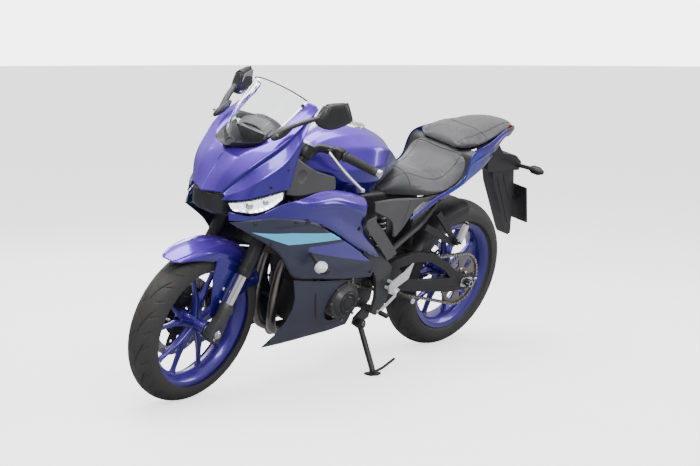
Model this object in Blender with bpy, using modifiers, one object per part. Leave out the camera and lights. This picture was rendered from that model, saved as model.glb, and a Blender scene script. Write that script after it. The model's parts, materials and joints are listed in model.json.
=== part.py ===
"""Sport motorcycle with full bodywork, parked on its side stand.

Units are metres. +X runs forward, +Y to the rider's left and +Z up. Every piece is
modelled on the upright machine, with the rear axle above x = 0 and the ground at z = 0,
and the whole is then leaned onto its stand by one parent empty. The steering is turned
a little to the left, as it comes to rest.
"""
import math

import bmesh
import bpy
from mathutils import Matrix, Vector
from mathutils.bvhtree import BVHTree

# Running gear: the sizes that lay out the machine.
WHEELBASE = 1.380
FRONT_RADIUS = 0.293
REAR_RADIUS = 0.314
FRONT_TYRE_WIDTH = 0.110
REAR_TYRE_WIDTH = 0.140
RAKE = math.radians(25.0)
TRAIL = 0.095
LEAN = math.radians(13.84)
STEER = math.radians(4.9)
CLEARANCE = 0.0003
RUNNING_GAP = 0.005
WELD = 0.00001
WHEEL_STEPS = 32

# Wheel rims, hubs and axles.
RIM_SEAT_RADIUS = 0.2185
FLANGE_RADIUS = 0.230
FLANGE_THICKNESS = 0.004
RIM_WELL_RADIUS = 0.198
RIM_WALL = 0.007
FRONT_RIM_HALF = 0.044
REAR_RIM_HALF = 0.057
FRONT_AXLE_RADIUS = 0.0085
REAR_AXLE_RADIUS = 0.0095
FRONT_HUB_RADIUS = 0.030
REAR_HUB_RADIUS = 0.040
SPOKE_PAIRS = 5

# Brakes.
FRONT_DISC_RADIUS = 0.149
REAR_DISC_RADIUS = 0.110
DISC_THICKNESS = 0.0045
FRONT_DISC_Y = -0.064
REAR_DISC_Y = -0.086

# Fork and bars, in the steering frame (u runs up the steering axis).
FORK_Y = 0.097
FORK_OUTER_RADIUS = 0.026
FORK_INNER_RADIUS = 0.0185
FORK_BREAK = 0.235
FORK_LENGTH = 0.735
STEM_RADIUS = 0.0125
HEAD_TUBE_RADIUS = 0.029
BAR_RADIUS = 0.011
GRIP_RADIUS = 0.0165
HEAD_LOW_U = 0.775
HEAD_HIGH_U = 0.947
LOWER_YOKE_THICKNESS = 0.034
UPPER_YOKE_THICKNESS = 0.024
YOKE_GAP = 0.006
LOWER_YOKE_U = HEAD_LOW_U - YOKE_GAP - LOWER_YOKE_THICKNESS / 2
UPPER_YOKE_U = HEAD_HIGH_U + YOKE_GAP + UPPER_YOKE_THICKNESS / 2
CLIP_DROP = 0.026  # from the fork's top down to the middle of the bar's clamp
GRIP_START = Vector((-0.0854, 0.1150, 0.0125))  # from the middle of the bar's clamp
GRIP_FINISH = Vector((-0.1224, 0.2410, -0.0095))

# Drive.
CHAIN_Y = 0.090
CHAIN_PITCH = 0.015875
REAR_TEETH = 43
FRONT_TEETH = 14
CHAIN_WIDTH = 0.015
CHAIN_HALF_HEIGHT = 0.0072
PIVOT = Vector((0.556, 0.0, 0.398))
FRONT_SPROCKET = Vector((0.640, 0.0, 0.402))
ARM_Y = 0.116
ARM_THICKNESS = 0.024
PIVOT_BOLT_RADIUS = 0.009

# Bodywork.
SKIN = 0.003

# Side stand: where its foot stands on the ground and where its pivot is.
FOOT_X = 0.631
FOOT_Y = 0.250
STAND_PIVOT = Vector((0.600, 0.108, 0.212))
STAND_BOLT_RADIUS = 0.007
STAND_AXIS = Vector((0, math.cos(math.radians(14)), math.sin(math.radians(14))))

# Fuel cap.
CAP = Vector((0.728, 0.0, 0.972))
CAP_RADIUS = 0.046
CAP_HINGE_RISE = 0.024

# Points worked out from the sizes above.
REAR_AXLE = Vector((0.0, 0.0, REAR_RADIUS))
FRONT_AXLE = Vector((WHEELBASE, 0.0, FRONT_RADIUS))
FORK_OFFSET = FRONT_RADIUS * math.sin(RAKE) - TRAIL * math.cos(RAKE)
AXLE_U = FRONT_RADIUS * math.cos(RAKE) + TRAIL * math.sin(RAKE)
CLIP_U = AXLE_U + FORK_LENGTH - CLIP_DROP
STEERING_FOOT = Vector((WHEELBASE + TRAIL, 0.0, 0.0))
STEERING_AXIS = Vector((-math.sin(RAKE), 0.0, math.cos(RAKE)))
STEERING_FRAME = Matrix.Translation(STEERING_FOOT) @ Matrix.Rotation(-RAKE, 4, "Y")
CLIP = STEERING_FRAME @ Vector((FORK_OFFSET, FORK_Y, CLIP_U))
GRIP_INNER = CLIP + GRIP_START
GRIP_END = CLIP + GRIP_FINISH

# Half-width of the bodywork by height, and how it narrows along the machine.
FLANK_HEIGHTS = [  # z, half-width
    (0.16, 0.070), (0.22, 0.112), (0.30, 0.148), (0.38, 0.171), (0.46, 0.190), (0.55, 0.205),
    (0.65, 0.216), (0.74, 0.222), (0.82, 0.216), (0.92, 0.202), (1.02, 0.186), (1.12, 0.152),
]
FLANK_LENGTHS = [  # x, share of the half-width
    (0.45, 0.66), (0.56, 0.75), (0.66, 0.84), (0.78, 0.93), (0.95, 1.00), (1.14, 1.00),
    (1.24, 0.94), (1.32, 0.79), (1.38, 0.60), (1.42, 0.38), (1.46, 0.10),
]

FINISHES = {  # name: (red, green, blue), metallic, roughness
    "violet_paint": ((0.055, 0.030, 0.420), 0.60, 0.28),
    "navy_plastic": ((0.020, 0.024, 0.040), 0.00, 0.55),
    "black_plastic": ((0.015, 0.015, 0.016), 0.00, 0.60),
    "grey_plastic": ((0.070, 0.070, 0.078), 0.10, 0.50),
    "black_metal": ((0.018, 0.018, 0.020), 0.80, 0.45),
    "silver_metal": ((0.620, 0.620, 0.630), 0.90, 0.30),
    "dark_steel": ((0.120, 0.115, 0.110), 0.90, 0.40),
    "tyre_rubber": ((0.018, 0.018, 0.018), 0.00, 0.85),
    "seat_vinyl": ((0.035, 0.035, 0.038), 0.00, 0.70),
    "clear_screen": ((0.850, 0.880, 0.900), 0.00, 0.05),
    "lamp_lens": ((0.850, 0.880, 0.950), 0.00, 0.08),
    "red_lens": ((0.500, 0.010, 0.010), 0.00, 0.15),
}

PARTS = bpy.data.collections.new("sport_motorcycle")


def clear_scene():
    for item in list(bpy.data.objects):
        bpy.data.objects.remove(item, do_unlink=True)
    bpy.context.scene.collection.children.link(PARTS)


def finish(name):
    """The material of that name, made the first time it is asked for."""
    found = bpy.data.materials.get(name)
    if found:
        return found
    colour, metallic, roughness = FINISHES[name]
    made = bpy.data.materials.new(name)
    made.use_nodes = True
    shader = made.node_tree.nodes["Principled BSDF"]
    shader.inputs["Base Color"].default_value = (*colour, 1.0)
    shader.inputs["Metallic"].default_value = metallic
    shader.inputs["Roughness"].default_value = roughness
    return made


def add_object(name, data):
    item = bpy.data.objects.new(name, data)
    PARTS.objects.link(item)
    return item


def mesh_object(name, points, faces):
    mesh = bpy.data.meshes.new(name)
    mesh.from_pydata([tuple(point) for point in points], [], faces)
    return add_object(name, mesh)


def bake(item):
    """Turn an object and its modifiers into one welded mesh whose faces are flat and point out."""
    bpy.context.view_layer.update()
    graph = bpy.context.evaluated_depsgraph_get()
    mesh = bpy.data.meshes.new_from_object(item.evaluated_get(graph))
    mesh.transform(item.matrix_world)
    work = bmesh.new()
    work.from_mesh(mesh)
    bmesh.ops.remove_doubles(work, verts=work.verts, dist=WELD)
    bmesh.ops.dissolve_degenerate(work, dist=WELD, edges=work.edges)
    bent = [face for face in work.faces if len(face.verts) > 3 and
            max(abs((vert.co - face.verts[0].co).dot(face.normal)) for vert in face.verts) > WELD]
    bmesh.ops.triangulate(work, faces=bent)
    bmesh.ops.recalc_face_normals(work, faces=work.faces)
    work.to_mesh(mesh)
    work.free()
    baked = add_object(item.name, mesh)
    bpy.data.objects.remove(item, do_unlink=True)
    return baked


def move(item, matrix):
    item.data.transform(matrix)
    if matrix.determinant() < 0.0:
        item.data.flip_normals()
    return item


def combine(name, first, others, operation):
    """One Boolean for each of the other solids, baked into one mesh."""
    for other in others:
        step = first.modifiers.new("join", "BOOLEAN")
        step.operation = operation
        step.solver = "EXACT"
        step.object = other
    made = bake(first)
    for other in others:
        bpy.data.objects.remove(other, do_unlink=True)
    made.name = name
    return made


def unite(name, pieces):
    return combine(name, pieces[0], pieces[1:], "UNION")


def cut(item, cutters):
    return combine(item.name, item, cutters, "DIFFERENCE")


def smooth_between(table, value):
    """Value of the second column at a place along the first, eased through the table's rows."""
    if value <= table[0][0]:
        return table[0][1]
    if value >= table[-1][0]:
        return table[-1][1]
    last = len(table) - 1
    index = max(i for i in range(last) if table[i][0] <= value)

    def slope(i):
        low, high = max(i - 1, 0), min(i + 1, last)
        return (table[high][1] - table[low][1]) / (table[high][0] - table[low][0])

    x0, y0 = table[index]
    x1, y1 = table[index + 1]
    span = x1 - x0
    t = (value - x0) / span
    return (y0 * (1 + 2 * t) * (1 - t) ** 2 + slope(index) * span * t * (1 - t) ** 2
            + y1 * t * t * (3 - 2 * t) + slope(index + 1) * span * t * t * (t - 1))


def flank(x, z):
    """Half-width of the bodywork's outer skin at a place along and up the machine."""
    return smooth_between(FLANK_HEIGHTS, z) * smooth_between(FLANK_LENGTHS, x)


def along(points, t):
    """Point at share t of a row of points, eased through them."""
    place = t * (len(points) - 1)
    return Vector([smooth_between([(i, point[axis]) for i, point in enumerate(points)], place)
                   for axis in range(len(points[0]))])


def box(size, centre, turn=None):
    """A box by its size and centre, turned about its own middle by a matrix if given."""
    made = bpy.data.meshes.new("box")
    work = bmesh.new()
    bmesh.ops.create_cube(work, size=1.0)
    work.to_mesh(made)
    work.free()
    item = add_object("box", made)
    made.transform(Matrix.Diagonal((*size, 1.0)))
    if turn is not None:
        made.transform(turn)
    made.transform(Matrix.Translation(centre))
    return item


def rod(start, end, radius, sides=16, end_radius=None):
    """A round bar, or a cone when its end radius differs, between two points."""
    start, end = Vector(start), Vector(end)
    made = bpy.data.meshes.new("rod")
    work = bmesh.new()
    bmesh.ops.create_cone(work, cap_ends=True, segments=sides, radius1=radius,
                          radius2=radius if end_radius is None else end_radius,
                          depth=(end - start).length)
    work.to_mesh(made)
    work.free()
    turn = (end - start).to_track_quat("Z", "Y").to_matrix().to_4x4()
    made.transform(Matrix.Translation((start + end) / 2) @ turn)
    return add_object("rod", made)


def tube(points, radius, sides_level=2, smooth=False, steps=3):
    """A bent round tube through its points, with closed ends."""
    data = bpy.data.curves.new("tube", "CURVE")
    data.dimensions = "3D"
    data.bevel_depth = radius
    data.bevel_resolution = sides_level
    data.use_fill_caps = True
    route = [Vector(point) for point in points]
    if smooth:
        count = steps * (len(route) - 1)
        route = [along(route, i / count) for i in range(count + 1)]
    spline = data.splines.new("POLY")
    spline.points.add(len(route) - 1)
    for target, point in zip(spline.points, route):
        target.co = (*point, 1.0)
    return bake(add_object("tube", data))


def plate(outline, thickness, holes=(), frame=None):
    """A flat plate in the XZ plane, centred on y = 0, from its outline and any holes."""
    data = bpy.data.curves.new("plate", "CURVE")
    data.dimensions = "2D"
    data.fill_mode = "BOTH"
    data.extrude = thickness / 2
    for loop in [outline, *holes]:
        spline = data.splines.new("POLY")
        spline.points.add(len(loop) - 1)
        spline.use_cyclic_u = True
        for target, (x, z) in zip(spline.points, loop):
            target.co = (x, z, 0.0, 1.0)
    item = add_object("plate", data)
    item.matrix_world = (frame or Matrix()) @ Matrix.Rotation(math.pi / 2, 4, "X")
    return bake(item)


def arc(centre, radius, start, end, count):
    """Points on an arc in the XZ plane, its angles in degrees from +X towards +Z."""
    angles = [math.radians(start + (end - start) * i / (count - 1)) for i in range(count)]
    return [(centre[0] + radius * math.cos(a), centre[1] + radius * math.sin(a)) for a in angles]


def turned(profile, steps, centre, phase=0.0):
    """A closed profile of (radius, y) turned about the line along Y through the centre."""
    mesh = bpy.data.meshes.new("turned")
    count = len(profile)
    mesh.from_pydata([(radius, 0.0, y) for radius, y in profile],
                     [(i, (i + 1) % count) for i in range(count)], [])
    item = add_object("turned", mesh)
    spin = item.modifiers.new("turn", "SCREW")
    spin.steps = steps
    spin.render_steps = steps
    spin.use_merge_vertices = True
    spin.merge_threshold = 0.00001
    made = bake(item)
    # The screw turns about Z: the profile's y ends up along the machine's Y.
    return move(made, Matrix.Translation(centre) @ Matrix.Rotation(phase, 4, "Y")
                @ Matrix.Rotation(-math.pi / 2, 4, "X"))


def ring(outer, inner, y_low, y_high, steps, centre, phase=0.0):
    profile = [(outer, y_high), (outer, y_low), (inner, y_low), (inner, y_high)]
    return turned(profile, steps, centre, phase)


def loft(sections, closed_ends=True):
    """A closed solid through sections, each the same number of points round its edge."""
    count = len(sections[0])
    points = [point for section in sections for point in section]
    faces = []
    for row in range(len(sections) - 1):
        for i in range(count):
            j = (i + 1) % count
            a, b = row * count, (row + 1) * count
            faces.append((a + i, a + j, b + j, b + i))
    if closed_ends:
        faces.append(tuple(range(count)))
        faces.append(tuple(reversed(range((len(sections) - 1) * count, len(sections) * count))))
    return bake(mesh_object("loft", points, faces))


def skin(rows, thickness, side=1, outward=None):
    """A shell of even thickness under a surface given by rows of points.

    The rows are for the left side, and side = -1 makes the mirrored right-hand one.
    The wall grows away from the outward direction, which is +Y unless another is given.
    """
    wide = len(rows[0])
    points = [(p[0], side * p[1], p[2]) for row in rows for p in row]
    faces = [(r * wide + i, r * wide + i + 1, (r + 1) * wide + i + 1, (r + 1) * wide + i)
             for r in range(len(rows) - 1) for i in range(wide - 1)]
    item = mesh_object("skin", points, faces)
    item.data.update()
    facing = Vector(outward or (0.0, 1.0, 0.0))
    facing.y *= side
    total = sum((face.normal * face.area for face in item.data.polygons), Vector())
    if total.dot(facing) < 0.0:
        item.data.flip_normals()
    wall = item.modifiers.new("wall", "SOLIDIFY")
    wall.thickness = thickness
    wall.offset = -1.0
    wall.use_even_offset = True
    return bake(item)


def flank_patch(table, rows, columns, inset=0.0, side=1, thickness=SKIN, relief=None):
    """A body panel on the flank from a table of columns, each (x, z) from its top edge down.

    inset moves the whole panel inwards, and relief(x, z, down, along) adds to its half-width.
    """
    grid = []
    for c in range(columns + 1):
        share = c / columns
        line = [along([column[k] for column in table], share) for k in range(len(table[0]))]
        points = []
        for r in range(rows + 1):
            down = r / rows
            x, z = along(line, down)
            y = flank(x, z) - inset
            if relief:
                y += relief(x, z, down, share)
            points.append((x, y, z))
        grid.append(points)
    return skin(grid, thickness, side)


def surface_tree(item):
    graph = bpy.context.evaluated_depsgraph_get()
    return BVHTree.FromObject(item, graph)


def piece(name):
    return bpy.data.objects[name]


def free_length(start, toward, target, radius):
    """How far a round bar can run from start before it is a clearance short of the target."""
    tree = surface_tree(piece(target))
    across = toward.orthogonal().normalized()
    reach = []
    for i in range(16):
        lean = Matrix.Rotation(math.pi * i / 8, 3, toward) @ across
        for share in (0.0, 0.5, 1.0):
            hit = tree.ray_cast(start + lean * radius * share, toward)
            if hit[3] is not None:
                reach.append(hit[3])
    return min(reach) - CLEARANCE


def stay(start, toward, target, radius, sides=6):
    """A round stay from start that stops a clearance short of the named piece's surface."""
    start, toward = Vector(start), Vector(toward).normalized()
    return rod(start, start + toward * free_length(start, toward, target, radius), radius, sides)


def cross_stay(middle, left_target, right_target, radius, sides=6):
    """One bar across the machine through its middle, ending short of a piece on each side."""
    middle = Vector(middle)
    ends = [middle + hand * free_length(middle, hand, target, radius)
            for hand, target in ((Vector((0, 1, 0)), left_target),
                                 (Vector((0, -1, 0)), right_target))]
    return rod(ends[1], ends[0], radius, sides)


def place(item, name, paint, body):
    """Name a finished solid, give it its material and hang it on its body's empty."""
    item.name = name
    item.data.name = name
    item.data.materials.clear()
    item.data.materials.append(finish(paint))
    for face in item.data.polygons:
        face.use_smooth = True
    item.data.set_sharp_from_angle(angle=math.radians(35))
    holder, origin = BODIES[body]
    item.parent = holder
    item.matrix_parent_inverse = Matrix.Translation(-origin)
    return item


def fork_point(u, y=0.0, forward=0.0):
    """Point in the fork's own frame: u up the steering axis, forward of it, and across."""
    return STEERING_FRAME @ Vector((forward, y, u))


def tyre(name, body, centre, radius, width, rim_half):
    """A hollow tyre whose beads sit on the rim between its flanges."""
    crown = radius * 0.178
    middle = radius - crown
    bead_out = rim_half - FLANGE_THICKNESS - CLEARANCE
    wall = 0.008
    bead_in = bead_out - wall
    seat = RIM_SEAT_RADIUS + CLEARANCE
    outside = [(middle + crown * math.cos(math.radians(a)), width / 2 * math.sin(math.radians(a)))
               for a in (-90, -66, -44, -22, 0, 22, 44, 66, 90)]
    inside = [(middle + (crown - wall) * math.cos(math.radians(a)),
               (width / 2 - wall) * math.sin(math.radians(a))) for a in (90, 0, -90)]
    profile = ([(seat, -bead_out), (FLANGE_RADIUS + 0.002, -bead_out)] + outside
               + [(FLANGE_RADIUS + 0.002, bead_out), (seat, bead_out), (seat, bead_in)]
               + inside + [(seat, -bead_in)])
    made = turned(profile, WHEEL_STEPS, centre, math.pi / WHEEL_STEPS)
    place(made, name, "tyre_rubber", body)


def rim(name, body, centre, rim_half, hub, axle_radius, hub_faces, spoke_root):
    """A cast wheel: rim band, hub bored for its axle and five pairs of spokes."""
    low = RIM_WELL_RADIUS
    half = rim_half
    lip = half - FLANGE_THICKNESS
    side = [(FLANGE_RADIUS, half), (FLANGE_RADIUS, lip), (RIM_SEAT_RADIUS, lip),
            (low, lip - 0.022)]
    inner = [(low - RIM_WALL, lip - 0.024), (RIM_SEAT_RADIUS - 0.012, half - 0.004)]
    profile = (side + [(r, -y) for r, y in reversed(side)]
               + [(r, -y) for r, y in reversed(inner)] + inner)
    pieces = [turned(profile, WHEEL_STEPS, centre, math.pi / WHEEL_STEPS)]
    pieces.append(rod(centre + Vector((0, hub_faces[0], 0)), centre + Vector((0, hub_faces[1], 0)),
                      hub, 20))
    sections = [  # radius, half-height along the rim, half-thickness across the wheel
        (hub * 0.90, 0.0085, spoke_root), (low - RIM_WALL + 0.0035, 0.0075, 0.0115)]
    for pair in range(SPOKE_PAIRS):
        for hand in (-1, 1):
            base = 2 * math.pi * pair / SPOKE_PAIRS + math.pi / 2
            spoke = []
            for (r, tall, deep), spread in zip(sections, (11.0, 15.2)):
                angle = base + hand * math.radians(spread)
                out = Vector((math.cos(angle), 0, math.sin(angle)))
                up = Vector((-math.sin(angle), 0, math.cos(angle)))
                axis = Vector((0, 1, 0))
                spoke.append([centre + out * r + up * tall * a + axis * deep * b
                              for a, b in ((-1, -0.7), (0, -1), (1, -0.7), (1, 0.7), (0, 1), (-1, 0.7))])
            pieces.append(loft(spoke))
    made = unite(name, pieces)
    bore = rod(centre + Vector((0, -0.2, 0)), centre + Vector((0, 0.2, 0)),
               axle_radius + CLEARANCE, 20)
    place(cut(made, [bore]), name, "violet_paint", body)


def disc(name, body, centre, radius, y, carrier_radius, hub_radius):
    """A brake disc: the braking band and the five-armed carrier bolted to the hub."""
    middle = centre + Vector((0, y, 0))
    half = DISC_THICKNESS / 2
    pieces = [ring(radius, radius * 0.80, -half, half, 32, middle),
              ring(carrier_radius, hub_radius, -half, half, 16, middle)]
    for i in range(5):
        angle = 2 * math.pi * i / 5
        out = Vector((math.cos(angle), 0, math.sin(angle)))
        reach = (carrier_radius * 0.9 + radius * 0.82) / 2
        length = radius * 0.82 - carrier_radius * 0.9
        turn = Matrix.Rotation(-angle, 4, "Y")
        pieces.append(box((length, DISC_THICKNESS * 0.9, 0.014), middle + out * reach, turn))
    place(unite(name, pieces), name, "dark_steel", body)


def fork_yokes():
    pieces = []
    for side in (-1, 1):
        pieces.append(rod(fork_point(AXLE_U + FORK_BREAK, side * FORK_Y, FORK_OFFSET),
                          fork_point(AXLE_U + FORK_LENGTH, side * FORK_Y, FORK_OFFSET),
                          FORK_OUTER_RADIUS, 18))
    for u, thickness in ((LOWER_YOKE_U, LOWER_YOKE_THICKNESS),
                         (UPPER_YOKE_U, UPPER_YOKE_THICKNESS)):
        half = FORK_Y + FORK_OUTER_RADIUS
        front = FORK_OFFSET + FORK_OUTER_RADIUS + 0.006
        outline = [(-0.030, 0.030), (-0.030, -0.030), (FORK_OFFSET - 0.034, -half + 0.01),
                   (FORK_OFFSET - 0.012, -half - 0.006), (FORK_OFFSET + 0.020, -half - 0.004),
                   (front, -half + 0.020), (front - 0.020, 0.0), (front, half - 0.020),
                   (FORK_OFFSET + 0.020, half + 0.004), (FORK_OFFSET - 0.012, half + 0.006),
                   (FORK_OFFSET - 0.034, half - 0.01)]
        low, high = u - thickness / 2, u + thickness / 2
        pieces.append(loft([[STEERING_FRAME @ Vector((x, y, level)) for x, y in outline]
                            for level in (low, high)]))
    pieces.append(rod(fork_point(LOWER_YOKE_U), fork_point(UPPER_YOKE_U + 0.030), STEM_RADIUS, 16))
    for side in (-1, 1):
        pieces.append(stay(fork_point(AXLE_U + FORK_BREAK + 0.032, side * FORK_Y, FORK_OFFSET),
                           (0, -side, 0), "front_fender", 0.010))
    place(unite("fork_yokes", pieces), "fork_yokes", "black_metal", "steering")


def fork_lowers():
    """Inner tubes, axle clamps, axle and the right-hand caliper with its bracket."""
    pieces = []
    clamp_top = AXLE_U + 0.112
    for side in (-1, 1):
        y = side * FORK_Y
        pieces.append(rod(fork_point(clamp_top - 0.02, y, FORK_OFFSET),
                          fork_point(AXLE_U + FORK_BREAK - CLEARANCE, y, FORK_OFFSET),
                          FORK_INNER_RADIUS, 18))
        pieces.append(rod(fork_point(AXLE_U + 0.030, y, FORK_OFFSET),
                          fork_point(clamp_top, y, FORK_OFFSET), 0.0245, 18))
        foot = [(-0.022, -0.030), (0.022, -0.030), (0.026, 0.0), (0.022, 0.050), (-0.022, 0.050),
                (-0.026, 0.0)]
        pieces.append(loft([[fork_point(AXLE_U + b, y + w, FORK_OFFSET + a) for a, b in foot]
                            for w in (-0.017, 0.017)]))
    pieces.append(rod(FRONT_AXLE + Vector((0, -0.124, 0)), FRONT_AXLE + Vector((0, 0.124, 0)),
                      FRONT_AXLE_RADIUS, 20))
    for side in (-1, 1):
        pieces.append(rod(FRONT_AXLE + Vector((0, side * 0.112, 0)),
                          FRONT_AXLE + Vector((0, side * 0.123, 0)), 0.0135, 6))
    turn = STEERING_FRAME.to_3x3().to_4x4()
    grip_radius = FRONT_DISC_RADIUS * 0.90
    centre = fork_point(AXLE_U + grip_radius * 0.72, FRONT_DISC_Y,
                        FORK_OFFSET - grip_radius * 0.69)
    caliper = box((0.062, 0.052, 0.105), centre + Vector((0, -0.002, 0)), turn)
    slot_cutter = rod(FRONT_AXLE + Vector((0, FRONT_DISC_Y - DISC_THICKNESS / 2 - RUNNING_GAP, 0)),
                      FRONT_AXLE + Vector((0, FRONT_DISC_Y + DISC_THICKNESS / 2 + RUNNING_GAP, 0)),
                      FRONT_DISC_RADIUS + RUNNING_GAP * 1.2, 40)
    caliper = cut(caliper, [slot_cutter])
    bracket = [fork_point(AXLE_U + 0.035, -FORK_Y + 0.008, FORK_OFFSET),
               fork_point(AXLE_U + grip_radius * 0.72, -FORK_Y + 0.010,
                          FORK_OFFSET - grip_radius * 0.62)]
    pieces += [caliper, tube(bracket, 0.009, 1)]
    place(unite("fork_lowers", pieces), "fork_lowers", "silver_metal", "steering")


FENDER = [  # degrees ahead of the axle's vertical, crown radius, edge radius, half-width
    (-60, 0.306, 0.262, 0.062), (-54, 0.309, 0.232, 0.066), (-44, 0.313, 0.226, 0.067),
    (-26, 0.317, 0.246, 0.067), (-6, 0.322, 0.262, 0.067), (8, 0.325, 0.266, 0.067),
    (18, 0.328, 0.286, 0.064), (26, 0.331, 0.306, 0.058), (33, 0.334, 0.322, 0.044),
    (36, 0.335, 0.331, 0.026)]
FENDER_LOBE = [  # along the steering axis and forward of it: the plate beside the left fork leg
    (0.560, 0.170), (0.484, 0.145), (0.410, 0.092), (0.352, 0.062), (0.346, 0.010),
    (0.360, -0.004), (0.430, -0.010), (0.493, -0.068), (0.560, -0.080)]


def front_fender():
    """Front mudguard with the lobe that covers the inside of the left fork leg."""
    rows = []
    for i in range(17):
        angle, crown, edge, half = along(FENDER, i / 16)
        angle = math.radians(angle)
        row = []
        for share in (0.0, 0.30, 0.58, 0.82, 1.0):
            turn = share * math.pi / 2
            radius = edge + (crown - edge) * math.cos(turn) ** 0.8
            row.append((WHEELBASE + radius * math.sin(angle), half * math.sin(turn) ** 0.8,
                        FRONT_RADIUS + radius * math.cos(angle)))
        rows.append([(x, -y, z) for x, y, z in reversed(row[1:])] + row)
    made = skin(rows, 0.003, 1, (0.0, 0.0, 1.0))
    lobe = [Vector((STEERING_FRAME @ Vector((forward, 0, u))).xz) for u, forward in FENDER_LOBE]
    side_plate = plate([tuple(point) for point in lobe], 0.004, (),
                       Matrix.Translation((0, 0.0655, 0)))
    place(unite("front_fender", [made, side_plate]), "front_fender", "violet_paint", "steering")


def handlebar(side, tag):
    """Clip-on bar: the split clamp on the fork tube, the bar, its perch and switch box."""
    inner = GRIP_INNER if side > 0 else Vector((GRIP_INNER.x, -GRIP_INNER.y, GRIP_INNER.z))
    end = GRIP_END if side > 0 else Vector((GRIP_END.x, -GRIP_END.y, GRIP_END.z))
    run = (end - inner).normalized()
    root = inner - run * 0.075
    clamp = rod(fork_point(CLIP_U - 0.018, side * FORK_Y, FORK_OFFSET),
                fork_point(CLIP_U + 0.018, side * FORK_Y, FORK_OFFSET), FORK_OUTER_RADIUS + 0.008, 18)
    bar = rod(root, end + run * 0.004, BAR_RADIUS, 12)
    neck_start = fork_point(CLIP_U, side * (FORK_Y + 0.006), FORK_OFFSET - 0.030)
    neck = tube([neck_start, root + run * 0.020], 0.013, 2)
    perch = box((0.034, 0.030, 0.030), inner - run * 0.044, None)
    switch = box((0.040, 0.030, 0.046), inner - run * 0.026 + Vector((0.004, 0, -0.002)), None)
    arm = tube([inner - run * 0.044, inner - run * 0.040 + Vector((0.048, 0, 0.004))], 0.009, 1)
    stub = rod(end, end + run * 0.012, 0.015, 12)
    lever = tube([inner - run * 0.040 + Vector((0.040, 0, 0.004)),
                  inner + run * 0.020 + Vector((0.058, 0, -0.016)),
                  inner + run * 0.080 + Vector((0.062, 0, -0.040)),
                  inner + run * 0.125 + Vector((0.060, 0, -0.058))], 0.0065, 1, True, 2)
    made = unite("handlebar_" + tag, [clamp, bar, neck, perch, switch, arm, stub, lever])
    bore = rod(fork_point(CLIP_U - 0.05, side * FORK_Y, FORK_OFFSET),
               fork_point(CLIP_U + 0.05, side * FORK_Y, FORK_OFFSET),
               FORK_OUTER_RADIUS + CLEARANCE, 18)
    made = cut(made, [bore])
    place(made, "handlebar_" + tag, "black_metal", "steering")
    sleeve = rod(inner, end - run * CLEARANCE, GRIP_RADIUS, 12)
    hole = rod(inner - run * 0.01, end + run * 0.01, BAR_RADIUS + CLEARANCE * 1.5, 12)
    place(cut(sleeve, [hole]), "grip_" + tag, "black_plastic", "steering")


def frame():
    """Steel frame: head tube, twin spars, pivot plates, seat rails and their cross tubes."""
    pieces = [rod(fork_point(HEAD_LOW_U), fork_point(HEAD_HIGH_U), HEAD_TUBE_RADIUS, 16)]
    spar = [  # x, half-width to the spar's middle, z, half-thickness, half-height
        (1.085, 0.020, 0.800, 0.014, 0.040), (0.960, 0.095, 0.745, 0.012, 0.032),
        (0.790, 0.130, 0.640, 0.011, 0.026), (0.640, 0.132, 0.515, 0.0095, 0.028),
        (0.560, 0.139, 0.430, 0.0075, 0.045), (0.545, 0.139, 0.330, 0.0075, 0.035),
        (0.548, 0.130, 0.262, 0.0075, 0.030)]
    for side in (-1, 1):
        sections = []
        for i, (x, y, z, thick, tall) in enumerate(spar):
            before, after = spar[max(i - 1, 0)], spar[min(i + 1, len(spar) - 1)]
            run = Vector((after[0] - before[0], 0, after[2] - before[2])).normalized()
            across = Vector((-run.z, 0, run.x))
            centre = Vector((x, side * y, z))
            lateral = Vector((0, side * thick, 0))
            sections.append([centre + across * tall * a + lateral * b
                             for a, b in ((1, -1), (1, 1), (-1, 1), (-1, -1))])
        pieces.append(loft(sections))
        upper_rail = [(0.730, side * 0.124, 0.605), (0.580, side * 0.118, 0.690),
                      (0.340, side * 0.112, 0.700), (0.255, side * 0.111, 0.712),
                      (0.205, side * 0.109, 0.742), (0.165, side * 0.106, 0.782),
                      (0.080, side * 0.095, 0.852), (-0.120, side * 0.060, 0.885)]
        lower_rail = [(0.580, side * 0.130, 0.478), (0.350, side * 0.116, 0.596),
                      (0.165, side * 0.106, 0.782)]
        pieces.append(tube(upper_rail, 0.012, 1))
        pieces.append(tube(lower_rail, 0.011, 1))
    for x, z, half, radius in CROSS_TUBES:
        pieces.append(rod((x, -half, z), (x, half, z), radius, 10))
    pieces.append(rod((PIVOT.x, -0.150, PIVOT.z), (PIVOT.x, 0.150, PIVOT.z), PIVOT_BOLT_RADIUS, 12))
    bracket = [(0.535, 0.225), (0.600, 0.192), (0.620, 0.205), (0.616, 0.230), (0.560, 0.275),
               (0.535, 0.275)]
    pieces.append(plate(bracket, 0.012, (), Matrix.Translation((0, STAND_PIVOT.y - 0.020, 0))))
    pieces += frame_stays()
    pieces.append(rod(STAND_PIVOT - STAND_AXIS * 0.020, STAND_PIVOT + STAND_AXIS * 0.022,
                      STAND_BOLT_RADIUS, 14))
    made = unite("frame", pieces)
    bore = rod(fork_point(HEAD_LOW_U - 0.05), fork_point(HEAD_HIGH_U + 0.05),
               STEM_RADIUS + CLEARANCE * 2, 16)
    place(cut(made, [bore]), "frame", "grey_plastic", "chassis")


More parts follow.
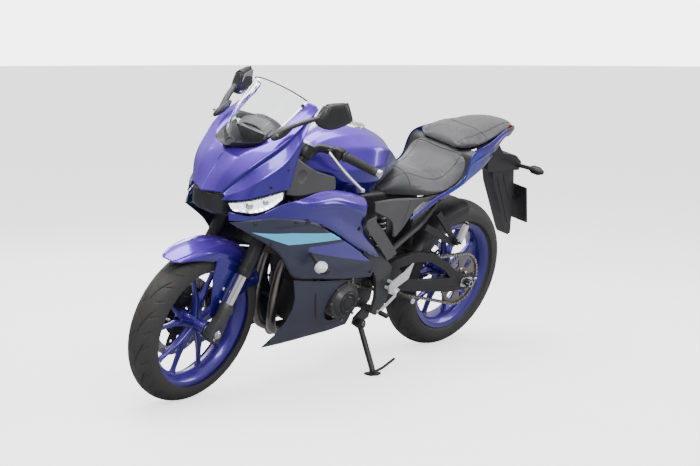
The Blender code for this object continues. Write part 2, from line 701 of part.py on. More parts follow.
def frame_stays():
    """Round stays that carry the engine, tank, seats and panels, each cut to its neighbour."""
    made = []
    stem = [(1.112, 0.0, 0.790), (1.315, 0.0, 0.903)]
    made.append(tube(stem, 0.011, 1))
    hub = Vector((1.310, 0.0, 0.900))
    made.append(cross_stay(hub - Vector((0.012, 0, 0.007)), "nose_cowl", "nose_cowl", 0.007))
    made.append(stay(hub, (0.05, 0, -1), "nose_duct", 0.009))
    made.append(stay((1.216, 0.0, 0.848), (-0.29, 0, 1), "instrument", 0.008))
    made.append(stay((0.548, 0.050, 0.278), (1, 0, 0), "engine", 0.010))
    made.append(stay((0.548, -0.050, 0.278), (1, 0, 0), "engine", 0.010))
    for side in (-1, 1):
        made.append(stay((0.885, side * 0.110, 0.672), (0, -side, 0), "engine", 0.008))
        made.append(stay((1.012, side * 0.062, 0.765), (0, 0, -1), "radiator", 0.007))
        made.append(stay((0.730, side * 0.080, 0.605), (0, 0, 1), "tank", 0.009))
        made.append(stay((0.475, side * 0.080, 0.690), (0, 0, 1), "rider_seat", 0.009))
        made.append(stay((0.260, side * 0.080, 0.690), (0, 0, 1), "rider_seat", 0.009))
        made.append(stay((0.080, side * 0.060, 0.852), (0, 0, 1), "pillion_seat", 0.009))
        made.append(stay((0.075, side * 0.090, 0.853), (0, side, 0), "tail_cowl", 0.007))
        made.append(stay((0.800, side * 0.130, 0.645), (0, side, 0), "mid_cowl_" + HAND[side], 0.007))
        made.append(stay((0.600, side * 0.117, 0.685), (0, side, 0), "side_cover_" + HAND[side],
                         0.007))
        made.append(stay((0.640, side * 0.136, 0.545), (0, side, 0), "frame_cover_" + HAND[side],
                         0.006))
    return made


HAND = {1: "left", -1: "right"}
CROSS_TUBES = [  # x, z, half-length, radius
    (0.556, 0.484, 0.134, 0.016), (0.730, 0.605, 0.124, 0.013), (0.475, 0.690, 0.115, 0.011),
    (0.260, 0.704, 0.111, 0.010), (0.080, 0.852, 0.095, 0.010), (-0.120, 0.885, 0.060, 0.011),
    (0.548, 0.262, 0.134, 0.014)]


def engine():
    """The engine as one solid: crankcase, inclined cylinders, head and side covers."""
    case = [(0.640, 0.262), (0.700, 0.228), (0.900, 0.226), (0.935, 0.250), (0.940, 0.400),
            (0.900, 0.445), (0.700, 0.465), (0.640, 0.430)]
    cylinders = [(0.800, 0.440), (0.935, 0.400), (0.985, 0.560), (0.960, 0.650), (0.870, 0.690),
                 (0.835, 0.620)]
    pieces = [plate(case, 0.150), plate(cylinders, 0.180)]
    pieces.append(rod((0.785, 0.07, 0.352), (0.785, 0.168, 0.352), 0.072, 24))
    pieces.append(rod((0.785, 0.166, 0.352), (0.785, 0.188, 0.352), 0.060, 24, 0.050))
    pieces.append(rod((0.775, -0.07, 0.345), (0.775, -0.165, 0.345), 0.082, 24))
    pieces.append(rod((0.775, -0.164, 0.345), (0.775, -0.182, 0.345), 0.068, 24, 0.058))
    front_pitch = CHAIN_PITCH / (2 * math.sin(math.pi / FRONT_TEETH))
    pieces.append(rod((FRONT_SPROCKET.x, 0.07, FRONT_SPROCKET.z),
                      (FRONT_SPROCKET.x, CHAIN_Y + 0.004, FRONT_SPROCKET.z),
                      (front_pitch - CHAIN_HALF_HEIGHT) * 0.985 - CLEARANCE, 16))
    for side in (-1, 1):
        pieces.append(stay((0.905, side * 0.07, 0.290), (0, side, 0), "lower_cowl_" + HAND[side],
                           0.008))
        pieces.append(stay((0.880, side * 0.07, 0.420), (0, side, 0), "lower_cowl_" + HAND[side],
                           0.008))
    place(unite("engine", pieces), "engine", "black_metal", "chassis")


def radiator():
    lean_back = Matrix.Rotation(math.radians(-14), 4, "Y")
    core = box((0.026, 0.270, 0.200), Vector((1.045, 0, 0.620)), lean_back)
    left = box((0.032, 0.026, 0.205), Vector((1.045, 0.140, 0.620)), lean_back)
    right = box((0.032, 0.026, 0.205), Vector((1.045, -0.140, 0.620)), lean_back)
    pieces = [core, left, right]
    for side in (-1, 1):
        pieces.append(stay((1.045, side * 0.145, 0.640), (0, side, 0), "side_cowl_" + HAND[side],
                           0.007))
    place(unite("radiator", pieces), "radiator", "black_metal", "chassis")


def exhaust():
    pipes = []
    face = Vector((0.16, 0, -0.05)).normalized()
    for y in (-0.045, 0.045):
        port = Vector((0.9725, y, 0.520)) + face * (CLEARANCE * 2)
        neck = port + face * 0.012
        route = [neck, Vector((1.016, y, 0.498)), Vector((1.034, y, 0.420)),
                 Vector((1.036, y, 0.320)), Vector((1.005, y * 0.8 - 0.01, 0.232)),
                 Vector((0.930, y * 0.45 - 0.03, 0.190))]
        count = 12
        pipes.append(tube([port] + [along(route, i / count) for i in range(count + 1)],
                          0.0185, 1))
    start, end = Vector((0.500, -0.204, 0.272)), Vector((0.130, -0.216, 0.345))
    run = (end - start).normalized()
    tail = start - run * CLEARANCE
    route = [Vector((0.950, -0.032, 0.192)), Vector((0.800, -0.040, 0.186)),
             Vector((0.680, -0.058, 0.185)), Vector((0.600, -0.105, 0.188)),
             Vector((0.552, -0.158, 0.210)), tail - run * 0.020]
    pipes.append(tube([along(route, i / 10) for i in range(11)] + [tail], 0.024, 1))
    made = unite("exhaust_pipes", pipes)
    place(made, "exhaust_pipes", "dark_steel", "chassis")
    can = []
    up = Vector((-run.z, 0, run.x)).normalized()
    across = run.cross(up)
    for t, wide, tall in ((0.0, 0.030, 0.032), (0.06, 0.048, 0.058), (0.5, 0.052, 0.066),
                          (0.90, 0.050, 0.062), (1.0, 0.036, 0.046)):
        centre = start + (end - start) * t
        can.append([centre + across * wide * math.cos(a) + up * tall * math.sin(a)
                    for a in [2 * math.pi * i / 16 for i in range(16)]])
    place(loft(can), "muffler", "black_metal", "chassis")


def swingarm():
    arm = [(0.556, 0.440), (0.500, 0.458), (0.420, 0.474), (0.330, 0.476), (0.240, 0.460),
           (0.150, 0.418), (0.060, 0.356), (0.020, 0.342), (-0.052, 0.336), (-0.058, 0.300),
           (-0.020, 0.284), (0.100, 0.282), (0.350, 0.318), (0.556, 0.356), (0.588, 0.398)]
    window = [(0.445, 0.430), (0.330, 0.440), (0.240, 0.425), (0.150, 0.380), (0.110, 0.345),
              (0.250, 0.350), (0.440, 0.385)]
    pieces = []
    for side in (-1, 1):
        pieces.append(plate(arm, ARM_THICKNESS, [window],
                            Matrix.Translation((0, side * ARM_Y, 0))))
    pieces.append(rod((PIVOT.x, -ARM_Y, PIVOT.z), (PIVOT.x, ARM_Y, PIVOT.z), 0.020, 16))
    pieces.append(box((0.050, 2 * ARM_Y, 0.046), Vector((0.440, 0, 0.388))))
    pieces.append(rod((REAR_AXLE.x, -0.158, REAR_AXLE.z), (REAR_AXLE.x, 0.158, REAR_AXLE.z),
                      REAR_AXLE_RADIUS, 20))
    for side in (-1, 1):
        pieces.append(rod((0, side * (ARM_Y + 0.012), REAR_AXLE.z), (0, side * 0.157, REAR_AXLE.z),
                          0.017, 6))
    for side in (-1, 1):
        pieces.append(stay((0.283, side * ARM_Y, 0.457), (0, -side, 0), "hugger", 0.008))
    made = unite("swingarm", pieces)
    bore = rod((PIVOT.x, -0.2, PIVOT.z), (PIVOT.x, 0.2, PIVOT.z), PIVOT_BOLT_RADIUS + CLEARANCE * 2, 12)
    place(cut(made, [bore]), "swingarm", "black_metal", "chassis")


def chain_path(grow=0.0):
    """Closed path of the chain's centre line round both sprockets, pushed out by grow."""
    rear = CHAIN_PITCH / (2 * math.sin(math.pi / REAR_TEETH)) + grow
    front = CHAIN_PITCH / (2 * math.sin(math.pi / FRONT_TEETH)) + grow
    span = Vector((FRONT_SPROCKET.x - REAR_AXLE.x, FRONT_SPROCKET.z - REAR_AXLE.z))
    tilt = math.degrees(math.atan2(span.y, span.x))
    open_angle = math.degrees(math.asin((rear - front) / span.length))
    upper = 90 + tilt - open_angle
    lower = -90 + tilt + open_angle
    return (arc((FRONT_SPROCKET.x, FRONT_SPROCKET.z), front, lower, upper, 9)
            + arc((REAR_AXLE.x, REAR_AXLE.z), rear, upper, lower + 360, 21))


def chain():
    outer = chain_path(CHAIN_HALF_HEIGHT)
    inner = chain_path(-CHAIN_HALF_HEIGHT)
    place(plate(outer, CHAIN_WIDTH, [inner], Matrix.Translation((0, CHAIN_Y, 0))),
          "chain", "dark_steel", "chassis")


# Bodywork panels. Each table has one column per station from front to rear, and each column
# gives (x, z) of the panel's upper edge, its middle and its lower edge on the left flank.
MID_COWL = [
    ((1.400, 0.738), (1.398, 0.722), (1.395, 0.710)),
    ((1.330, 0.738), (1.312, 0.732), (1.305, 0.722)),
    ((1.236, 0.784), (1.225, 0.758), (1.210, 0.724)),
    ((1.130, 0.797), (1.110, 0.750), (1.090, 0.704)),
    ((1.000, 0.808), (0.985, 0.740), (0.970, 0.660)),
    ((0.885, 0.790), (0.855, 0.690), (0.795, 0.570)),
    ((0.786, 0.762), (0.790, 0.662), (0.606, 0.492)),
]
FRAME_COVER = [
    ((0.793, 0.680), (0.736, 0.694)),
    ((0.780, 0.650), (0.724, 0.668)),
    ((0.715, 0.600), (0.652, 0.618)),
    ((0.635, 0.540), (0.574, 0.558)),
    ((0.558, 0.482), (0.500, 0.500)),
]
SIDE_COWL = [
    ((1.395, 0.706), (1.390, 0.700), (1.375, 0.692)),
    ((1.270, 0.736), (1.245, 0.690), (1.225, 0.604)),
    ((1.100, 0.713), (1.105, 0.620), (1.118, 0.500)),
    ((1.000, 0.668), (0.985, 0.575), (0.980, 0.472)),
    ((0.810, 0.573), (0.810, 0.515), (0.810, 0.445)),
    ((0.630, 0.469), (0.635, 0.450), (0.640, 0.424)),
]
LOWER_COWL = [
    ((1.115, 0.487), (1.062, 0.360), (1.105, 0.185)),
    ((1.020, 0.471), (0.985, 0.340), (1.000, 0.188)),
    ((0.900, 0.452), (0.880, 0.330), (0.880, 0.196)),
    ((0.790, 0.438), (0.770, 0.320), (0.760, 0.200)),
    ((0.700, 0.424), (0.680, 0.320), (0.660, 0.212)),
]
KNEE_PANEL = [
    ((1.208, 0.962), (1.212, 0.890), (1.214, 0.812)),
    ((1.165, 0.930), (1.160, 0.870), (1.155, 0.806)),
    ((1.090, 0.890), (1.085, 0.850), (1.080, 0.812)),
    ((0.985, 0.858), (0.980, 0.836), (0.978, 0.815)),
]
SIDE_COVER = [
    ((0.762, 0.752), (0.760, 0.735), (0.752, 0.712)),
    ((0.640, 0.745), (0.640, 0.700), (0.610, 0.650)),
    ((0.520, 0.730), (0.530, 0.660), (0.545, 0.575)),
    ((0.425, 0.718), (0.428, 0.704), (0.433, 0.688)),
    ((0.325, 0.724), (0.330, 0.720), (0.340, 0.716)),
]


def side_panels(side, tag):
    def turned_in(x, z, down, share):
        return -0.034 * (1.0 - min(down / 0.22, 1.0)) ** 2 * min(max((1.20 - x) / 0.15, 0.0), 1.0)

    place(flank_patch(MID_COWL, 6, 12, 0.006, side, SKIN, turned_in), "mid_cowl_" + tag,
          "violet_paint", "chassis")
    place(flank_patch(FRAME_COVER, 2, 8, -0.005, side), "frame_cover_" + tag, "grey_plastic",
          "chassis")
    place(flank_patch(SIDE_COWL, 5, 12, 0.0, side), "side_cowl_" + tag, "navy_plastic", "chassis")
    lower = flank_patch(LOWER_COWL, 6, 10, 0.0, side)
    cover_window = rod((0.780, side * 0.04, 0.350), (0.780, side * 0.26, 0.350), 0.092, 28)
    notch = box((0.28, 0.24, 0.200), Vector((0.640, side * 0.14, 0.380)))
    lower = cut(lower, [cover_window, notch])
    place(lower, "lower_cowl_" + tag, "navy_plastic", "chassis")
    place(flank_patch(KNEE_PANEL, 3, 8, 0.026, side), "knee_panel_" + tag, "grey_plastic",
          "chassis")
    place(flank_patch(SIDE_COVER, 4, 10, -0.004, side), "side_cover_" + tag, "grey_plastic",
          "chassis")


# Nose cowl, left half: one row per line that runs from the intake back to the screen's end.
NOSE_LINES = [  # five points each, (x, y, z) from front to rear
    ((1.444, 0.000, 0.790), (1.402, 0.000, 0.866), (1.360, 0.000, 0.929), (1.284, 0.092, 0.970),
     (1.118, 0.122, 1.118)),
    ((1.432, 0.050, 0.800), (1.400, 0.062, 0.880), (1.346, 0.080, 0.936), (1.262, 0.128, 0.994),
     (1.100, 0.138, 1.112)),
    ((1.420, 0.076, 0.806), (1.384, 0.118, 0.874), (1.325, 0.148, 0.936), (1.240, 0.170, 1.004),
     (1.092, 0.151, 1.098)),
    ((1.414, 0.078, 0.798), (1.368, 0.108, 0.846), (1.314, 0.143, 0.902), (1.236, 0.170, 0.974),
     (1.108, 0.150, 1.080)),
    ((1.412, 0.086, 0.790), (1.360, 0.128, 0.826), (1.312, 0.164, 0.872), (1.245, 0.188, 0.930),
     (1.174, 0.180, 1.010)),
    ((1.418, 0.080, 0.776), (1.372, 0.130, 0.789), (1.318, 0.166, 0.809), (1.262, 0.194, 0.832),
     (1.226, 0.203, 0.838)),
]


def nose_cowl():
    """Mask round the intake and the screen: both halves are one skin, joined on the centre."""
    stations, rows_down = 8, 8
    lines = [[along(line, i / stations) for i in range(stations + 1)] for line in NOSE_LINES]
    points, faces = [], []
    wide = rows_down + 1
    for side in (1, -1):
        base = len(points)
        for i in range(stations + 1):
            across = [line[i] for line in lines]
            for k in range(wide):
                x, y, z = along(across, k / rows_down)
                points.append((x, side * max(y, 0.0), z))
        for i in range(stations):
            for k in range(rows_down):
                a = base + i * wide + k
                face = (a, a + 1, a + wide + 1, a + wide)
                faces.append(face if side < 0 else tuple(reversed(face)))
    item = mesh_object("nose", points, faces)
    work = bmesh.new()
    work.from_mesh(item.data)
    bmesh.ops.remove_doubles(work, verts=work.verts, dist=0.0001)
    bmesh.ops.recalc_face_normals(work, faces=work.faces)
    if sum(face.normal.x * face.calc_area() for face in work.faces) < 0.0:
        bmesh.ops.reverse_faces(work, faces=work.faces)
    work.to_mesh(item.data)
    work.free()
    wall = item.modifiers.new("wall", "SOLIDIFY")
    wall.thickness = SKIN
    wall.offset = -1.0
    place(bake(item), "nose_cowl", "violet_paint", "chassis")


def windscreen():
    edge = [Vector((1.356, 0.0, 0.9335)), Vector((1.320, 0.056, 0.9524)),
            Vector((1.284, 0.089, 0.9756)), Vector((1.205, 0.111, 1.045)),
            Vector((1.122, 0.1185, 1.121))]
    rows = []
    for i in range(10):
        t = i / 9
        side_point = along(edge, t)
        centre = Vector((1.356 - 0.148 * t - 0.01 * math.sin(math.pi * t), 0.0,
                         0.9335 + 0.2335 * t + 0.028 * math.sin(math.pi * t)))
        row = []
        for k in range(-5, 6):
            a = k / 5
            blend = 1.0 - math.cos(abs(a) * math.pi / 2)
            point = centre.lerp(Vector((side_point.x, 0.0, side_point.z)), blend)
            row.append((point.x, side_point.y * math.sin(a * math.pi / 2), point.z))
        rows.append(row)
    rows = rows[1:]
    place(skin(rows, 0.003, 1, (0.7, 0.0, 0.7)), "windscreen", "clear_screen", "chassis")


def nose_duct():
    """Black intake mouth and chin under the nose, down to the tip of the side cowls."""
    sections = []
    table = [  # x, half-width, top z, bottom z
        (1.438, 0.034, 0.788, 0.722), (1.425, 0.060, 0.796, 0.716), (1.395, 0.078, 0.790, 0.708),
        (1.345, 0.080, 0.786, 0.701), (1.297, 0.060, 0.781, 0.704)]
    for x, half, top, low in table:
        sections.append([Vector(p) for p in (
            (x, half, top - 0.004), (x, half * 0.4, top), (x, -half * 0.4, top),
            (x, -half, top - 0.004), (x - 0.004, -half * 0.95, low + 0.012),
            (x - 0.008, -half * 0.5, low), (x - 0.008, half * 0.5, low),
            (x - 0.004, half * 0.95, low + 0.012))])
    pieces = [loft(sections)]
    for side in (-1, 1):
        pieces.append(stay((1.330, side * 0.060, 0.772), (0, side, 0), "headlight_" + HAND[side],
                           0.008))
    place(unite("nose_duct", pieces), "nose_duct", "black_plastic", "chassis")


def headlight(side, tag):
    lens = [((1.405, 0.772), (1.400, 0.758), (1.392, 0.746)),
            ((1.350, 0.792), (1.342, 0.768), (1.335, 0.748)),
            ((1.290, 0.814), (1.287, 0.792), (1.284, 0.770)),
            ((1.244, 0.830), (1.243, 0.820), (1.242, 0.806))]
    place(flank_patch(lens, 4, 8, 0.004, side, 0.012), "headlight_" + tag, "lamp_lens", "chassis")


def instrument():
    lean_back = Matrix.Rotation(math.radians(35), 4, "Y")
    place(box((0.032, 0.150, 0.085), Vector((1.216, 0, 0.968)), lean_back), "instrument",
          "black_plastic", "chassis")


TANK = [  # x, half-width of crown, widest half-width, top z, shoulder z, bottom z, bottom's lead
    (1.020, 0.036, 0.068, 0.905, 0.846, 0.800, -0.040),
    (0.960, 0.046, 0.096, 0.950, 0.852, 0.782, -0.020),
    (0.880, 0.058, 0.134, 0.979, 0.852, 0.770, 0.000),
    (0.780, 0.078, 0.164, 0.990, 0.862, 0.764, 0.000),
    (0.680, 0.082, 0.160, 0.976, 0.866, 0.760, 0.030),
    (0.590, 0.070, 0.130, 0.936, 0.846, 0.758, 0.078),
    (0.525, 0.052, 0.098, 0.890, 0.826, 0.756, 0.112),
    (0.474, 0.032, 0.068, 0.852, 0.812, 0.756, 0.142)]

TANK_PINCH = [(0.70, 0.56), (0.86, 0.50), (1.02, 0.48)]  # x, share of width kept above the shoulder


def tank():
    sections = []
    count = 13
    for i in range(count + 1):
        x, crown, wide, top, shoulder, low, lead = along(TANK, i / count)
        pinch = smooth_between(TANK_PINCH, x)
        outline = [(0.0, top), (crown * 0.6, top - 0.004), (crown, top - 0.018),
                   ((crown + wide) * pinch, (top + shoulder) / 2 + 0.010), (wide, shoulder),
                   (wide * 0.94, (shoulder + low) / 2), (wide * 0.80, low)]
        def swept(y, z):
            return Vector((x + lead * (top - z) / (top - low), y, z))
        ring_points = [swept(y, z) for y, z in outline]
        ring_points += [swept(-y, z) for y, z in reversed(outline[1:])]
        sections.append(ring_points)
    pieces = [loft(sections)]
    for side in (-1, 1):
        pieces.append(stay((0.985, side * 0.060, 0.838), (0, side, 0), "knee_panel_" + HAND[side],
                           0.008))
    body = unite("tank", pieces)
    well = rod((CAP.x, CAP.y, CAP.z), (CAP.x, CAP.y, CAP.z + 0.05), CAP_RADIUS + CLEARANCE * 2, 24)
    place(cut(body, [well]), "tank", "violet_paint", "chassis")


def fuel_cap():
    base = CAP + Vector((0, 0, CLEARANCE))
    lid = rod(base, base + Vector((0, 0, 0.018)), CAP_RADIUS, 24)
    place(lid, "fuel_cap", "silver_metal", "fuel_cap")


SEAT = [  # x, half-width, top z, edge z, bottom z
    (0.600, 0.070, 0.740, 0.736, 0.728), (0.560, 0.096, 0.772, 0.756, 0.724),
    (0.520, 0.112, 0.802, 0.768, 0.722), (0.470, 0.126, 0.822, 0.768, 0.720),
    (0.400, 0.143, 0.806, 0.752, 0.718), (0.330, 0.152, 0.792, 0.744, 0.720),
    (0.265, 0.154, 0.800, 0.758, 0.732), (0.205, 0.156, 0.836, 0.800, 0.766),
    (0.168, 0.154, 0.880, 0.862, 0.826), (0.130, 0.136, 0.880, 0.864, 0.840)]
PILLION = [  # x, half-width, top z, edge z, bottom z
    (0.186, 0.088, 0.906, 0.898, 0.884), (0.160, 0.124, 0.934, 0.912, 0.888),
    (0.090, 0.134, 0.950, 0.920, 0.898), (0.000, 0.118, 0.963, 0.934, 0.912),
    (-0.090, 0.094, 0.973, 0.948, 0.926), (-0.165, 0.066, 0.970, 0.952, 0.934),
    (-0.216, 0.038, 0.960, 0.952, 0.939)]


def cushion(table, name):
    sections = []
    for i in range(13):
        x, wide, top, edge, low = along(table, i / 12)
        outline = [(0.0, top), (wide * 0.45, top - (top - edge) * 0.08),
                   (wide * 0.80, top - (top - edge) * 0.38), (wide, edge),
                   (wide * 0.99, (edge + low) / 2), (wide * 0.90, low)]
        points = [Vector((x, y, z)) for y, z in outline]
        points += [Vector((x, -y, z)) for y, z in reversed(outline[1:])]
        sections.append(points)
    place(loft(sections), name, "seat_vinyl", "chassis")


TAIL = [  # x, half-width, side's lower z, side's upper z
    (0.470, 0.154, 0.632, 0.643), (0.350, 0.163, 0.692, 0.716), (0.270, 0.168, 0.728, 0.748),
    (0.205, 0.170, 0.757, 0.788), (0.172, 0.168, 0.774, 0.880), (0.060, 0.154, 0.826, 0.914),
    (-0.080, 0.112, 0.908, 0.946), (-0.155, 0.086, 0.914, 0.948), (-0.222, 0.052, 0.919, 0.944)]


def tail_cowl():
    """Tail side panels, joined behind the seat rails by the tail's end tray."""
    wall = 0.004
    pieces = []
    for side in (-1, 1):
        sections = []
        for i in range(13):
            x, wide, low, high = along(TAIL, i / 12)
            sections.append([Vector((x, side * y, z)) for y, z in (
                (wide - 0.004, high), (wide - 0.004 - wall, high), (wide - wall, (low + high) / 2),
                (wide - wall - 0.003, low), (wide - 0.003, low), (wide, (low + high) / 2))])
        pieces.append(loft(sections))
    tray = []
    for share in (0.82, 0.91, 1.0):
        x, wide, low, high = along(TAIL, share)
        tray.append([Vector((x + (0.0005 if share == 1.0 else 0.0), y, z)) for y, z in (
            (wide - 0.005, low + 0.003), (wide - 0.005, low + 0.008), (0.005 - wide, low + 0.008),
            (0.005 - wide, low + 0.003))])
    pieces.append(loft(tray))
    place(unite("tail_cowl", pieces), "tail_cowl", "violet_paint", "chassis")


def tail_lamp():
    sections = []
    end = TAIL[-1][0] - CLEARANCE
    for x, half, low, high in ((end, 0.046, 0.921, 0.942), (end - 0.016, 0.036, 0.924, 0.940)):
        sections.append([Vector(p) for p in ((x, half, high), (x, -half, high), (x, -half, low),
                                             (x, half, low))])
    place(loft(sections), "tail_lamp", "red_lens", "chassis")


def plate_carrier():
    """Under-tail arm with its box, splash guard, plate bracket and the rear signals."""
    seat = CROSS_TUBES[5][1] - CROSS_TUBES[5][3] - CLEARANCE
    neck = [(-0.100, seat), (-0.152, seat), (-0.205, 0.822), (-0.300, 0.806), (-0.345, 0.776),
            (-0.340, 0.740), (-0.130, 0.745), (-0.116, 0.760), (-0.112, 0.826)]
    guard = [(-0.166, 0.744), (-0.190, 0.690), (-0.352, 0.462), (-0.368, 0.446), (-0.385, 0.452),
             (-0.345, 0.640), (-0.310, 0.755)]
    pieces = [plate(neck, 0.072), plate(guard, 0.058)]
    flat = [(-0.368, 0.668), (-0.378, 0.668), (-0.436, 0.508), (-0.426, 0.508)]
    pieces.append(plate(flat, 0.140))
    pieces.append(box((0.075, 0.044, 0.020), Vector((-0.352, 0, 0.610))))
    for side in (-1, 1):
        pieces.append(tube([(-0.320, side * 0.020, 0.762), (-0.326, side * 0.100, 0.768)],
                           0.009, 1))
        lens = []
        for t, wide, tall in ((0.0, 0.008, 0.009), (0.25, 0.019, 0.018), (0.7, 0.020, 0.018),
                              (1.0, 0.007, 0.008)):
            centre = Vector((-0.326 - 0.004 * t, side * (0.096 + 0.068 * t), 0.768))
            lens.append([centre + Vector((wide * math.cos(a), 0, tall * math.sin(a)))
                         for a in [2 * math.pi * i / 10 for i in range(10)]])
        pieces.append(loft(lens))
    place(unite("plate_carrier", pieces), "plate_carrier", "black_plastic", "chassis")


def front_signal(side, tag):
    tip = Vector((1.058, side * 0.252, 0.556))
    away = Vector((0.30, -side, 0.90))
    stem = stay(tip, away, "side_cowl_" + tag, 0.009)
    lens = []
    for t, wide, tall in ((0.0, 0.012, 0.010), (0.3, 0.028, 0.020), (0.7, 0.026, 0.018),
                          (1.0, 0.008, 0.008)):
        centre = Vector((1.062 - 0.012 * t, side * (0.240 + 0.052 * t), 0.556 - 0.010 * t))
        lens.append([centre + Vector((wide * math.cos(a), 0, tall * math.sin(a)))
                     for a in [2 * math.pi * i / 12 for i in range(12)]])
    place(unite("front_signal_" + tag, [stem, loft(lens)]), "front_signal_" + tag,
          "black_plastic", "chassis")


def mirror(side, tag):
    """Mirror folded back: base on the cowl, stalk and shell."""
    base_front = Vector((1.289, side * 0.143, 1.006))
    base_rear = Vector((1.222, side * 0.150, 1.044))
    pivot = Vector((1.258, side * 0.148, 1.028))
    root = Vector((1.152, side * 0.211, 1.090))
    tip = Vector((1.042, side * 0.250, 1.106))
    down = (0.0, 0.0, -1.0)
    pieces = [tube([base_front, base_rear], 0.012, 1), tube([pivot, root.lerp(tip, 0.1)], 0.0085, 1)]
    for share in (0.25, 0.75):
        pieces.append(stay(base_front.lerp(base_rear, share), down, "nose_cowl", 0.008))
    run = (tip - root).normalized()
    across = run.cross(Vector((0, 0, 1))).normalized()
    shell = []
    for t, tall, deep in ((0.0, 0.030, 0.010), (0.15, 0.040, 0.021), (0.60, 0.045, 0.022),
                          (0.90, 0.047, 0.015), (1.0, 0.044, 0.006)):
        centre = root.lerp(tip, t)
        shell.append([centre + across * deep * math.cos(a) + Vector((0, 0, tall * math.sin(a)))
                      for a in [2 * math.pi * i / 12 for i in range(12)]])
    place(unite("mirror_" + tag, pieces + [loft(shell)]), "mirror_" + tag, "black_plastic",
          "chassis")


def footrest(side, tag):
    """Rider's footrest bracket with its heel guard, peg and foot control."""
    y = side * 0.172
    guard = [(0.424, 0.462), (0.470, 0.430), (0.520, 0.405), (0.548, 0.380), (0.540, 0.352),
             (0.500, 0.338), (0.478, 0.360), (0.500, 0.372), (0.440, 0.400)]
    pieces = [plate(guard, 0.006, (), Matrix.Translation((0, y, 0)))]
    pieces.append(rod((0.505, side * 0.160, 0.352), (0.500, side * 0.265, 0.348), 0.0105, 12))
    control = [(0.505, side * 0.186, 0.352), (0.560, side * 0.188, 0.315),
               (0.600, side * 0.190, 0.290)]
    pieces.append(tube(control, 0.006, 1))
    pieces.append(rod((0.600, side * 0.184, 0.290), (0.600, side * 0.232, 0.290), 0.008, 10))
    for x, z in ((0.535, 0.368), (0.525, 0.392)):
        pieces.append(stay((x, y, z), (0, -side, 0), "frame", 0.007))
    place(unite("footrest_" + tag, pieces), "footrest_" + tag, "silver_metal", "chassis")


def passenger_peg(side, tag):
    y = side * 0.140
    arm = [(0.281, 0.652), (0.302, 0.636), (0.185, 0.530), (0.348, 0.604), (0.362, 0.581),
           (0.153, 0.488), (0.128, 0.505)]
    pieces = [plate(arm, 0.010, (), Matrix.Translation((0, y, 0)))]
    pieces.append(rod((0.150, y - side * 0.004, 0.512), (0.150, y + side * 0.020, 0.512), 0.014, 12))
    for x, z in ((0.345, 0.595), (0.288, 0.637)):
        pieces.append(stay((x, y, z), (0, -side, 0), "frame", 0.006))
    pieces.append(box((0.018, 0.022, 0.090), Vector((0.134, y + side * 0.020, 0.550)),
                      Matrix.Rotation(math.radians(-20), 4, "Y")))
    place(unite("passenger_peg_" + tag, pieces), "passenger_peg_" + tag, "black_metal", "chassis")


def hugger():
    rows = []
    for i in range(9):
        angle = math.radians(2.0 + 68.0 * i / 8)
        row = []
        for across, over in ((0.080, -0.030), (0.079, -0.006), (0.056, 0.009), (0.0, 0.013)):
            r = REAR_RADIUS + over
            row.append((r * math.sin(angle), across, REAR_RADIUS + r * math.cos(angle)))
        rows.append(row + [(x, -y, z) for x, y, z in reversed(row[:-1])])
    place(skin(rows, 0.003, 1, (0.0, 0.0, 1.0)), "hugger", "black_plastic", "chassis")


def rear_shock():
    middle = Vector((0.462, 0.0, 0.550))
    axis = Vector((0.085, 0.0, 1.0)).normalized()
    pieces = [stay(middle, axis, "frame", 0.014), stay(middle, -axis, "swingarm", 0.014),
              rod(middle - axis * 0.075, middle + axis * 0.090, 0.030, 18)]
    place(unite("rear_shock", pieces), "rear_shock", "dark_steel", "chassis")


def rear_sprocket():
    pitch = CHAIN_PITCH / (2 * math.sin(math.pi / REAR_TEETH))
    root = pitch - CHAIN_HALF_HEIGHT - 0.0055
    tip = pitch - CHAIN_HALF_HEIGHT - 0.002
    outline = []
    for i in range(REAR_TEETH):
        for share, r in ((0.0, tip), (0.5, root)):
            angle = 2 * math.pi * (i + share) / REAR_TEETH
            outline.append((REAR_AXLE.x + r * math.cos(angle), REAR_AXLE.z + r * math.sin(angle)))
    holes = [arc((REAR_AXLE.x, REAR_AXLE.z), 0.030, 360, 0, 17)[:-1]]
    for i in range(6):
        a = 2 * math.pi * i / 6
        centre = (REAR_AXLE.x + 0.072 * math.cos(a), REAR_AXLE.z + 0.072 * math.sin(a))
        holes.append(arc(centre, 0.013, 360, 0, 9)[:-1])
    place(plate(outline, 0.007, holes, Matrix.Translation((0, CHAIN_Y, 0))), "rear_sprocket",
          "silver_metal", "rear_wheel")


def side_stand(rig_matrix):
    """Side stand in its parked place: its foot lies flat on the ground under the lean."""
    back = rig_matrix.inverted()
    foot_world = Vector((FOOT_X, FOOT_Y, 0.0))
    sole = []
    for level in (0.0, 0.008):
        sole.append([back @ (foot_world + Vector((x, y, level))) for x, y in
                     ((-0.022, -0.020), (0.024, -0.022), (0.030, 0.016), (0.004, 0.030),
                      (-0.024, 0.022))])
    foot = back @ (foot_world + Vector((0, 0, 0.006)))
    pivot = STAND_PIVOT
    knee = foot.lerp(pivot, 0.10) + Vector((0, 0.004, 0.0))
    leg = tube([pivot + Vector((0.0, 0.006, -0.010)), knee, foot], 0.0115, 2)
    tang_end = back @ (foot_world + Vector((-0.150, -0.020, 0.034)))
    tang = tube([foot, back @ (foot_world + Vector((-0.060, -0.004, 0.014))), tang_end], 0.0055, 1)
    eye = rod(pivot - STAND_AXIS * 0.0085, pivot + STAND_AXIS * 0.016, 0.019, 18)
    made = unite("side_stand", [eye, leg, loft(sole), tang])
    bore = rod(pivot - STAND_AXIS * 0.05, pivot + STAND_AXIS * 0.05,
               STAND_BOLT_RADIUS + CLEARANCE, 14)
    place(cut(made, [bore]), "side_stand", "black_metal", "side_stand")


BODIES = {}


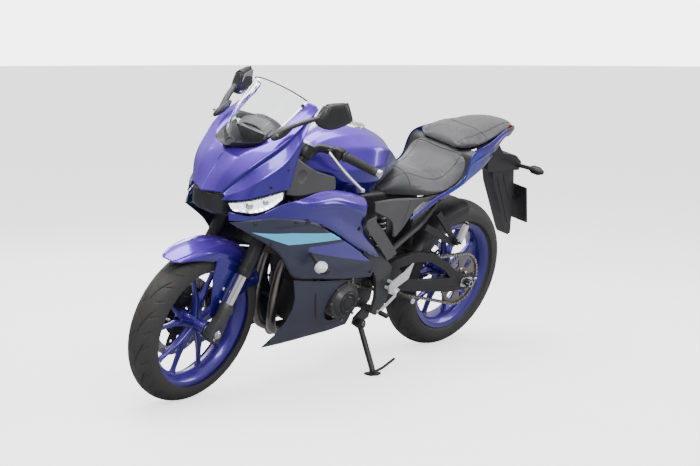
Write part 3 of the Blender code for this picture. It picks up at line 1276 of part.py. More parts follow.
def add_body(name, origin, parent=None, turn=None):
    """An empty at a body's joint; its children keep the upright machine's coordinates."""
    empty = bpy.data.objects.new(name + "_body", None)
    PARTS.objects.link(empty)
    if parent:
        holder, holder_origin = BODIES[parent]
        empty.parent = holder
        empty.location = origin - holder_origin
    if turn is not None:
        empty.rotation_mode = "QUATERNION"
        empty.rotation_quaternion = turn
    BODIES[name] = (empty, origin)
    return empty


def lowest(item):
    """The lowest world point of a solid."""
    points = [item.matrix_world @ vertex.co for vertex in item.data.vertices]
    return min(points, key=lambda point: point.z)


def lean_onto_stand(rig):
    """Lean the machine and set both tyres on the ground, whatever the steering does."""
    front = bpy.data.objects["front_tyre"]
    rear = bpy.data.objects["rear_tyre"]
    pitch = 0.0
    for _ in range(6):
        rig.rotation_euler = (-LEAN, pitch, 0.0)
        bpy.context.view_layer.update()
        low_front, low_rear = lowest(front), lowest(rear)
        pitch += math.atan2(low_front.z - low_rear.z, low_front.x - low_rear.x)
    rig.location.z -= low_rear.z
    bpy.context.view_layer.update()
    return rig.matrix_world.copy()


def centre_on_origin(rig):
    """Shift the machine so that the origin is the bottom centre of its box."""
    bpy.context.view_layer.update()
    corners = [item.matrix_world @ vertex.co for item in PARTS.objects if item.type == "MESH"
               for vertex in item.data.vertices]
    for axis in (0, 1):
        values = [corner[axis] for corner in corners]
        rig.location[axis] -= (min(values) + max(values)) / 2
    bpy.context.view_layer.update()


def build():
    clear_scene()
    rig = add_body("chassis", Vector((0, 0, 0)))
    add_body("steering", fork_point(AXLE_U + 0.5), "chassis",
             Matrix.Rotation(STEER, 3, STEERING_AXIS).to_quaternion())
    add_body("front_wheel", FRONT_AXLE, "steering")
    add_body("rear_wheel", REAR_AXLE, "chassis")
    add_body("side_stand", STAND_PIVOT, "chassis")
    add_body("fuel_cap", CAP + Vector((CAP_RADIUS, 0, CAP_HINGE_RISE)), "chassis")

    tyre("front_tyre", "front_wheel", FRONT_AXLE, FRONT_RADIUS, FRONT_TYRE_WIDTH, FRONT_RIM_HALF)
    tyre("rear_tyre", "rear_wheel", REAR_AXLE, REAR_RADIUS, REAR_TYRE_WIDTH, REAR_RIM_HALF)
    rig_matrix = lean_onto_stand(rig)
    side_stand(rig_matrix)

    front_face = FORK_Y - 0.022 - RUNNING_GAP
    rim("front_rim", "front_wheel", FRONT_AXLE, FRONT_RIM_HALF, FRONT_HUB_RADIUS,
        FRONT_AXLE_RADIUS, (FRONT_DISC_Y + DISC_THICKNESS / 2 + CLEARANCE, front_face), 0.018)
    disc("front_disc", "front_wheel", FRONT_AXLE, FRONT_DISC_RADIUS, FRONT_DISC_Y, 0.070, 0.022)
    rim("rear_rim", "rear_wheel", REAR_AXLE, REAR_RIM_HALF, REAR_HUB_RADIUS, REAR_AXLE_RADIUS,
        (REAR_DISC_Y + DISC_THICKNESS / 2 + CLEARANCE, CHAIN_Y - 0.0035 - CLEARANCE), 0.026)
    disc("rear_disc", "rear_wheel", REAR_AXLE, REAR_DISC_RADIUS, REAR_DISC_Y, 0.056, 0.030)
    rear_sprocket()
    for side, tag in ((1, "left"), (-1, "right")):
        side_panels(side, tag)
        headlight(side, tag)
        front_signal(side, tag)
    cushion(SEAT, "rider_seat")
    cushion(PILLION, "pillion_seat")
    tail_cowl()
    tail_lamp()
    nose_cowl()
    windscreen()
    nose_duct()
    instrument()
    front_fender()
    hugger()
    fork_yokes()
    fork_lowers()
    tank()
    fuel_cap()
    engine()
    radiator()
    exhaust()
    swingarm()
    chain()
    frame()
    rear_shock()
    plate_carrier()
    for side, tag in ((1, "left"), (-1, "right")):
        handlebar(side, tag)
        mirror(side, tag)
        footrest(side, tag)
        passenger_peg(side, tag)
    centre_on_origin(rig)


build()
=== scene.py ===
"""Sport motorcycle on its side stand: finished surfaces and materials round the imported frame.

Every surface is worked out in the upright machine's own coordinates: x = 0 at the rear axle and
forward, y to the rider's left, z = 0 on the ground.  RIG and STEERED carry them to the parked,
leaning machine and to its front wheel, which is turned a little.
"""

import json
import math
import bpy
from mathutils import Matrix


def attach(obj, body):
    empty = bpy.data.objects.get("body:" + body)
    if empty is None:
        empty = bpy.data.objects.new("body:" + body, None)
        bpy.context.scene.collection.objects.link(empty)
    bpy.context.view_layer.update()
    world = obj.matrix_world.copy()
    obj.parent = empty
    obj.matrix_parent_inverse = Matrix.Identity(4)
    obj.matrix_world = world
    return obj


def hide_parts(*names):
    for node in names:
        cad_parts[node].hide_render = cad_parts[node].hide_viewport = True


bl_info = {
    "name": "Sport Motorcycle Dresser",
    "version": (1, 0, 0),
    "blender": (4, 5, 0),
    "location": "3D View > Sidebar > Motorcycle",
    "description": "Builds the tyres, wheels, bodywork, seats and fittings of a parked sport motorcycle",
    "category": "Add Mesh",
}

import bmesh
import bpy
import numpy as np
from mathutils import Matrix, Vector
from mathutils.bvhtree import BVHTree

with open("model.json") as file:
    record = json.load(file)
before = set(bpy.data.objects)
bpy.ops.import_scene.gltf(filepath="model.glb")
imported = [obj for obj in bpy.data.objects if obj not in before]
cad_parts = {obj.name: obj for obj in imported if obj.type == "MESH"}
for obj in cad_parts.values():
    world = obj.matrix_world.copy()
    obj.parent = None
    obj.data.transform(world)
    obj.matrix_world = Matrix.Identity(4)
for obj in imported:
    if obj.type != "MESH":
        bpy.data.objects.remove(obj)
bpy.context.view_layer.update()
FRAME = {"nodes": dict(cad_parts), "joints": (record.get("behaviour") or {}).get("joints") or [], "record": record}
JOINTS = {joint["name"]: joint for joint in FRAME["joints"]}

RAKE = math.radians(25.0)
TRAIL = 0.095
WHEELBASE = 1.380
REAR_RADIUS, FRONT_RADIUS = 0.314, 0.293
REAR_AXLE = np.array([0.0, 0.0, REAR_RADIUS])
FRONT_AXLE = np.array([WHEELBASE, 0.0, FRONT_RADIUS])
STEERING_AXIS = Vector((-math.sin(RAKE), 0.0, math.cos(RAKE)))
SIDES = {"left": 1, "right": -1}


def placed_by(spin, axle):
    """Matrix from upright coordinates to the world, from a wheel's joint and the steering's axis."""
    across = Vector(JOINTS[spin]["axis"]).normalized()
    up = Vector(JOINTS["steering"]["axis"]).normalized()
    up = (up - across * up.dot(across)).normalized()
    world = Matrix((across, up, across.cross(up))).transposed()
    own = Matrix((Vector((0, 1, 0)), STEERING_AXIS, Vector((0, 1, 0)).cross(STEERING_AXIS))).transposed()
    turn = world @ own.transposed()
    return Matrix.Translation(Vector(JOINTS[spin]["pos_m"]) - turn @ Vector(axle)) @ turn.to_4x4()


RIG = placed_by("rear_wheel_spin", REAR_AXLE)
STEERED = placed_by("front_wheel_spin", FRONT_AXLE)
HOLDERS = {"steering": STEERED, "front_wheel": STEERED}
STEERING_FOOT = np.array([WHEELBASE + TRAIL, 0.0, 0.0])
FORK_OFFSET = FRONT_RADIUS * math.sin(RAKE) - TRAIL * math.cos(RAKE)
AXLE_U = FRONT_RADIUS * math.cos(RAKE) + TRAIL * math.sin(RAKE)
FORK_Y = 0.097


def fork_point(u, y=0.0, forward=0.0):
    """Point u up the steering axis, y to the left and so far ahead of it."""
    u, y, forward = np.broadcast_arrays(u, y, forward)
    return np.stack([STEERING_FOOT[0] - u * math.sin(RAKE) + forward * math.cos(RAKE), y + 0.0 * u,
                     u * math.cos(RAKE) + forward * math.sin(RAKE)], -1)


# ---------------------------------------------------------------- surfaces

def eased(table, values):
    """Second and later columns of a table at the given places, by a cubic through its rows.

    Between rows i and i + 1 the value is the Hermite cubic whose end slopes are the secants
    through each row's two neighbours.
    """
    table = np.asarray(table, float)
    x, y = table[:, 0], table[:, 1:]
    order = np.argsort(x)
    x, y = x[order], y[order]
    slopes = np.empty_like(y)
    slopes[1:-1] = (y[2:] - y[:-2]) / (x[2:] - x[:-2])[:, None]
    slopes[0] = (y[1] - y[0]) / (x[1] - x[0])
    slopes[-1] = (y[-1] - y[-2]) / (x[-1] - x[-2])
    values = np.clip(np.asarray(values, float), x[0], x[-1])
    i = np.clip(np.searchsorted(x, values, side="right") - 1, 0, len(x) - 2)
    span = (x[i + 1] - x[i])
    t = ((values - x[i]) / span)[..., None]
    span = span[..., None]
    return (y[i] * (1 + 2 * t) * (1 - t) ** 2 + slopes[i] * span * t * (1 - t) ** 2
            + y[i + 1] * t * t * (3 - 2 * t) + slopes[i + 1] * span * t * t * (t - 1))


def row_at(points, shares):
    """Points at shares 0 to 1 of a row of control points, by the same cubic."""
    points = np.asarray(points, float)
    flat = points.reshape(len(points), -1)
    places = np.asarray(shares, float) * (len(points) - 1)
    made = eased(np.column_stack([np.arange(len(points)), flat]), places)
    return made.reshape(places.shape + points.shape[1:])


def net(control, rows, columns):
    """Fine grid through a coarse one: the cubic along its first side, then along its second."""
    control = np.asarray(control, float)
    first = row_at(control, np.linspace(0, 1, rows))
    return row_at(first.swapaxes(0, 1), np.linspace(0, 1, columns)).swapaxes(0, 1)


def sizes():
    """The sizes set in the panel."""
    return bpy.context.scene.motorcycle_sizes


def colours():
    """The colours set in the panel."""
    return bpy.context.scene.motorcycle_colours


FLANK_HEIGHTS = [(0.16, 0.070), (0.22, 0.112), (0.30, 0.148), (0.38, 0.171), (0.46, 0.190),
                 (0.55, 0.205), (0.65, 0.216), (0.74, 0.222), (0.82, 0.216), (0.92, 0.202),
                 (1.02, 0.186), (1.12, 0.152)]
FLANK_LENGTHS = [(0.45, 0.66), (0.56, 0.75), (0.66, 0.84), (0.78, 0.93), (0.95, 1.00),
                 (1.14, 1.00), (1.24, 0.94), (1.32, 0.79), (1.38, 0.60), (1.42, 0.38), (1.46, 0.10)]


def flank(x, z):
    """Half-width of the bodywork: one cubic of the height times one of the place along."""
    return eased(FLANK_HEIGHTS, z)[..., 0] * eased(FLANK_LENGTHS, x)[..., 0]


def creased(lines, columns, soft):
    """Grid straight across between the control points of each row, with the breaks softened.

    A point is the mean of the straight-lined row at 9 shifted places, with weights that fall off
    linearly to a tenth at soft of one control step.
    """
    last = lines.shape[1] - 1
    places = np.linspace(0, last, columns)
    near_end = np.minimum(places, last - places)
    shifts = np.linspace(-1, 1, 9)
    weights = 1.0 - np.abs(shifts) * 0.9
    total = np.zeros((len(lines), columns, 3))
    for shift, weight in zip(shifts, weights):
        moved = np.clip(places + shift * np.minimum(soft, near_end), 0, last)
        i = np.clip(np.floor(moved).astype(int), 0, last - 1)
        t = (moved - i)[None, :, None]
        total += weight * (lines[:, i] * (1 - t) + lines[:, i + 1] * t)
    return total / weights.sum()


def unit(vectors):
    """Vectors divided by their lengths."""
    return vectors / np.maximum(np.linalg.norm(vectors, axis=-1, keepdims=True), 1e-12)


def normals(grid):
    """Cross product of a grid's two central differences, made unit."""
    return unit(np.cross(np.gradient(grid, axis=0), np.gradient(grid, axis=1)))


def shell(grid, thickness, facing, rim=0.5):
    """Closed wall under a grid: the grid, its copy pushed back along the normals and a round rim.

    facing is the direction in which the outer face looks.  Each row becomes one loop, out along
    the outer face and back along the inner one, and the two end rows close on the middle line.
    """
    n = normals(grid)
    if (n * np.asarray(facing, float)).sum() < 0:
        n = -n
    inner = grid - n * thickness
    middle = (grid + inner) / 2
    half = thickness * rim

    def pushed(line, beyond):
        return line + unit(line - beyond) * half

    left = pushed(middle[:, :1], middle[:, 1:2])
    right = pushed(middle[:, -1:], middle[:, -2:-1])
    loops = np.concatenate([grid, right, inner[:, ::-1], left], axis=1)

    def closing(row, beyond):
        line = pushed(middle[row], middle[beyond])
        return np.concatenate([line, line[-1:], line[::-1], line[:1]])[None]

    return np.concatenate([closing(0, 1), loops, closing(-1, -2)])


def capped(rings):
    """Rings with their middle points added at both ends, so that the tube they make is closed."""
    first = np.repeat(rings[0].mean(0)[None], rings.shape[1], 0)[None]
    last = np.repeat(rings[-1].mean(0)[None], rings.shape[1], 0)[None]
    return np.concatenate([first, rings, last])


def circle(sides, power=2.0):
    """Unit superellipse: cosine and sine, each raised to 2 / power with its sign kept."""
    a = np.linspace(0, 2 * math.pi, sides, endpoint=False)
    c, s = np.cos(a), np.sin(a)
    return np.stack([np.sign(c) * np.abs(c) ** (2 / power), np.sign(s) * np.abs(s) ** (2 / power)], 1)


def swept(path, across, tall, up=(0, 0, 1), sides=20, power=2.0):
    """Tube along a path: a superellipse, half-widths across and tall, square to the path's run.

    Its two directions are up x run and run x that.  Widths may be single values or one each point.
    """
    path = np.asarray(path, float)
    run = unit(np.gradient(path, axis=0))
    side = unit(np.cross(np.broadcast_to(np.asarray(up, float), path.shape), run))
    top = np.cross(run, side)
    outline = circle(sides, power)
    across = np.broadcast_to(np.asarray(across, float), len(path))[:, None, None]
    tall = np.broadcast_to(np.asarray(tall, float), len(path))[:, None, None]
    rings = (path[:, None] + side[:, None] * outline[None, :, :1] * across
             + top[:, None] * outline[None, :, 1:] * tall)
    return capped(rings)


def turned(profile, centre, axis=(0, 1, 0), steps=48, closed=False):
    """Surface of revolution of (radius, height) pairs about an axis through a centre."""
    axis = unit(np.asarray(axis, float))
    first = np.array([1.0, 0.0, 0.0]) - axis * axis[0]
    if np.linalg.norm(first) < 1e-3:
        first = np.cross(axis, (0.0, 0.0, 1.0)) + np.cross(axis, (0.0, 1.0, 0.0))
        first -= axis * (first @ axis)
    first = unit(first)
    second = np.cross(axis, first)
    profile = np.asarray(profile, float)
    if closed:
        profile = np.concatenate([profile, profile[:1]])
    a = np.linspace(0, 2 * math.pi, steps, endpoint=False)
    out = np.cos(a)[:, None] * first + np.sin(a)[:, None] * second
    return (np.asarray(centre, float) + profile[:, None, :1] * out[None]
            + profile[:, None, 1:] * axis)


def block(centre, size, turn=None, round_by=0.15, sides=32):
    """Rounded box: a superellipse swept along its longest side with rounded ends."""
    size = np.asarray(size, float) / 2
    t = np.linspace(-math.pi / 2, math.pi / 2, 11)
    along = np.sign(np.sin(t)) * np.abs(np.sin(t)) ** 0.5
    wide = np.abs(np.cos(t)) ** (round_by * 2)
    wide[0] = wide[-1] = 0.0
    outline = circle(sides, 2 / max(round_by, 0.05) * 0.5 + 2)
    points = np.stack([
        along[:, None] * size[0] * np.ones(sides)[None],
        wide[:, None] * outline[None, :, 0] * size[1],
        wide[:, None] * outline[None, :, 1] * size[2]], -1)
    if turn is not None:
        points = points @ np.asarray(turn, float).T
    return points + np.asarray(centre, float)


def bolt(centre, axis, radius, height=None):
    """Button head with a six-sided socket, turned from one profile."""
    height = radius * 0.75 if height is None else height
    r = radius
    profile = [(0.0, height * 0.35), (r * 0.40, height * 0.35), (r * 0.46, height * 0.96),
               (r * 0.60, height), (r * 0.86, height * 0.78), (r, height * 0.30), (r, 0.0),
               (r * 0.96, -height * 0.25), (0.0, -height * 0.25)]
    head = turned(profile, (0, 0, 0), (0, 0, 1), 18)
    a = np.linspace(0, 2 * math.pi, 18, endpoint=False)
    hexagon = 0.88 / np.cos((a % (math.pi / 3)) - math.pi / 6)
    head[1:3, :, :2] *= hexagon[None, :, None]
    axis = Vector(axis).normalized()
    turn = np.array(axis.to_track_quat("Z", "Y").to_matrix())
    return head @ turn.T + np.asarray(centre, float)


def mirrored(grid, side):
    """The grid on the side asked for: 1 keeps it, -1 changes the sign of y."""
    return grid * np.array([1.0, side, 1.0])


def faces_of(rows, columns):
    """Index quads of a grid whose last column is joined to its first."""
    r, c = np.meshgrid(np.arange(rows - 1), np.arange(columns), indexing="ij")
    nxt = (c + 1) % columns
    return np.stack([r * columns + c, r * columns + nxt, (r + 1) * columns + nxt,
                     (r + 1) * columns + c], -1).reshape(-1, 4)


def signed_volume(points, quads):
    """Volume enclosed by quads, from the sum of their corner triple products."""
    a, b, c, d = (points[quads[:, k]] for k in range(4))
    return (np.einsum("ij,ij->i", a, np.cross(b, c)) + np.einsum("ij,ij->i", a, np.cross(c, d))).sum() / 6


def sheet(loops, thickness, origin, turn=None, bevel=0.0):
    """Flat plate with holes: closed outlines in its own plane, filled and given a thickness.

    The outlines lie in x and y, the plate is thickness deep about z = 0, and turn's columns are
    the directions of x, y and z.
    """
    curve = bpy.data.curves.new("outline", "CURVE")
    curve.dimensions = "2D"
    curve.fill_mode = "BOTH"
    curve.extrude = thickness / 2 - bevel
    curve.bevel_depth = bevel
    curve.bevel_resolution = 1 if bevel else 0
    for loop in loops:
        loop = np.asarray(loop, float)
        spline = curve.splines.new("POLY")
        spline.points.add(len(loop) - 1)
        spline.points.foreach_set("co", np.column_stack(
            [loop, np.zeros(len(loop)), np.ones(len(loop))]).ravel())
        spline.use_cyclic_u = True
    holder = bpy.data.objects.new("outline", curve)
    bpy.context.collection.objects.link(holder)
    mesh = bpy.data.meshes.new_from_object(holder)
    points = np.empty(len(mesh.vertices) * 3)
    mesh.vertices.foreach_get("co", points)
    faces = [list(face.vertices) for face in mesh.polygons]
    bpy.data.objects.remove(holder)
    bpy.data.curves.remove(curve)
    bpy.data.meshes.remove(mesh)
    points = points.reshape(-1, 3)
    if turn is not None:
        points = points @ np.asarray(turn, float).T
    return points + np.asarray(origin, float), faces


FLAT_ON_SIDE = np.array([[1.0, 0, 0], [0, 0, -1.0], [0, 1.0, 0]])  # x stays, y becomes z


def ring_of(radius, count, centre=(0.0, 0.0)):
    """Points on a circle."""
    a = np.linspace(0, 2 * math.pi, count, endpoint=False)
    return np.stack([centre[0] + radius * np.cos(a), centre[1] + radius * np.sin(a)], 1)


def rounded(points, radius=0.006, steps=4):
    """Outline with its corners rounded: each corner becomes a quadratic arc between its sides."""
    points = np.asarray(points, float)
    before, after = np.roll(points, 1, 0) - points, np.roll(points, -1, 0) - points
    reach = np.minimum(radius, 0.45 * np.minimum(np.linalg.norm(before, axis=1),
                                                 np.linalg.norm(after, axis=1)))[:, None]
    start, end = points + unit(before) * reach, points + unit(after) * reach
    t = np.linspace(0, 1, steps + 1)[None, :, None]
    arcs = (start[:, None] * (1 - t) ** 2 + points[:, None] * 2 * t * (1 - t) + end[:, None] * t * t)
    return arcs.reshape(-1, points.shape[1])


def fill(mesh, grids, weld=2e-6):
    """Put closed grids into a mesh, each with its faces outwards and its seams and poles welded."""
    all_points, all_faces, base = [], [], 0
    for grid in grids:
        if isinstance(grid, tuple):
            points, faces = grid
            quads = np.array([[f[0], f[k], f[k + 1], f[0]] for f in faces for k in range(1, len(f) - 1)])
        else:
            points, quads = grid.reshape(-1, 3), faces_of(*grid.shape[:2])
            faces = quads.tolist()
        step = -1 if signed_volume(points - points.mean(0), quads) < 0 else 1
        all_points.append(points)
        all_faces += [[index + base for index in face[::step]] for face in faces]
        base += len(points)
    mesh.from_pydata(np.concatenate(all_points).tolist(), [], all_faces)
    work = bmesh.new()
    work.from_mesh(mesh)
    bmesh.ops.remove_doubles(work, verts=work.verts, dist=weld)
    bmesh.ops.dissolve_degenerate(work, edges=work.edges, dist=weld)
    work.to_mesh(mesh)
    work.free()


def settle(item, finish, body, replaces=(), sharp=38.0):
    """Smooth an object in upright coordinates, carry it to the parked machine and let it ride."""
    mesh = item.data
    mesh.materials.clear()
    mesh.materials.append(FINISHES[finish])
    mesh.shade_smooth()
    mesh.set_sharp_from_angle(angle=math.radians(sharp))
    upright = np.empty(len(mesh.vertices) * 3, np.float32)
    mesh.vertices.foreach_get("co", upright)
    mesh.attributes.new("upright", "FLOAT_VECTOR", "POINT").data.foreach_set("vector", upright)
    mesh.transform(HOLDERS.get(body, RIG))
    mesh.update()
    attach(item, body)
    if replaces:
        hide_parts(*replaces)
    return item


def made(name, body, finish, grids, replaces=(), sharp=38.0):
    """A new piece from closed grids and sheets."""
    mesh = bpy.data.meshes.new(name)
    fill(mesh, grids)
    item = bpy.data.objects.new(name, mesh)
    bpy.context.collection.objects.link(item)
    return settle(item, finish, body, replaces, sharp)


def eased_edges(node, finish, body, width=0.0012, sharp=38.0):
    """A CAD node's merged copy with its corners rounded, in the node's place."""
    source = FRAME["nodes"][node]
    mesh = source.data.copy()
    mesh.transform(HOLDERS.get(body, RIG).inverted())
    work = bmesh.new()
    work.from_mesh(mesh)
    bmesh.ops.remove_doubles(work, verts=work.verts, dist=1e-5)
    bmesh.ops.dissolve_limit(work, angle_limit=math.radians(1.5), verts=work.verts,
                             edges=work.edges)
    work.to_mesh(mesh)
    work.free()
    item = bpy.data.objects.new(node + "_finish", mesh)
    bpy.context.collection.objects.link(item)
    settle(item, finish, body, (node,), sharp)
    if width:
        edge = item.modifiers.new("edges", "BEVEL")
        edge.width = width
        edge.segments = 2
        edge.limit_method = "ANGLE"
        edge.angle_limit = math.radians(sharp)
        edge.use_clamp_overlap = True
        edge.harden_normals = False
    return item


# ---------------------------------------------------------------- materials

def group(name, inputs, outputs):
    """An empty node group with named sockets."""
    tree = bpy.data.node_groups.new(name, "ShaderNodeTree")
    for kind, label, default in inputs:
        socket = tree.interface.new_socket(label, in_out="INPUT", socket_type="NodeSocket" + kind)
        if default is not None:
            socket.default_value = default
    for kind, label in outputs:
        tree.interface.new_socket(label, in_out="OUTPUT", socket_type="NodeSocket" + kind)
    return tree, tree.nodes.new("NodeGroupInput"), tree.nodes.new("NodeGroupOutput")


def math_node(tree, operation, *values, clamp=False):
    """A Math node; each value is a number or a socket."""
    node = tree.nodes.new("ShaderNodeMath")
    node.operation = operation
    node.use_clamp = clamp
    for slot_index, value in enumerate(values):
        if isinstance(value, (int, float)):
            node.inputs[slot_index].default_value = value
        else:
            tree.links.new(value, node.inputs[slot_index])
    return node.outputs[0]


def noise_node(tree, vector, scale, detail=3.0, roughness=0.55):
    """A noise texture's value on a vector."""
    node = tree.nodes.new("ShaderNodeTexNoise")
    node.inputs["Detail"].default_value = detail
    node.inputs["Roughness"].default_value = roughness
    tree.links.new(vector, node.inputs["Vector"])
    if isinstance(scale, (int, float)):
        node.inputs["Scale"].default_value = scale
    else:
        tree.links.new(scale, node.inputs["Scale"])
    return node.outputs[0]


def spread(tree, value, low, high, to_low=0.0, to_high=1.0):
    """Map Range from low..high to to_low..to_high, held at the ends."""
    node = tree.nodes.new("ShaderNodeMapRange")
    tree.links.new(value, node.inputs["Value"])
    for label, number in (("From Min", low), ("From Max", high), ("To Min", to_low),
                          ("To Max", to_high)):
        if isinstance(number, (int, float)):
            node.inputs[label].default_value = number
        else:
            tree.links.new(number, node.inputs[label])
    return node.outputs[0]


def grain_group():
    """Fine surface grain: two noises, one for height and one for slow changes of tone."""
    tree, start, end = group("surface grain", [("Vector", "Point", None), ("Float", "Grain Scale", 900.0),
                                               ("Float", "Tone Scale", 9.0)],
                             [("Float", "Height"), ("Float", "Tone")])
    fine = noise_node(tree, start.outputs["Point"], start.outputs["Grain Scale"], 2.0)
    slow = noise_node(tree, start.outputs["Point"], start.outputs["Tone Scale"], 4.0)
    tree.links.new(fine, end.inputs["Height"])
    tree.links.new(slow, end.inputs["Tone"])
    return tree


def dust_group():
    """Light dust: patchy noise where the surface faces up."""
    tree, start, end = group("settled dust", [("Vector", "Point", None), ("Float", "Amount", 0.2)],
                             [("Float", "Mask")])
    geometry = tree.nodes.new("ShaderNodeNewGeometry")
    split = tree.nodes.new("ShaderNodeSeparateXYZ")
    tree.links.new(geometry.outputs["Normal"], split.inputs[0])
    facing = spread(tree, split.outputs["Z"], 0.1, 1.0)
    patches = spread(tree, noise_node(tree, start.outputs["Point"], 26.0, 5.0), 0.35, 0.75)
    both = math_node(tree, "MULTIPLY", facing, patches)
    tree.links.new(math_node(tree, "MULTIPLY", both, start.outputs["Amount"], clamp=True),
                   end.inputs["Mask"])
    return tree


def band_group():
    """Tapered band on the flank: full between a lower and an upper line, cut at both ends.

    Each line is height = level + slope * x, and the ends are lines x = start + lean * z.
    """
    tree, begin, end = group(
        "flank band",
        [("Vector", "Upright", None), ("Float", "Low Level", 0.0), ("Float", "Low Slope", 0.0),
         ("Float", "High Level", 0.0), ("Float", "High Slope", 0.0), ("Float", "Rear", 0.0),
         ("Float", "Front", 0.0), ("Float", "End Lean", 0.0), ("Float", "Edge", 0.0008)],
        [("Float", "Mask")])
    split = tree.nodes.new("ShaderNodeSeparateXYZ")
    tree.links.new(begin.outputs["Upright"], split.inputs[0])
    x, z = split.outputs["X"], split.outputs["Z"]

    def step(value):
        return math_node(tree, "DIVIDE", value, begin.outputs["Edge"], clamp=True)

    def line(level, slope):
        return math_node(tree, "ADD", begin.outputs[level],
                         math_node(tree, "MULTIPLY", x, begin.outputs[slope]))

    above = step(math_node(tree, "SUBTRACT", z, line("Low Level", "Low Slope")))
    below = step(math_node(tree, "SUBTRACT", line("High Level", "High Slope"), z))
    leaned = math_node(tree, "SUBTRACT", x, math_node(tree, "MULTIPLY", z, begin.outputs["End Lean"]))
    ahead = step(math_node(tree, "SUBTRACT", leaned, begin.outputs["Rear"]))
    behind = step(math_node(tree, "SUBTRACT", begin.outputs["Front"], leaned))
    both = math_node(tree, "MULTIPLY", math_node(tree, "MULTIPLY", above, below),
                     math_node(tree, "MULTIPLY", ahead, behind))
    tree.links.new(both, end.inputs["Mask"])
    return tree


def painted_light_group():
    """Mask for painted light and shade: how far a face looks up, its normal's height, eased between level and a
    steep slope.
    """
    tree, start, end = group("upward face", [("Vector", "Point", None), ("Float", "Low", -0.20),
                                             ("Float", "High", 0.80)], [("Float", "Mask")])
    geometry = tree.nodes.new("ShaderNodeNewGeometry")
    split = tree.nodes.new("ShaderNodeSeparateXYZ")
    tree.links.new(geometry.outputs["Normal"], split.inputs[0])
    tree.links.new(spread(tree, split.outputs["Z"], start.outputs["Low"], start.outputs["High"]),
                   end.inputs["Mask"])
    return tree


def leather_group():
    """Embossed vinyl: cells with soft valleys between them, crossed by fine pores; the valley mask also darkens
    the colour in the valleys, a painted shade.
    """
    tree, start, end = group("vinyl emboss", [("Vector", "Point", None), ("Float", "Cell Scale", 420.0)],
                             [("Float", "Height"), ("Float", "Valley")])
    cells = tree.nodes.new("ShaderNodeTexVoronoi")
    cells.feature = "DISTANCE_TO_EDGE"
    tree.links.new(start.outputs["Point"], cells.inputs["Vector"])
    tree.links.new(start.outputs["Cell Scale"], cells.inputs["Scale"])
    valley = spread(tree, cells.outputs["Distance"], 0.0, 0.18)
    pores = noise_node(tree, start.outputs["Point"], 1600.0, 2.0)
    tree.links.new(math_node(tree, "ADD", valley, math_node(tree, "MULTIPLY", pores, 0.3)),
                   end.inputs["Height"])
    tree.links.new(valley, end.inputs["Valley"])
    return tree


GROUPS = {}
FINISHES = {}


class Finish:
    """A material under construction: its tree, its Principled shader and its object coordinates."""

    def __init__(self, name, colour, metallic, roughness, **sockets):
        self.material = bpy.data.materials.new(name)
        self.material.use_nodes = True
        self.tree = self.material.node_tree
        self.tree.nodes.clear()
        self.shader = self.tree.nodes.new("ShaderNodeBsdfPrincipled")
        output = self.tree.nodes.new("ShaderNodeOutputMaterial")
        self.tree.links.new(self.shader.outputs[0], output.inputs[0])
        self.shader.inputs["Base Color"].default_value = (*colour, 1.0)
        self.shader.inputs["Metallic"].default_value = metallic
        self.shader.inputs["Roughness"].default_value = roughness
        for label, value in sockets.items():
            self.shader.inputs[label.replace("_", " ")].default_value = value
        self.colour, self.roughness = colour, roughness
        coordinates = self.tree.nodes.new("ShaderNodeTexCoord")
        self.point = coordinates.outputs["Object"]
        FINISHES[name] = self.material

    def link(self, source, label):
        self.tree.links.new(source, self.shader.inputs[label])

    def use(self, name, **values):
        """Place a node group with its own values."""
        node = self.tree.nodes.new("ShaderNodeGroup")
        node.node_tree = GROUPS[name]
        if "Point" in node.inputs:
            self.tree.links.new(self.point, node.inputs["Point"])
        for label, value in values.items():
            node.inputs[label.replace("_", " ")].default_value = value
        return node

    def upright(self):
        """Coordinates of the upright machine, kept on the mesh."""
        node = self.tree.nodes.new("ShaderNodeAttribute")
        node.attribute_name = "upright"
        return node.outputs["Vector"]

    def mix(self, mask, first, second):
        """Colour mix by a mask; each colour is a tuple or a socket."""
        node = self.tree.nodes.new("ShaderNodeMix")
        node.data_type = "RGBA"
        if isinstance(mask, (int, float)):
            node.inputs[0].default_value = mask
        else:
            self.tree.links.new(mask, node.inputs[0])
        for slot_index, value in ((6, first), (7, second)):
            if isinstance(value, tuple):
                node.inputs[slot_index].default_value = (*value, 1.0)
            else:
                self.tree.links.new(value, node.inputs[slot_index])
        return node.outputs[2]

    def band(self, values, base, colour):
        """Base colour with one flank band over it."""
        node = self.use("flank band", Low_Level=values[0], Low_Slope=values[1], High_Level=values[2],
                        High_Slope=values[3], Rear=values[4], Front=values[5], End_Lean=values[6])
        self.tree.links.new(self.upright(), node.inputs["Upright"])
        return self.mix(node.outputs["Mask"], base, colour)

    def bump(self, height, strength, distance=0.0005):
        node = self.tree.nodes.new("ShaderNodeBump")
        node.inputs["Strength"].default_value = strength
        node.inputs["Distance"].default_value = distance
        self.tree.links.new(height, node.inputs["Height"])
        self.link(node.outputs["Normal"], "Normal")

    def surfaced(self, second, grain=900.0, strength=0.15, tone=9.0, rough_by=0.08, dust=0.15,
                 base=None, distance=0.0003):
        """Tone, roughness, grain and dust, which every finish but glass shares."""
        noise = self.use("surface grain", Grain_Scale=grain, Tone_Scale=tone)
        settled = self.use("settled dust", Amount=dust)
        toned = self.mix(noise.outputs["Tone"], base or self.colour, second)
        dusty = tuple(min(1.0, c * 0.5 + 0.22) for c in self.colour)
        self.link(self.mix(settled.outputs["Mask"], toned, dusty), "Base Color")
        rough = spread(self.tree, noise.outputs["Tone"], 0.3, 0.7, self.roughness - rough_by,
                       self.roughness + rough_by)
        self.link(math_node(self.tree, "ADD", rough,
                            math_node(self.tree, "MULTIPLY", settled.outputs["Mask"], 0.5),
                            clamp=True), "Roughness")
        if strength:
            self.bump(noise.outputs["Height"], strength, distance)
        return self


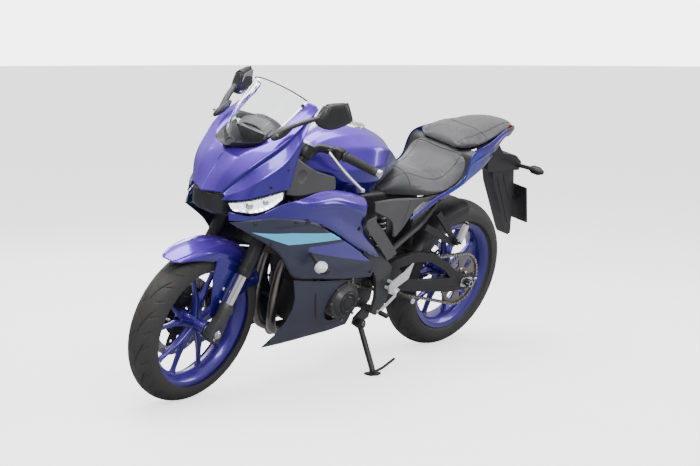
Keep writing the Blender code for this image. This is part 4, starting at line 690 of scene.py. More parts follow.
VIOLET = (0.090, 0.019, 0.50)
# Painted shade on faces that look down.
VIOLET_PAINTED_SHADE = (0.017, 0.006, 0.22)
NAVY = (0.028, 0.032, 0.058)
CYAN = (0.11, 0.60, 0.92)
# Painted highlight on faces that look up, through the flake pattern.
VIOLET_PAINTED_HIGHLIGHT = (0.190, 0.070, 0.80)
VIOLET_PALE = (0.16, 0.13, 0.62)
VIOLET_DULL = (0.075, 0.062, 0.30)
# Bands: low level and slope, high level and slope, rear, front, lean of the ends.
CYAN_FRONT = (0.2588, 0.315, 0.680, 0.0, 1.187, 1.40, 0.0)
CYAN_REAR = (0.6023, 0.0266, 0.5613, 0.100, 0.86, 1.188, 0.0)
LOWER_BAND = (0.340, 0.236, 0.6155, 0.0, 0.70, 1.085, 0.0)


def painted(name, colour, second, painted_highlight, roughness=0.24, metallic=0.50, bands=()):
    """Metallic paint under lacquer, under a coat: flakes shift the tone, and the way a face looks paints light on
    it, painted shade on faces that look down and a painted highlight on faces that look up.
    """
    look = Finish(name, colour, metallic, roughness, Coat_Weight=0.9, Coat_Roughness=0.04)
    flakes = look.tree.nodes.new("ShaderNodeTexVoronoi")
    flakes.inputs["Scale"].default_value = 2600.0
    look.tree.links.new(look.point, flakes.inputs["Vector"])
    painted_flake_glint = spread(look.tree, flakes.outputs["Distance"], 0.0, 0.8)
    # Painted light: faces that look down take the second colour as painted shade, faces that look up take the
    # flake pattern towards the lighter colour as a painted highlight.
    base = look.mix(look.use("upward face").outputs["Mask"], second, look.mix(painted_flake_glint, colour, painted_highlight))
    for values, over in bands:
        base = look.band(values, base, over)
    look.surfaced(base, 60.0, 0.02, 5.0, 0.04, 0.05, base, 0.0002)
    return look


LENS_FINISHES = (  # name, colour, roughness, coat, second colour, bump
    ("red_lens", (0.42, 0.008, 0.010), 0.12, 0.8, (0.30, 0.004, 0.006), 0.05),
    ("signal_lens", (0.82, 0.83, 0.85), 0.12, 0.9, (0.70, 0.70, 0.72), 0.04),
    ("amber_bulb", (0.85, 0.26, 0.03), 0.15, 0.8, (0.70, 0.18, 0.02), 0.04))


def make_materials():
    """All finishes of the machine."""
    GROUPS.update({"surface grain": grain_group(), "settled dust": dust_group(),
                   "flank band": band_group(), "vinyl emboss": leather_group(),
                   "upward face": painted_light_group()})
    violet, deep, painted_highlight, navy_blue, cyan, rim, vinyl = (
        tuple(getattr(colours(), label)) for label in MotorcycleColours.__annotations__)
    # In each painted call the third colour is painted shade on faces that look down and the fourth a painted
    # highlight on faces that look up.
    painted("violet_paint", violet, deep, painted_highlight)
    painted("rim_violet", rim, (0.018, 0.010, 0.19), (0.10, 0.052, 0.44), 0.32, 0.50)
    painted("mid_paint", violet, deep, painted_highlight, bands=[
        ((0.50, 0.245, 0.524, 0.245, 0.700, 0.800, 0.0), VIOLET_PALE)])
    painted("tail_paint", violet, deep, painted_highlight, bands=[
        ((0.0, 0.0, 2.0, 0.0, -0.40, -0.110, 0.0), (0.012, 0.012, 0.014)),
        ((0.0, 0.0, 2.0, 0.0, 0.112, 0.30, 0.0), (0.012, 0.020, 0.34))])
    navy = Finish("navy_stripes", navy_blue, 0.1, 0.42)
    base = (0.030, 0.034, 0.064)
    for values, colour in ((CYAN_FRONT, cyan), (CYAN_REAR, cyan), (LOWER_BAND, VIOLET_DULL)):
        base = navy.band(values, base, colour)
    navy.surfaced(base, 700.0, 0.05, 6.0, 0.05, 0.08, base)
    Finish("navy_plastic", navy_blue, 0.1, 0.42).surfaced((0.040, 0.044, 0.074), 700.0, 0.05, 6.0, 0.05, 0.10)
    Finish("black_plastic", (0.009, 0.009, 0.010), 0.0, 0.44).surfaced(
        (0.017, 0.017, 0.019), 1100.0, 0.30, dust=0.06)
    Finish("grey_plastic", (0.058, 0.056, 0.058), 0.0, 0.46).surfaced(
        (0.066, 0.064, 0.064), 1300.0, 0.40, dust=0.10)
    Finish("frame_paint", (0.045, 0.045, 0.050), 0.3, 0.38).surfaced((0.070, 0.070, 0.074), 800.0, 0.10)
    Finish("black_metal", (0.020, 0.020, 0.022), 0.5, 0.36).surfaced((0.036, 0.036, 0.038), 800.0, 0.12)
    Finish("cast_metal", (0.055, 0.055, 0.058), 0.6, 0.45).surfaced((0.085, 0.085, 0.088), 420.0, 0.40)
    Finish("silver_metal", (0.70, 0.70, 0.71), 0.95, 0.26).surfaced((0.60, 0.60, 0.62), 500.0, 0.08)
    Finish("cast_alloy", (0.80, 0.80, 0.81), 0.45, 0.38).surfaced((0.70, 0.70, 0.71), 600.0, 0.12)
    Finish("dark_steel", (0.26, 0.25, 0.24), 0.95, 0.34).surfaced((0.19, 0.17, 0.15), 600.0, 0.15, 30.0)
    Finish("disc_steel", (0.50, 0.47, 0.44), 0.95, 0.30).surfaced((0.40, 0.37, 0.34), 500.0, 0.10, 30.0)
    Finish("chrome", (0.82, 0.82, 0.83), 1.0, 0.10).surfaced((0.74, 0.74, 0.76), 300.0, 0.02)
    Finish("tyre_rubber", (0.027, 0.026, 0.025), 0.0, 0.66).surfaced(
        (0.042, 0.040, 0.038), 900.0, 0.35, 14.0, 0.08, 0.20)
    Finish("grip_rubber", (0.018, 0.018, 0.018), 0.0, 0.66).surfaced((0.028, 0.028, 0.028), 1400.0, 0.30)
    seat = Finish("seat_vinyl", (0.050, 0.050, 0.055), 0.0, 0.52, Sheen_Weight=0.25)
    emboss = seat.use("vinyl emboss", Cell_Scale=520.0)
    seat.surfaced((0.072, 0.072, 0.078), 900.0, 0.0, 7.0, 0.05, 0.12,
                  # Painted shade: the vinyl is darker in the emboss valleys.
                  seat.mix(emboss.outputs["Valley"], (0.030, 0.030, 0.034), vinyl))
    seat.bump(emboss.outputs["Height"], 0.30, 0.0003)
    screen = Finish("clear_screen", (0.93, 0.945, 0.955), 0.0, 0.03, Transmission_Weight=1.0, IOR=1.15)
    screen.bump(noise_node(screen.tree, screen.point, 3.0), 0.02, 0.001)
    lens = Finish("lamp_lens", (0.95, 0.97, 1.0), 0.0, 0.03, Transmission_Weight=0.95, IOR=1.25)
    lens.bump(noise_node(lens.tree, lens.point, 8.0), 0.02, 0.001)
    for name, colour, roughness, coat, second, bump in LENS_FINISHES:
        Finish(name, colour, 0.0, roughness, Coat_Weight=coat).surfaced(second, 240.0, bump)
    Finish("reflector", (0.86, 0.88, 0.92), 0.95, 0.12).surfaced((0.78, 0.80, 0.86), 200.0, 0.05)


NODE_SLOT = {part["node"]: part["material_slot"] for part in FRAME["record"]["subparts"]}
NODE_BODY = {node: body for body, nodes in FRAME["record"]["behaviour"]["bodies"].items()
             for node in nodes}


# ---------------------------------------------------------------- stage

CAMERA_PLACE = (5.121907, 4.218084, 1.346724)
CAMERA_TURN = (-2.403584, -0.133402, 0.000662)
CAMERA_LENS = 36 * 1607.18 / 700


def make_stage():
    """Camera at the photograph's angle, pale floor and soft lights."""
    yaw, pitch, roll = CAMERA_TURN
    look = Vector((math.cos(yaw) * math.cos(pitch), math.sin(yaw) * math.cos(pitch), math.sin(pitch)))
    right = look.cross(Vector((0, 0, 1))).normalized()
    up = right.cross(look)
    right, up = right * math.cos(roll) + up * math.sin(roll), up * math.cos(roll) - right * math.sin(roll)
    camera = bpy.data.objects.new("camera", bpy.data.cameras.new("camera"))
    bpy.context.collection.objects.link(camera)
    shift = RIG.translation
    camera.matrix_world = Matrix.Translation(Vector(CAMERA_PLACE) + Vector((shift.x, shift.y, 0))) @ \
        Matrix((right, up, -look)).transposed().to_4x4()
    camera.data.sensor_width = 36
    camera.data.lens = CAMERA_LENS
    camera.data.clip_end = 200
    bpy.context.scene.camera = camera

    floor_look = Finish("floor", (0.90, 0.90, 0.90), 0.0, 0.75)
    floor_look.surfaced((0.93, 0.93, 0.93), 40.0, 0.02, 0.6, 0.03, 0.0)
    path = floor_look.tree.nodes.new("ShaderNodeLightPath")
    seen = math_node(floor_look.tree, "MAXIMUM", path.outputs["Is Camera Ray"],
                     path.outputs["Is Transmission Ray"])
    floor_look.link(floor_look.mix(seen, (0.34, 0.34, 0.36), (0.93, 0.93, 0.93)), "Base Color")
    floor_look.shader.inputs["Emission Color"].default_value = (1.0, 1.0, 1.0, 1.0)
    floor_look.link(floor_look.mix(seen, (0.0, 0.0, 0.0), (1.5, 1.5, 1.5)), "Emission Color")
    floor_look.shader.inputs["Emission Strength"].default_value = 1.0
    mesh = bpy.data.meshes.new("floor")
    a = np.linspace(0, 2 * math.pi, 96, endpoint=False)
    ring = np.stack([np.cos(a) * 40, np.sin(a) * 40, np.full(96, -0.0015)], 1)
    mesh.from_pydata(ring.tolist(), [], [list(range(96))])
    mesh.materials.append(floor_look.material)
    floor = bpy.data.objects.new("floor", mesh)
    bpy.context.collection.objects.link(floor)

    for name, place, size, power, aim in (
            ("overhead", (0.3, 0.0, 3.6), (3.4, 2.6), 170.0, (0, 0, 0.4)),
            ("key", (2.6, 3.0, 2.6), (2.0, 1.4), 90.0, (0.2, 0, 0.6)),
            ("fill", (-3.2, 2.4, 2.0), (2.2, 1.6), 60.0, (0, 0, 0.5)),
            ("back", (-1.0, -3.4, 2.4), (2.6, 1.4), 70.0, (0, 0, 0.6))):
        lamp = bpy.data.lights.new(name, "AREA")
        lamp.shape = "RECTANGLE"
        lamp.size, lamp.size_y = size
        lamp.energy = power
        holder = bpy.data.objects.new(name, lamp)
        bpy.context.collection.objects.link(holder)
        holder.matrix_world = Matrix.Translation(place) @ \
            (Vector(place) - Vector(aim)).to_track_quat("Z", "Y").to_matrix().to_4x4()

    world = bpy.data.worlds.new("studio")
    bpy.context.scene.world = world
    world.use_nodes = True
    tree = world.node_tree
    tree.nodes.clear()
    geometry = tree.nodes.new("ShaderNodeTexCoord")
    split = tree.nodes.new("ShaderNodeSeparateXYZ")
    tree.links.new(geometry.outputs["Generated"], split.inputs[0])
    lift = spread(tree, split.outputs["Z"], -0.1, 0.8, 0.42, 1.15)
    surround = tree.nodes.new("ShaderNodeBackground")
    tree.links.new(lift, surround.inputs["Strength"])
    plain = tree.nodes.new("ShaderNodeBackground")
    plain.inputs["Strength"].default_value = 5.0
    plain.inputs["Color"].default_value = (1.0, 1.0, 1.0, 1)
    path = tree.nodes.new("ShaderNodeLightPath")
    choose = tree.nodes.new("ShaderNodeMixShader")
    through = math_node(tree, "MAXIMUM", path.outputs["Is Camera Ray"],
                        path.outputs["Is Transmission Ray"])
    tree.links.new(through, choose.inputs[0])
    tree.links.new(surround.outputs[0], choose.inputs[1])
    tree.links.new(plain.outputs[0], choose.inputs[2])
    output = tree.nodes.new("ShaderNodeOutputWorld")
    tree.links.new(choose.outputs[0], output.inputs[0])


# ---------------------------------------------------------------- wheels

FLANGE = 0.230
FRONT_HUB = (-0.06145, 0.0700)  # y of the hub's two faces
REAR_HUB = (-0.08345, 0.0862)
BEAD_SEAT = 0.2188
FRONT_RIM_HALF, REAR_RIM_HALF = 0.044, 0.057
FRONT_DISC_RADIUS = 0.149
PITCH = 0.015875
CHAIN_Y = 0.090
REAR_TEETH, FRONT_TEETH = 43, 14
FRONT_SPROCKET = np.array([0.640, 0.0, 0.402])


def tread_depth(theta, share, pitches, depth):
    """Depth of the tread's grooves at angles theta and shares -1 to 1 across the crown.

    Along one pitch u runs 0 to 1 and v is the distance from the middle line.  The long sickles
    follow v = 0.10 + 0.66 u^1.7, the shoulder slashes u = 0.16 + 0.34 (v - 0.5) and the same half
    a pitch on, and each groove's depth falls off with the square of the distance from its line.
    """
    half_arc, run = 0.072, 2 * math.pi * 0.30 / pitches
    total = np.zeros(np.broadcast(theta, share).shape)
    for side, offset in ((1, 0.0), (-1, 0.5)):
        u = (theta * pitches / (2 * math.pi) + offset) % 1.0
        v = share * side
        line = 0.10 + 0.66 * u ** 1.7
        slope = 0.66 * 1.7 * u ** 0.7 * half_arc / run
        away = np.abs(v - line) * half_arc / np.sqrt(1 + slope ** 2)
        taper = np.clip(np.minimum(u - 0.04, 0.97 - u) * 7, 0, 1)
        long_cut = np.clip(1 - (away / 0.0030) ** 2, 0, 1) * taper
        total = np.maximum(total, long_cut * (v > 0))
        for start in (0.16, 0.66):
            away = np.abs(((u - start - 0.34 * (v - 0.5) + 0.5) % 1.0) - 0.5) * run * 0.94
            taper = np.clip(np.minimum(v - 0.46, 0.99 - v) * 9, 0, 1)
            total = np.maximum(total, np.clip(1 - (away / 0.0026) ** 2, 0, 1) * taper * 0.8)
        away = np.abs(((u - 0.62 + 0.9 * (v - 0.1) + 0.5) % 1.0) - 0.5) * run * 0.75
        taper = np.clip(np.minimum(v - 0.03, 0.26 - v) * 14, 0, 1)
        total = np.maximum(total, np.clip(1 - (away / 0.0022) ** 2, 0, 1) * taper * 0.8)
    return total * depth


def tyre_grid(centre, radius, width, rim_half, pitches, steps=700):
    """Tyre: the crown is an ellipse arc of angles -90 to 90, the walls run on down to the beads.

    The tread's grooves are taken off along the crown's normal.
    """
    crown = radius * 0.178
    middle = radius - crown
    bead = rim_half - 0.0048
    arc = np.radians(np.concatenate([np.linspace(-90, -68, 6)[:-1], np.linspace(-68, 68, 57),
                                     np.linspace(68, 90, 6)[1:]]))
    r, y = middle + crown * np.cos(arc), width / 2 * np.sin(arc)
    theta = np.linspace(0, 2 * math.pi, steps, endpoint=False)
    share = (arc / math.radians(68))[:, None]
    depth = tread_depth(theta[None], share, pitches, sizes().tread_depth) * (np.abs(share) <= 1.0)
    outer = np.stack([r[:, None] - depth * np.cos(arc)[:, None],
                      y[:, None] - depth * np.sin(arc)[:, None]], -1)
    wall = np.array([(middle - 0.012, width / 2 * 0.992), (middle - 0.018, width / 2 * 0.975),
                     (0.240, (bead + width / 2) / 2 + 0.002), (0.2365, bead + 0.0065),
                     (0.2340, bead + 0.0030), (FLANGE + 0.0015, bead), (BEAD_SEAT, bead),
                     (BEAD_SEAT, bead - 0.008), (middle - 0.010, width / 2 - 0.010),
                     (middle + crown * 0.6, width * 0.30), (radius - 0.0095, 0.0)])
    other = wall[:-1][::-1] * (1, -1)
    rest = np.repeat(np.concatenate([wall, other])[:, None], steps, 1)
    profile = np.concatenate([outer, rest, outer[:1]])
    return (np.asarray(centre) + np.stack([profile[..., 0] * np.cos(theta), profile[..., 1],
                                           profile[..., 0] * np.sin(theta)], -1))


def spoke(centre, base, hand, table):
    """One spoke: a rounded box along radius r at angle base + hand * spread(r).

    The table's rows are r, spread in degrees, half-width and half-depth.
    """
    r = np.linspace(table[0][0], table[-1][0], 26)
    apart, wide, deep = eased(table, r).T
    angle = base + hand * np.radians(apart)
    path = centre + np.stack([r * np.cos(angle), 0 * r, r * np.sin(angle)], 1)
    return swept(path, wide, deep, (0, 1, 0), 20, 3.4)


def rim_grids(centre, half, hub, faces, bore, forms):
    """Wheel: the rim's closed profile, the hub's, and five arms that each split in two."""
    lip = half - 0.004
    side = [(0.2185, lip - 0.0005), (0.2205, lip - 0.0003), (FLANGE - 0.001, lip),
            (FLANGE, lip + 0.001), (FLANGE + 0.0003, half - 0.001), (FLANGE - 0.0008, half),
            (FLANGE - 0.0030, half - 0.0002), (0.2195, half - 0.0045), (0.2120, half - 0.0060),
            (0.2080, half - 0.0105), (0.1985, half - 0.019), (0.1935, half - 0.030)]
    inside = [(0.1910, 0.008), (0.1898, 0.0), (0.1910, -0.008)]
    band = side + inside + [(r, -y) for r, y in reversed(side)] + [
        (0.2150, -lip + 0.008), (0.1990, -lip + 0.024), (0.1985, 0.0), (0.1990, lip - 0.024),
        (0.2150, lip - 0.008)]
    grids = [turned(band, centre, steps=160, closed=True)]
    low, high = faces
    core = [(bore, low), (hub - 0.004, low), (hub, low + 0.003), (hub, low + 0.012),
            (hub - 0.005, low + 0.016), (hub - 0.006, -0.020), (hub + 0.004, -0.012),
            (hub + 0.004, 0.012), (hub - 0.006, 0.020), (hub - 0.005, high - 0.016),
            (hub, high - 0.012), (hub, high - 0.003), (hub - 0.004, high), (bore, high)]
    grids.append(turned(core, centre, steps=48, closed=True))
    root, tip, arm_wide, thin = forms
    table = [(hub * 0.75, 3.5, arm_wide, root), (hub + 0.020, 5.0, arm_wide * 0.86, root * 0.86),
             (0.092, 8.2, arm_wide * 0.66, root * 0.70), (0.115, 11.2, thin * 1.15, tip * 1.2),
             (0.150, 13.8, thin, tip), (0.178, 15.2, thin * 1.1, tip),
             (0.1945, 16.2, thin * 1.9, tip * 1.35)]
    for arm in range(5):
        base = 2 * math.pi * arm / 5 + math.pi / 2
        grids += [spoke(centre, base, hand, table) for hand in (-1, 1)]
        ridge = np.asarray(centre) + np.array([math.cos(base), 0, math.sin(base)]) * 0.070
        for y in (1, -1):
            grids.append(block(ridge + (0, y * root * 0.72, 0), (0.052, 0.006, 0.017),
                               [[math.cos(base), 0, -math.sin(base)], [0, 1, 0],
                                [math.sin(base), 0, math.cos(base)]], 0.3))
    return grids


def make_wheels():
    """Tyres with their cut tread, cast rims, valves and bearing covers."""
    made("front_tyre_tread", "front_wheel", "tyre_rubber",
         [tyre_grid(FRONT_AXLE, FRONT_RADIUS, 0.110, FRONT_RIM_HALF, sizes().tread_pitches)],
         ("front_tyre",), 50)
    made("rear_tyre_tread", "rear_wheel", "tyre_rubber",
         [tyre_grid(REAR_AXLE, REAR_RADIUS, 0.140, REAR_RIM_HALF, sizes().tread_pitches)], ("rear_tyre",), 50)
    for body, node, centre, half, hub, faces, bore, forms in (
            ("front_wheel", "front_rim", FRONT_AXLE, FRONT_RIM_HALF, 0.030, FRONT_HUB, 0.0088,
             (0.020, 0.0095, 0.0155, sizes().spoke_width)),
            ("rear_wheel", "rear_rim", REAR_AXLE, REAR_RIM_HALF, 0.040, REAR_HUB, 0.0098,
             (0.024, 0.0110, 0.0165, sizes().spoke_width * 1.06))):
        grids = rim_grids(centre, half, hub, faces, bore, forms)
        made(node + "_casting", body, "rim_violet", grids, (node,), 42)
        at = centre + np.array([0.189 * math.cos(0.3), 0.010, 0.189 * math.sin(0.3)])
        inward = -np.array([math.cos(0.3), -0.35, math.sin(0.3)])
        made(node + "_valve", body, "silver_metal",
             [turned([(0.0, -0.004), (0.0038, -0.004), (0.0038, 0.018), (0.0030, 0.020),
                      (0.0046, 0.021), (0.0046, 0.030), (0.0030, 0.032), (0.0, 0.032)],
                     at, inward, 14)])
        seals = [turned([(bore + 0.0004, y * (high - 0.0006)), (hub - 0.006, y * (high - 0.0006)),
                         (hub - 0.008, y * (high + 0.0016)), (bore + 0.0004, y * (high + 0.0016))],
                        centre, steps=40, closed=True)
                 for y, high in ((1, faces[1]), (-1, -faces[0]))]
        made(node + "_seals", body, "dark_steel", seals)


def drilled_disc(node, body, centre, radius, y, carrier, hub, groups):
    """Brake disc: a drilled band, its carrier of curved arms and their buttons."""
    band = [ring_of(radius, 128), ring_of(radius * 0.79, 96)[::-1]]
    for g in range(groups):
        for r, shift, size in ((0.965, 0.0, 0.0030), (0.905, 0.045, 0.0034), (0.845, 0.090, 0.0034)):
            a = 2 * math.pi * (g + shift * groups / 6) / groups
            band.append(ring_of(size, 10, (radius * r * math.cos(a), radius * r * math.sin(a))))
    place = np.asarray(centre) + (0, y, 0)
    made(node + "_band", body, "disc_steel",
         [sheet(band, sizes().disc_thickness, place, FLAT_ON_SIDE, 0.0003)], (node,), 30)
    a = np.linspace(0, 2 * math.pi, 180, endpoint=False)
    wave = np.clip(np.cos(a * 5) * 1.6 - 0.35, 0, 1)
    edge = (carrier + (radius * 0.815 - carrier) * wave ** 0.8)[:, None]
    star = np.stack([np.cos(a), np.sin(a)], 1) * edge
    loops = [star, ring_of(hub, 48)]
    loops += [ring_of(0.006, 12, ((carrier + radius * 0.80) / 2 * math.cos(b),
                                  (carrier + radius * 0.80) / 2 * math.sin(b)))
              for b in 2 * math.pi * np.arange(5) / 5]
    grids = [sheet(loops, 0.0038, place, FLAT_ON_SIDE, 0.0004)]
    made(node + "_carrier", body, "black_metal", grids, (), 30)
    heads = []
    for b in 2 * math.pi * np.arange(5) / 5:
        out = np.array([math.cos(b), 0, math.sin(b)])
        facing = 1 if y > 0 else -1
        heads.append(bolt(place + out * carrier * 0.88 + (0, facing * 0.0021, 0), (0, facing, 0), 0.0062))
        heads.append(turned([(0.0, -0.0034), (0.0052, -0.0034), (0.0060, -0.0026), (0.0060, 0.0026),
                             (0.0052, 0.0034), (0.0, 0.0034)], place + out * radius * 0.80, steps=16))
    made(node + "_bolts", body, "silver_metal", heads)


def pitch_radius(teeth):
    """Radius on which the chain's pins lie round a sprocket."""
    return PITCH / (2 * math.sin(math.pi / teeth))


def prism(flat, y, half):
    """Closed form from an outline in x and z, half deep on both sides of y."""
    return capped(np.stack([np.stack([flat[:, 0], np.full(len(flat), at), flat[:, 1]], 1)
                            for at in (y - half, y + half)]))


def chain_pins():
    """Pin places round both sprockets: arcs of the pitch radii joined by straight runs."""
    rear, front = pitch_radius(REAR_TEETH), pitch_radius(FRONT_TEETH)
    span = FRONT_SPROCKET - REAR_AXLE
    length = math.hypot(span[0], span[2])
    tilt = math.atan2(span[2], span[0])
    opening = math.asin((rear - front) / length)
    upper, lower = math.pi / 2 + tilt - opening, -math.pi / 2 + tilt + opening
    pieces = [(FRONT_SPROCKET, front, lower, upper), (REAR_AXLE, rear, upper, lower + 2 * math.pi)]
    dense = []
    for centre, radius, start, end in pieces:
        a = np.linspace(start, end, 160)
        dense.append(np.stack([centre[0] + radius * np.cos(a), centre[2] + radius * np.sin(a)], 1))
    dense = np.concatenate(dense + [dense[0][:1]])
    step = np.concatenate([[0], np.cumsum(np.linalg.norm(np.diff(dense, axis=0), axis=1))])
    count = 2 * int(round(step[-1] / PITCH / 2))
    where = np.linspace(0, step[-1], count, endpoint=False)
    return np.stack([np.interp(where, step, dense[:, 0]), np.interp(where, step, dense[:, 1])], 1)


def make_drive():
    """Chain of side plates and rollers, toothed sprocket and its carrier."""
    pins = chain_pins()
    after = np.roll(pins, -1, 0)
    run = unit(after - pins)
    across = np.stack([-run[:, 1], run[:, 0]], 1)
    a = np.linspace(0, 2 * math.pi, 16, endpoint=False)
    reach = PITCH / 2 + 0.0062 * np.abs(np.cos(a))
    x = np.cos(a) * reach
    z = np.sin(a) * (0.0068 - 0.0018 * np.clip(1 - np.abs(np.cos(a)) * 2.2, 0, 1))
    x = np.where(np.abs(x) > 0, np.sign(x) * np.minimum(np.abs(x), PITCH / 2 + 0.0064), x)
    outline = np.stack([x, z], 1)
    grids = []
    middle = (pins + after) / 2
    for parity, offsets in ((0, (0.0066, -0.0066)), (1, (0.0047, -0.0047))):
        for offset in offsets:
            for m, r, w in zip(middle[parity::2], run[parity::2], across[parity::2]):
                grids.append(prism(m + outline[:, :1] * r + outline[:, 1:] * w, CHAIN_Y + offset, 0.0008))
    made("chain_plates", "chassis", "dark_steel", grids, ("chain",), 40)
    rollers = [prism(ring_of(radius, sides, pin), CHAIN_Y, half) for pin in pins
               for radius, sides, half in ((0.0050, 8, 0.0036), (0.0024, 6, 0.0082))]
    made("chain_rollers", "chassis", "silver_metal", rollers, (), 40)

    nearest = pins[np.argmin(pins[:, 0])] - REAR_AXLE[[0, 2]]
    phase = math.atan2(nearest[1], nearest[0])
    a = np.linspace(0, 2 * math.pi, REAR_TEETH * 12, endpoint=False)
    tooth = 0.5 - 0.5 * np.cos((a - phase) * REAR_TEETH)
    edge = pitch_radius(REAR_TEETH) - 0.0058 + 0.0082 * tooth ** 1.3
    toothed = np.stack([np.cos(a), np.sin(a)], 1) * edge[:, None]
    holes = [ring_of(0.031, 48)]
    for b in 2 * math.pi * np.arange(6) / 6:
        holes.append(rounded(np.array([(0.052, -0.014), (0.090, -0.020), (0.090, 0.020),
                                       (0.052, 0.014)]) @ [[math.cos(b), math.sin(b)],
                                                           [-math.sin(b), math.cos(b)]], 0.008))
    place = REAR_AXLE + (0, CHAIN_Y, 0)
    made("sprocket_teeth", "rear_wheel", "dark_steel",
         [sheet([toothed] + holes, 0.0060, place, FLAT_ON_SIDE, 0.0006)], ("rear_sprocket",), 30)
    carrier = [turned([(0.0105, 0.066), (0.052, 0.066), (0.056, 0.070), (0.056, 0.084),
                       (0.050, 0.0862), (0.031, 0.0868), (0.030, 0.093), (0.0105, 0.093)],
                      REAR_AXLE, steps=60, closed=True)]
    made("sprocket_carrier", "rear_wheel", "silver_metal", carrier, (), 30)
    heads = [bolt(place + (0.042 * math.cos(b + 0.5), 0.003, 0.042 * math.sin(b + 0.5)), (0, 1, 0), 0.0070)
             for b in 2 * math.pi * np.arange(6) / 6]
    made("sprocket_bolts", "rear_wheel", "chrome", heads)


# ---------------------------------------------------------------- bodywork

MID_COWL = [  # columns from front to rear; each gives (x, z) of its upper edge, middle and lower edge
    ((1.400, 0.738), (1.398, 0.722), (1.395, 0.710)),
    ((1.330, 0.738), (1.312, 0.732), (1.305, 0.722)),
    ((1.236, 0.784), (1.225, 0.758), (1.210, 0.724)),
    ((1.130, 0.797), (1.110, 0.750), (1.090, 0.704)),
    ((1.000, 0.808), (0.985, 0.740), (0.970, 0.660)),
    ((0.885, 0.790), (0.855, 0.690), (0.795, 0.570)),
    ((0.786, 0.762), (0.790, 0.662), (0.606, 0.492)),
]
FRAME_COVER = [
    ((0.793, 0.680), (0.736, 0.694)), ((0.780, 0.650), (0.724, 0.668)),
    ((0.715, 0.600), (0.652, 0.618)), ((0.635, 0.540), (0.574, 0.558)),
    ((0.558, 0.482), (0.500, 0.500)),
]
SIDE_COWL = [
    ((1.395, 0.706), (1.390, 0.700), (1.375, 0.692)),
    ((1.270, 0.736), (1.245, 0.690), (1.225, 0.604)),
    ((1.100, 0.713), (1.105, 0.620), (1.118, 0.500)),
    ((1.000, 0.668), (0.985, 0.575), (0.980, 0.472)),
    ((0.810, 0.573), (0.810, 0.515), (0.810, 0.445)),
    ((0.630, 0.469), (0.635, 0.450), (0.640, 0.424)),
]
KNEE_PANEL = [
    ((1.208, 0.962), (1.212, 0.890), (1.214, 0.812)),
    ((1.165, 0.930), (1.160, 0.870), (1.155, 0.806)),
    ((1.090, 0.890), (1.085, 0.850), (1.080, 0.812)),
    ((0.985, 0.858), (0.980, 0.836), (0.978, 0.815)),
]
SIDE_COVER = [
    ((0.762, 0.752), (0.760, 0.735), (0.752, 0.712)),
    ((0.640, 0.745), (0.640, 0.700), (0.610, 0.650)),
    ((0.520, 0.730), (0.530, 0.660), (0.545, 0.575)),
    ((0.425, 0.718), (0.428, 0.704), (0.433, 0.688)),
    ((0.325, 0.724), (0.330, 0.720), (0.340, 0.716)),
]
NOSE_LINES = [  # lines from the intake back to the screen's end, the middle one first
    ((1.444, 0.000, 0.790), (1.402, 0.000, 0.866), (1.360, 0.000, 0.929), (1.284, 0.092, 0.970),
     (1.118, 0.122, 1.118)),
    ((1.432, 0.050, 0.800), (1.400, 0.062, 0.880), (1.346, 0.080, 0.936), (1.262, 0.128, 0.994),
     (1.100, 0.138, 1.112)),
    ((1.420, 0.076, 0.806), (1.384, 0.118, 0.874), (1.325, 0.148, 0.936), (1.240, 0.170, 1.004),
     (1.092, 0.151, 1.098)),
    ((1.414, 0.078, 0.798), (1.368, 0.108, 0.846), (1.314, 0.143, 0.902), (1.236, 0.170, 0.974),
     (1.108, 0.150, 1.080)),
    ((1.412, 0.086, 0.790), (1.360, 0.128, 0.826), (1.312, 0.164, 0.872), (1.245, 0.188, 0.930),
     (1.174, 0.180, 1.010)),
    ((1.418, 0.080, 0.776), (1.372, 0.130, 0.789), (1.318, 0.166, 0.809), (1.262, 0.194, 0.832),
     (1.226, 0.203, 0.838)),
]
TANK = [  # x, half-width of crown, widest half-width, top z, shoulder z, bottom z, bottom's lead
    (1.020, 0.036, 0.068, 0.905, 0.846, 0.800, -0.040),
    (0.960, 0.046, 0.096, 0.950, 0.852, 0.782, -0.020),
    (0.880, 0.058, 0.134, 0.979, 0.852, 0.770, 0.000),
    (0.780, 0.078, 0.164, 0.990, 0.862, 0.764, 0.000),
    (0.680, 0.082, 0.160, 0.976, 0.866, 0.760, 0.030),
    (0.590, 0.070, 0.130, 0.936, 0.846, 0.758, 0.078),
    (0.525, 0.052, 0.098, 0.890, 0.826, 0.756, 0.112),
    (0.474, 0.032, 0.068, 0.852, 0.812, 0.756, 0.142)]
SEAT = [  # x, half-width, top z, edge z, bottom z
    (0.600, 0.070, 0.740, 0.736, 0.728), (0.560, 0.096, 0.772, 0.756, 0.724),
    (0.520, 0.112, 0.802, 0.768, 0.722), (0.470, 0.126, 0.822, 0.768, 0.720),
    (0.400, 0.143, 0.806, 0.752, 0.718), (0.330, 0.152, 0.792, 0.744, 0.720),
    (0.265, 0.154, 0.800, 0.758, 0.732), (0.205, 0.156, 0.836, 0.800, 0.766),
    (0.168, 0.154, 0.880, 0.862, 0.826), (0.130, 0.136, 0.880, 0.864, 0.840)]
PILLION = [
    (0.186, 0.088, 0.906, 0.898, 0.884), (0.160, 0.124, 0.934, 0.912, 0.888),
    (0.090, 0.134, 0.950, 0.920, 0.898), (0.000, 0.118, 0.963, 0.934, 0.912),
    (-0.090, 0.094, 0.973, 0.948, 0.926), (-0.165, 0.066, 0.970, 0.952, 0.934),
    (-0.216, 0.038, 0.960, 0.952, 0.939)]
TAIL = [  # x, half-width, side's lower z, side's upper z
    (0.470, 0.154, 0.632, 0.643), (0.350, 0.163, 0.692, 0.716), (0.270, 0.168, 0.728, 0.748),
    (0.205, 0.170, 0.757, 0.788), (0.172, 0.168, 0.774, 0.880), (0.060, 0.154, 0.826, 0.914),
    (-0.080, 0.112, 0.908, 0.946), (-0.155, 0.086, 0.914, 0.948), (-0.222, 0.052, 0.919, 0.944)]
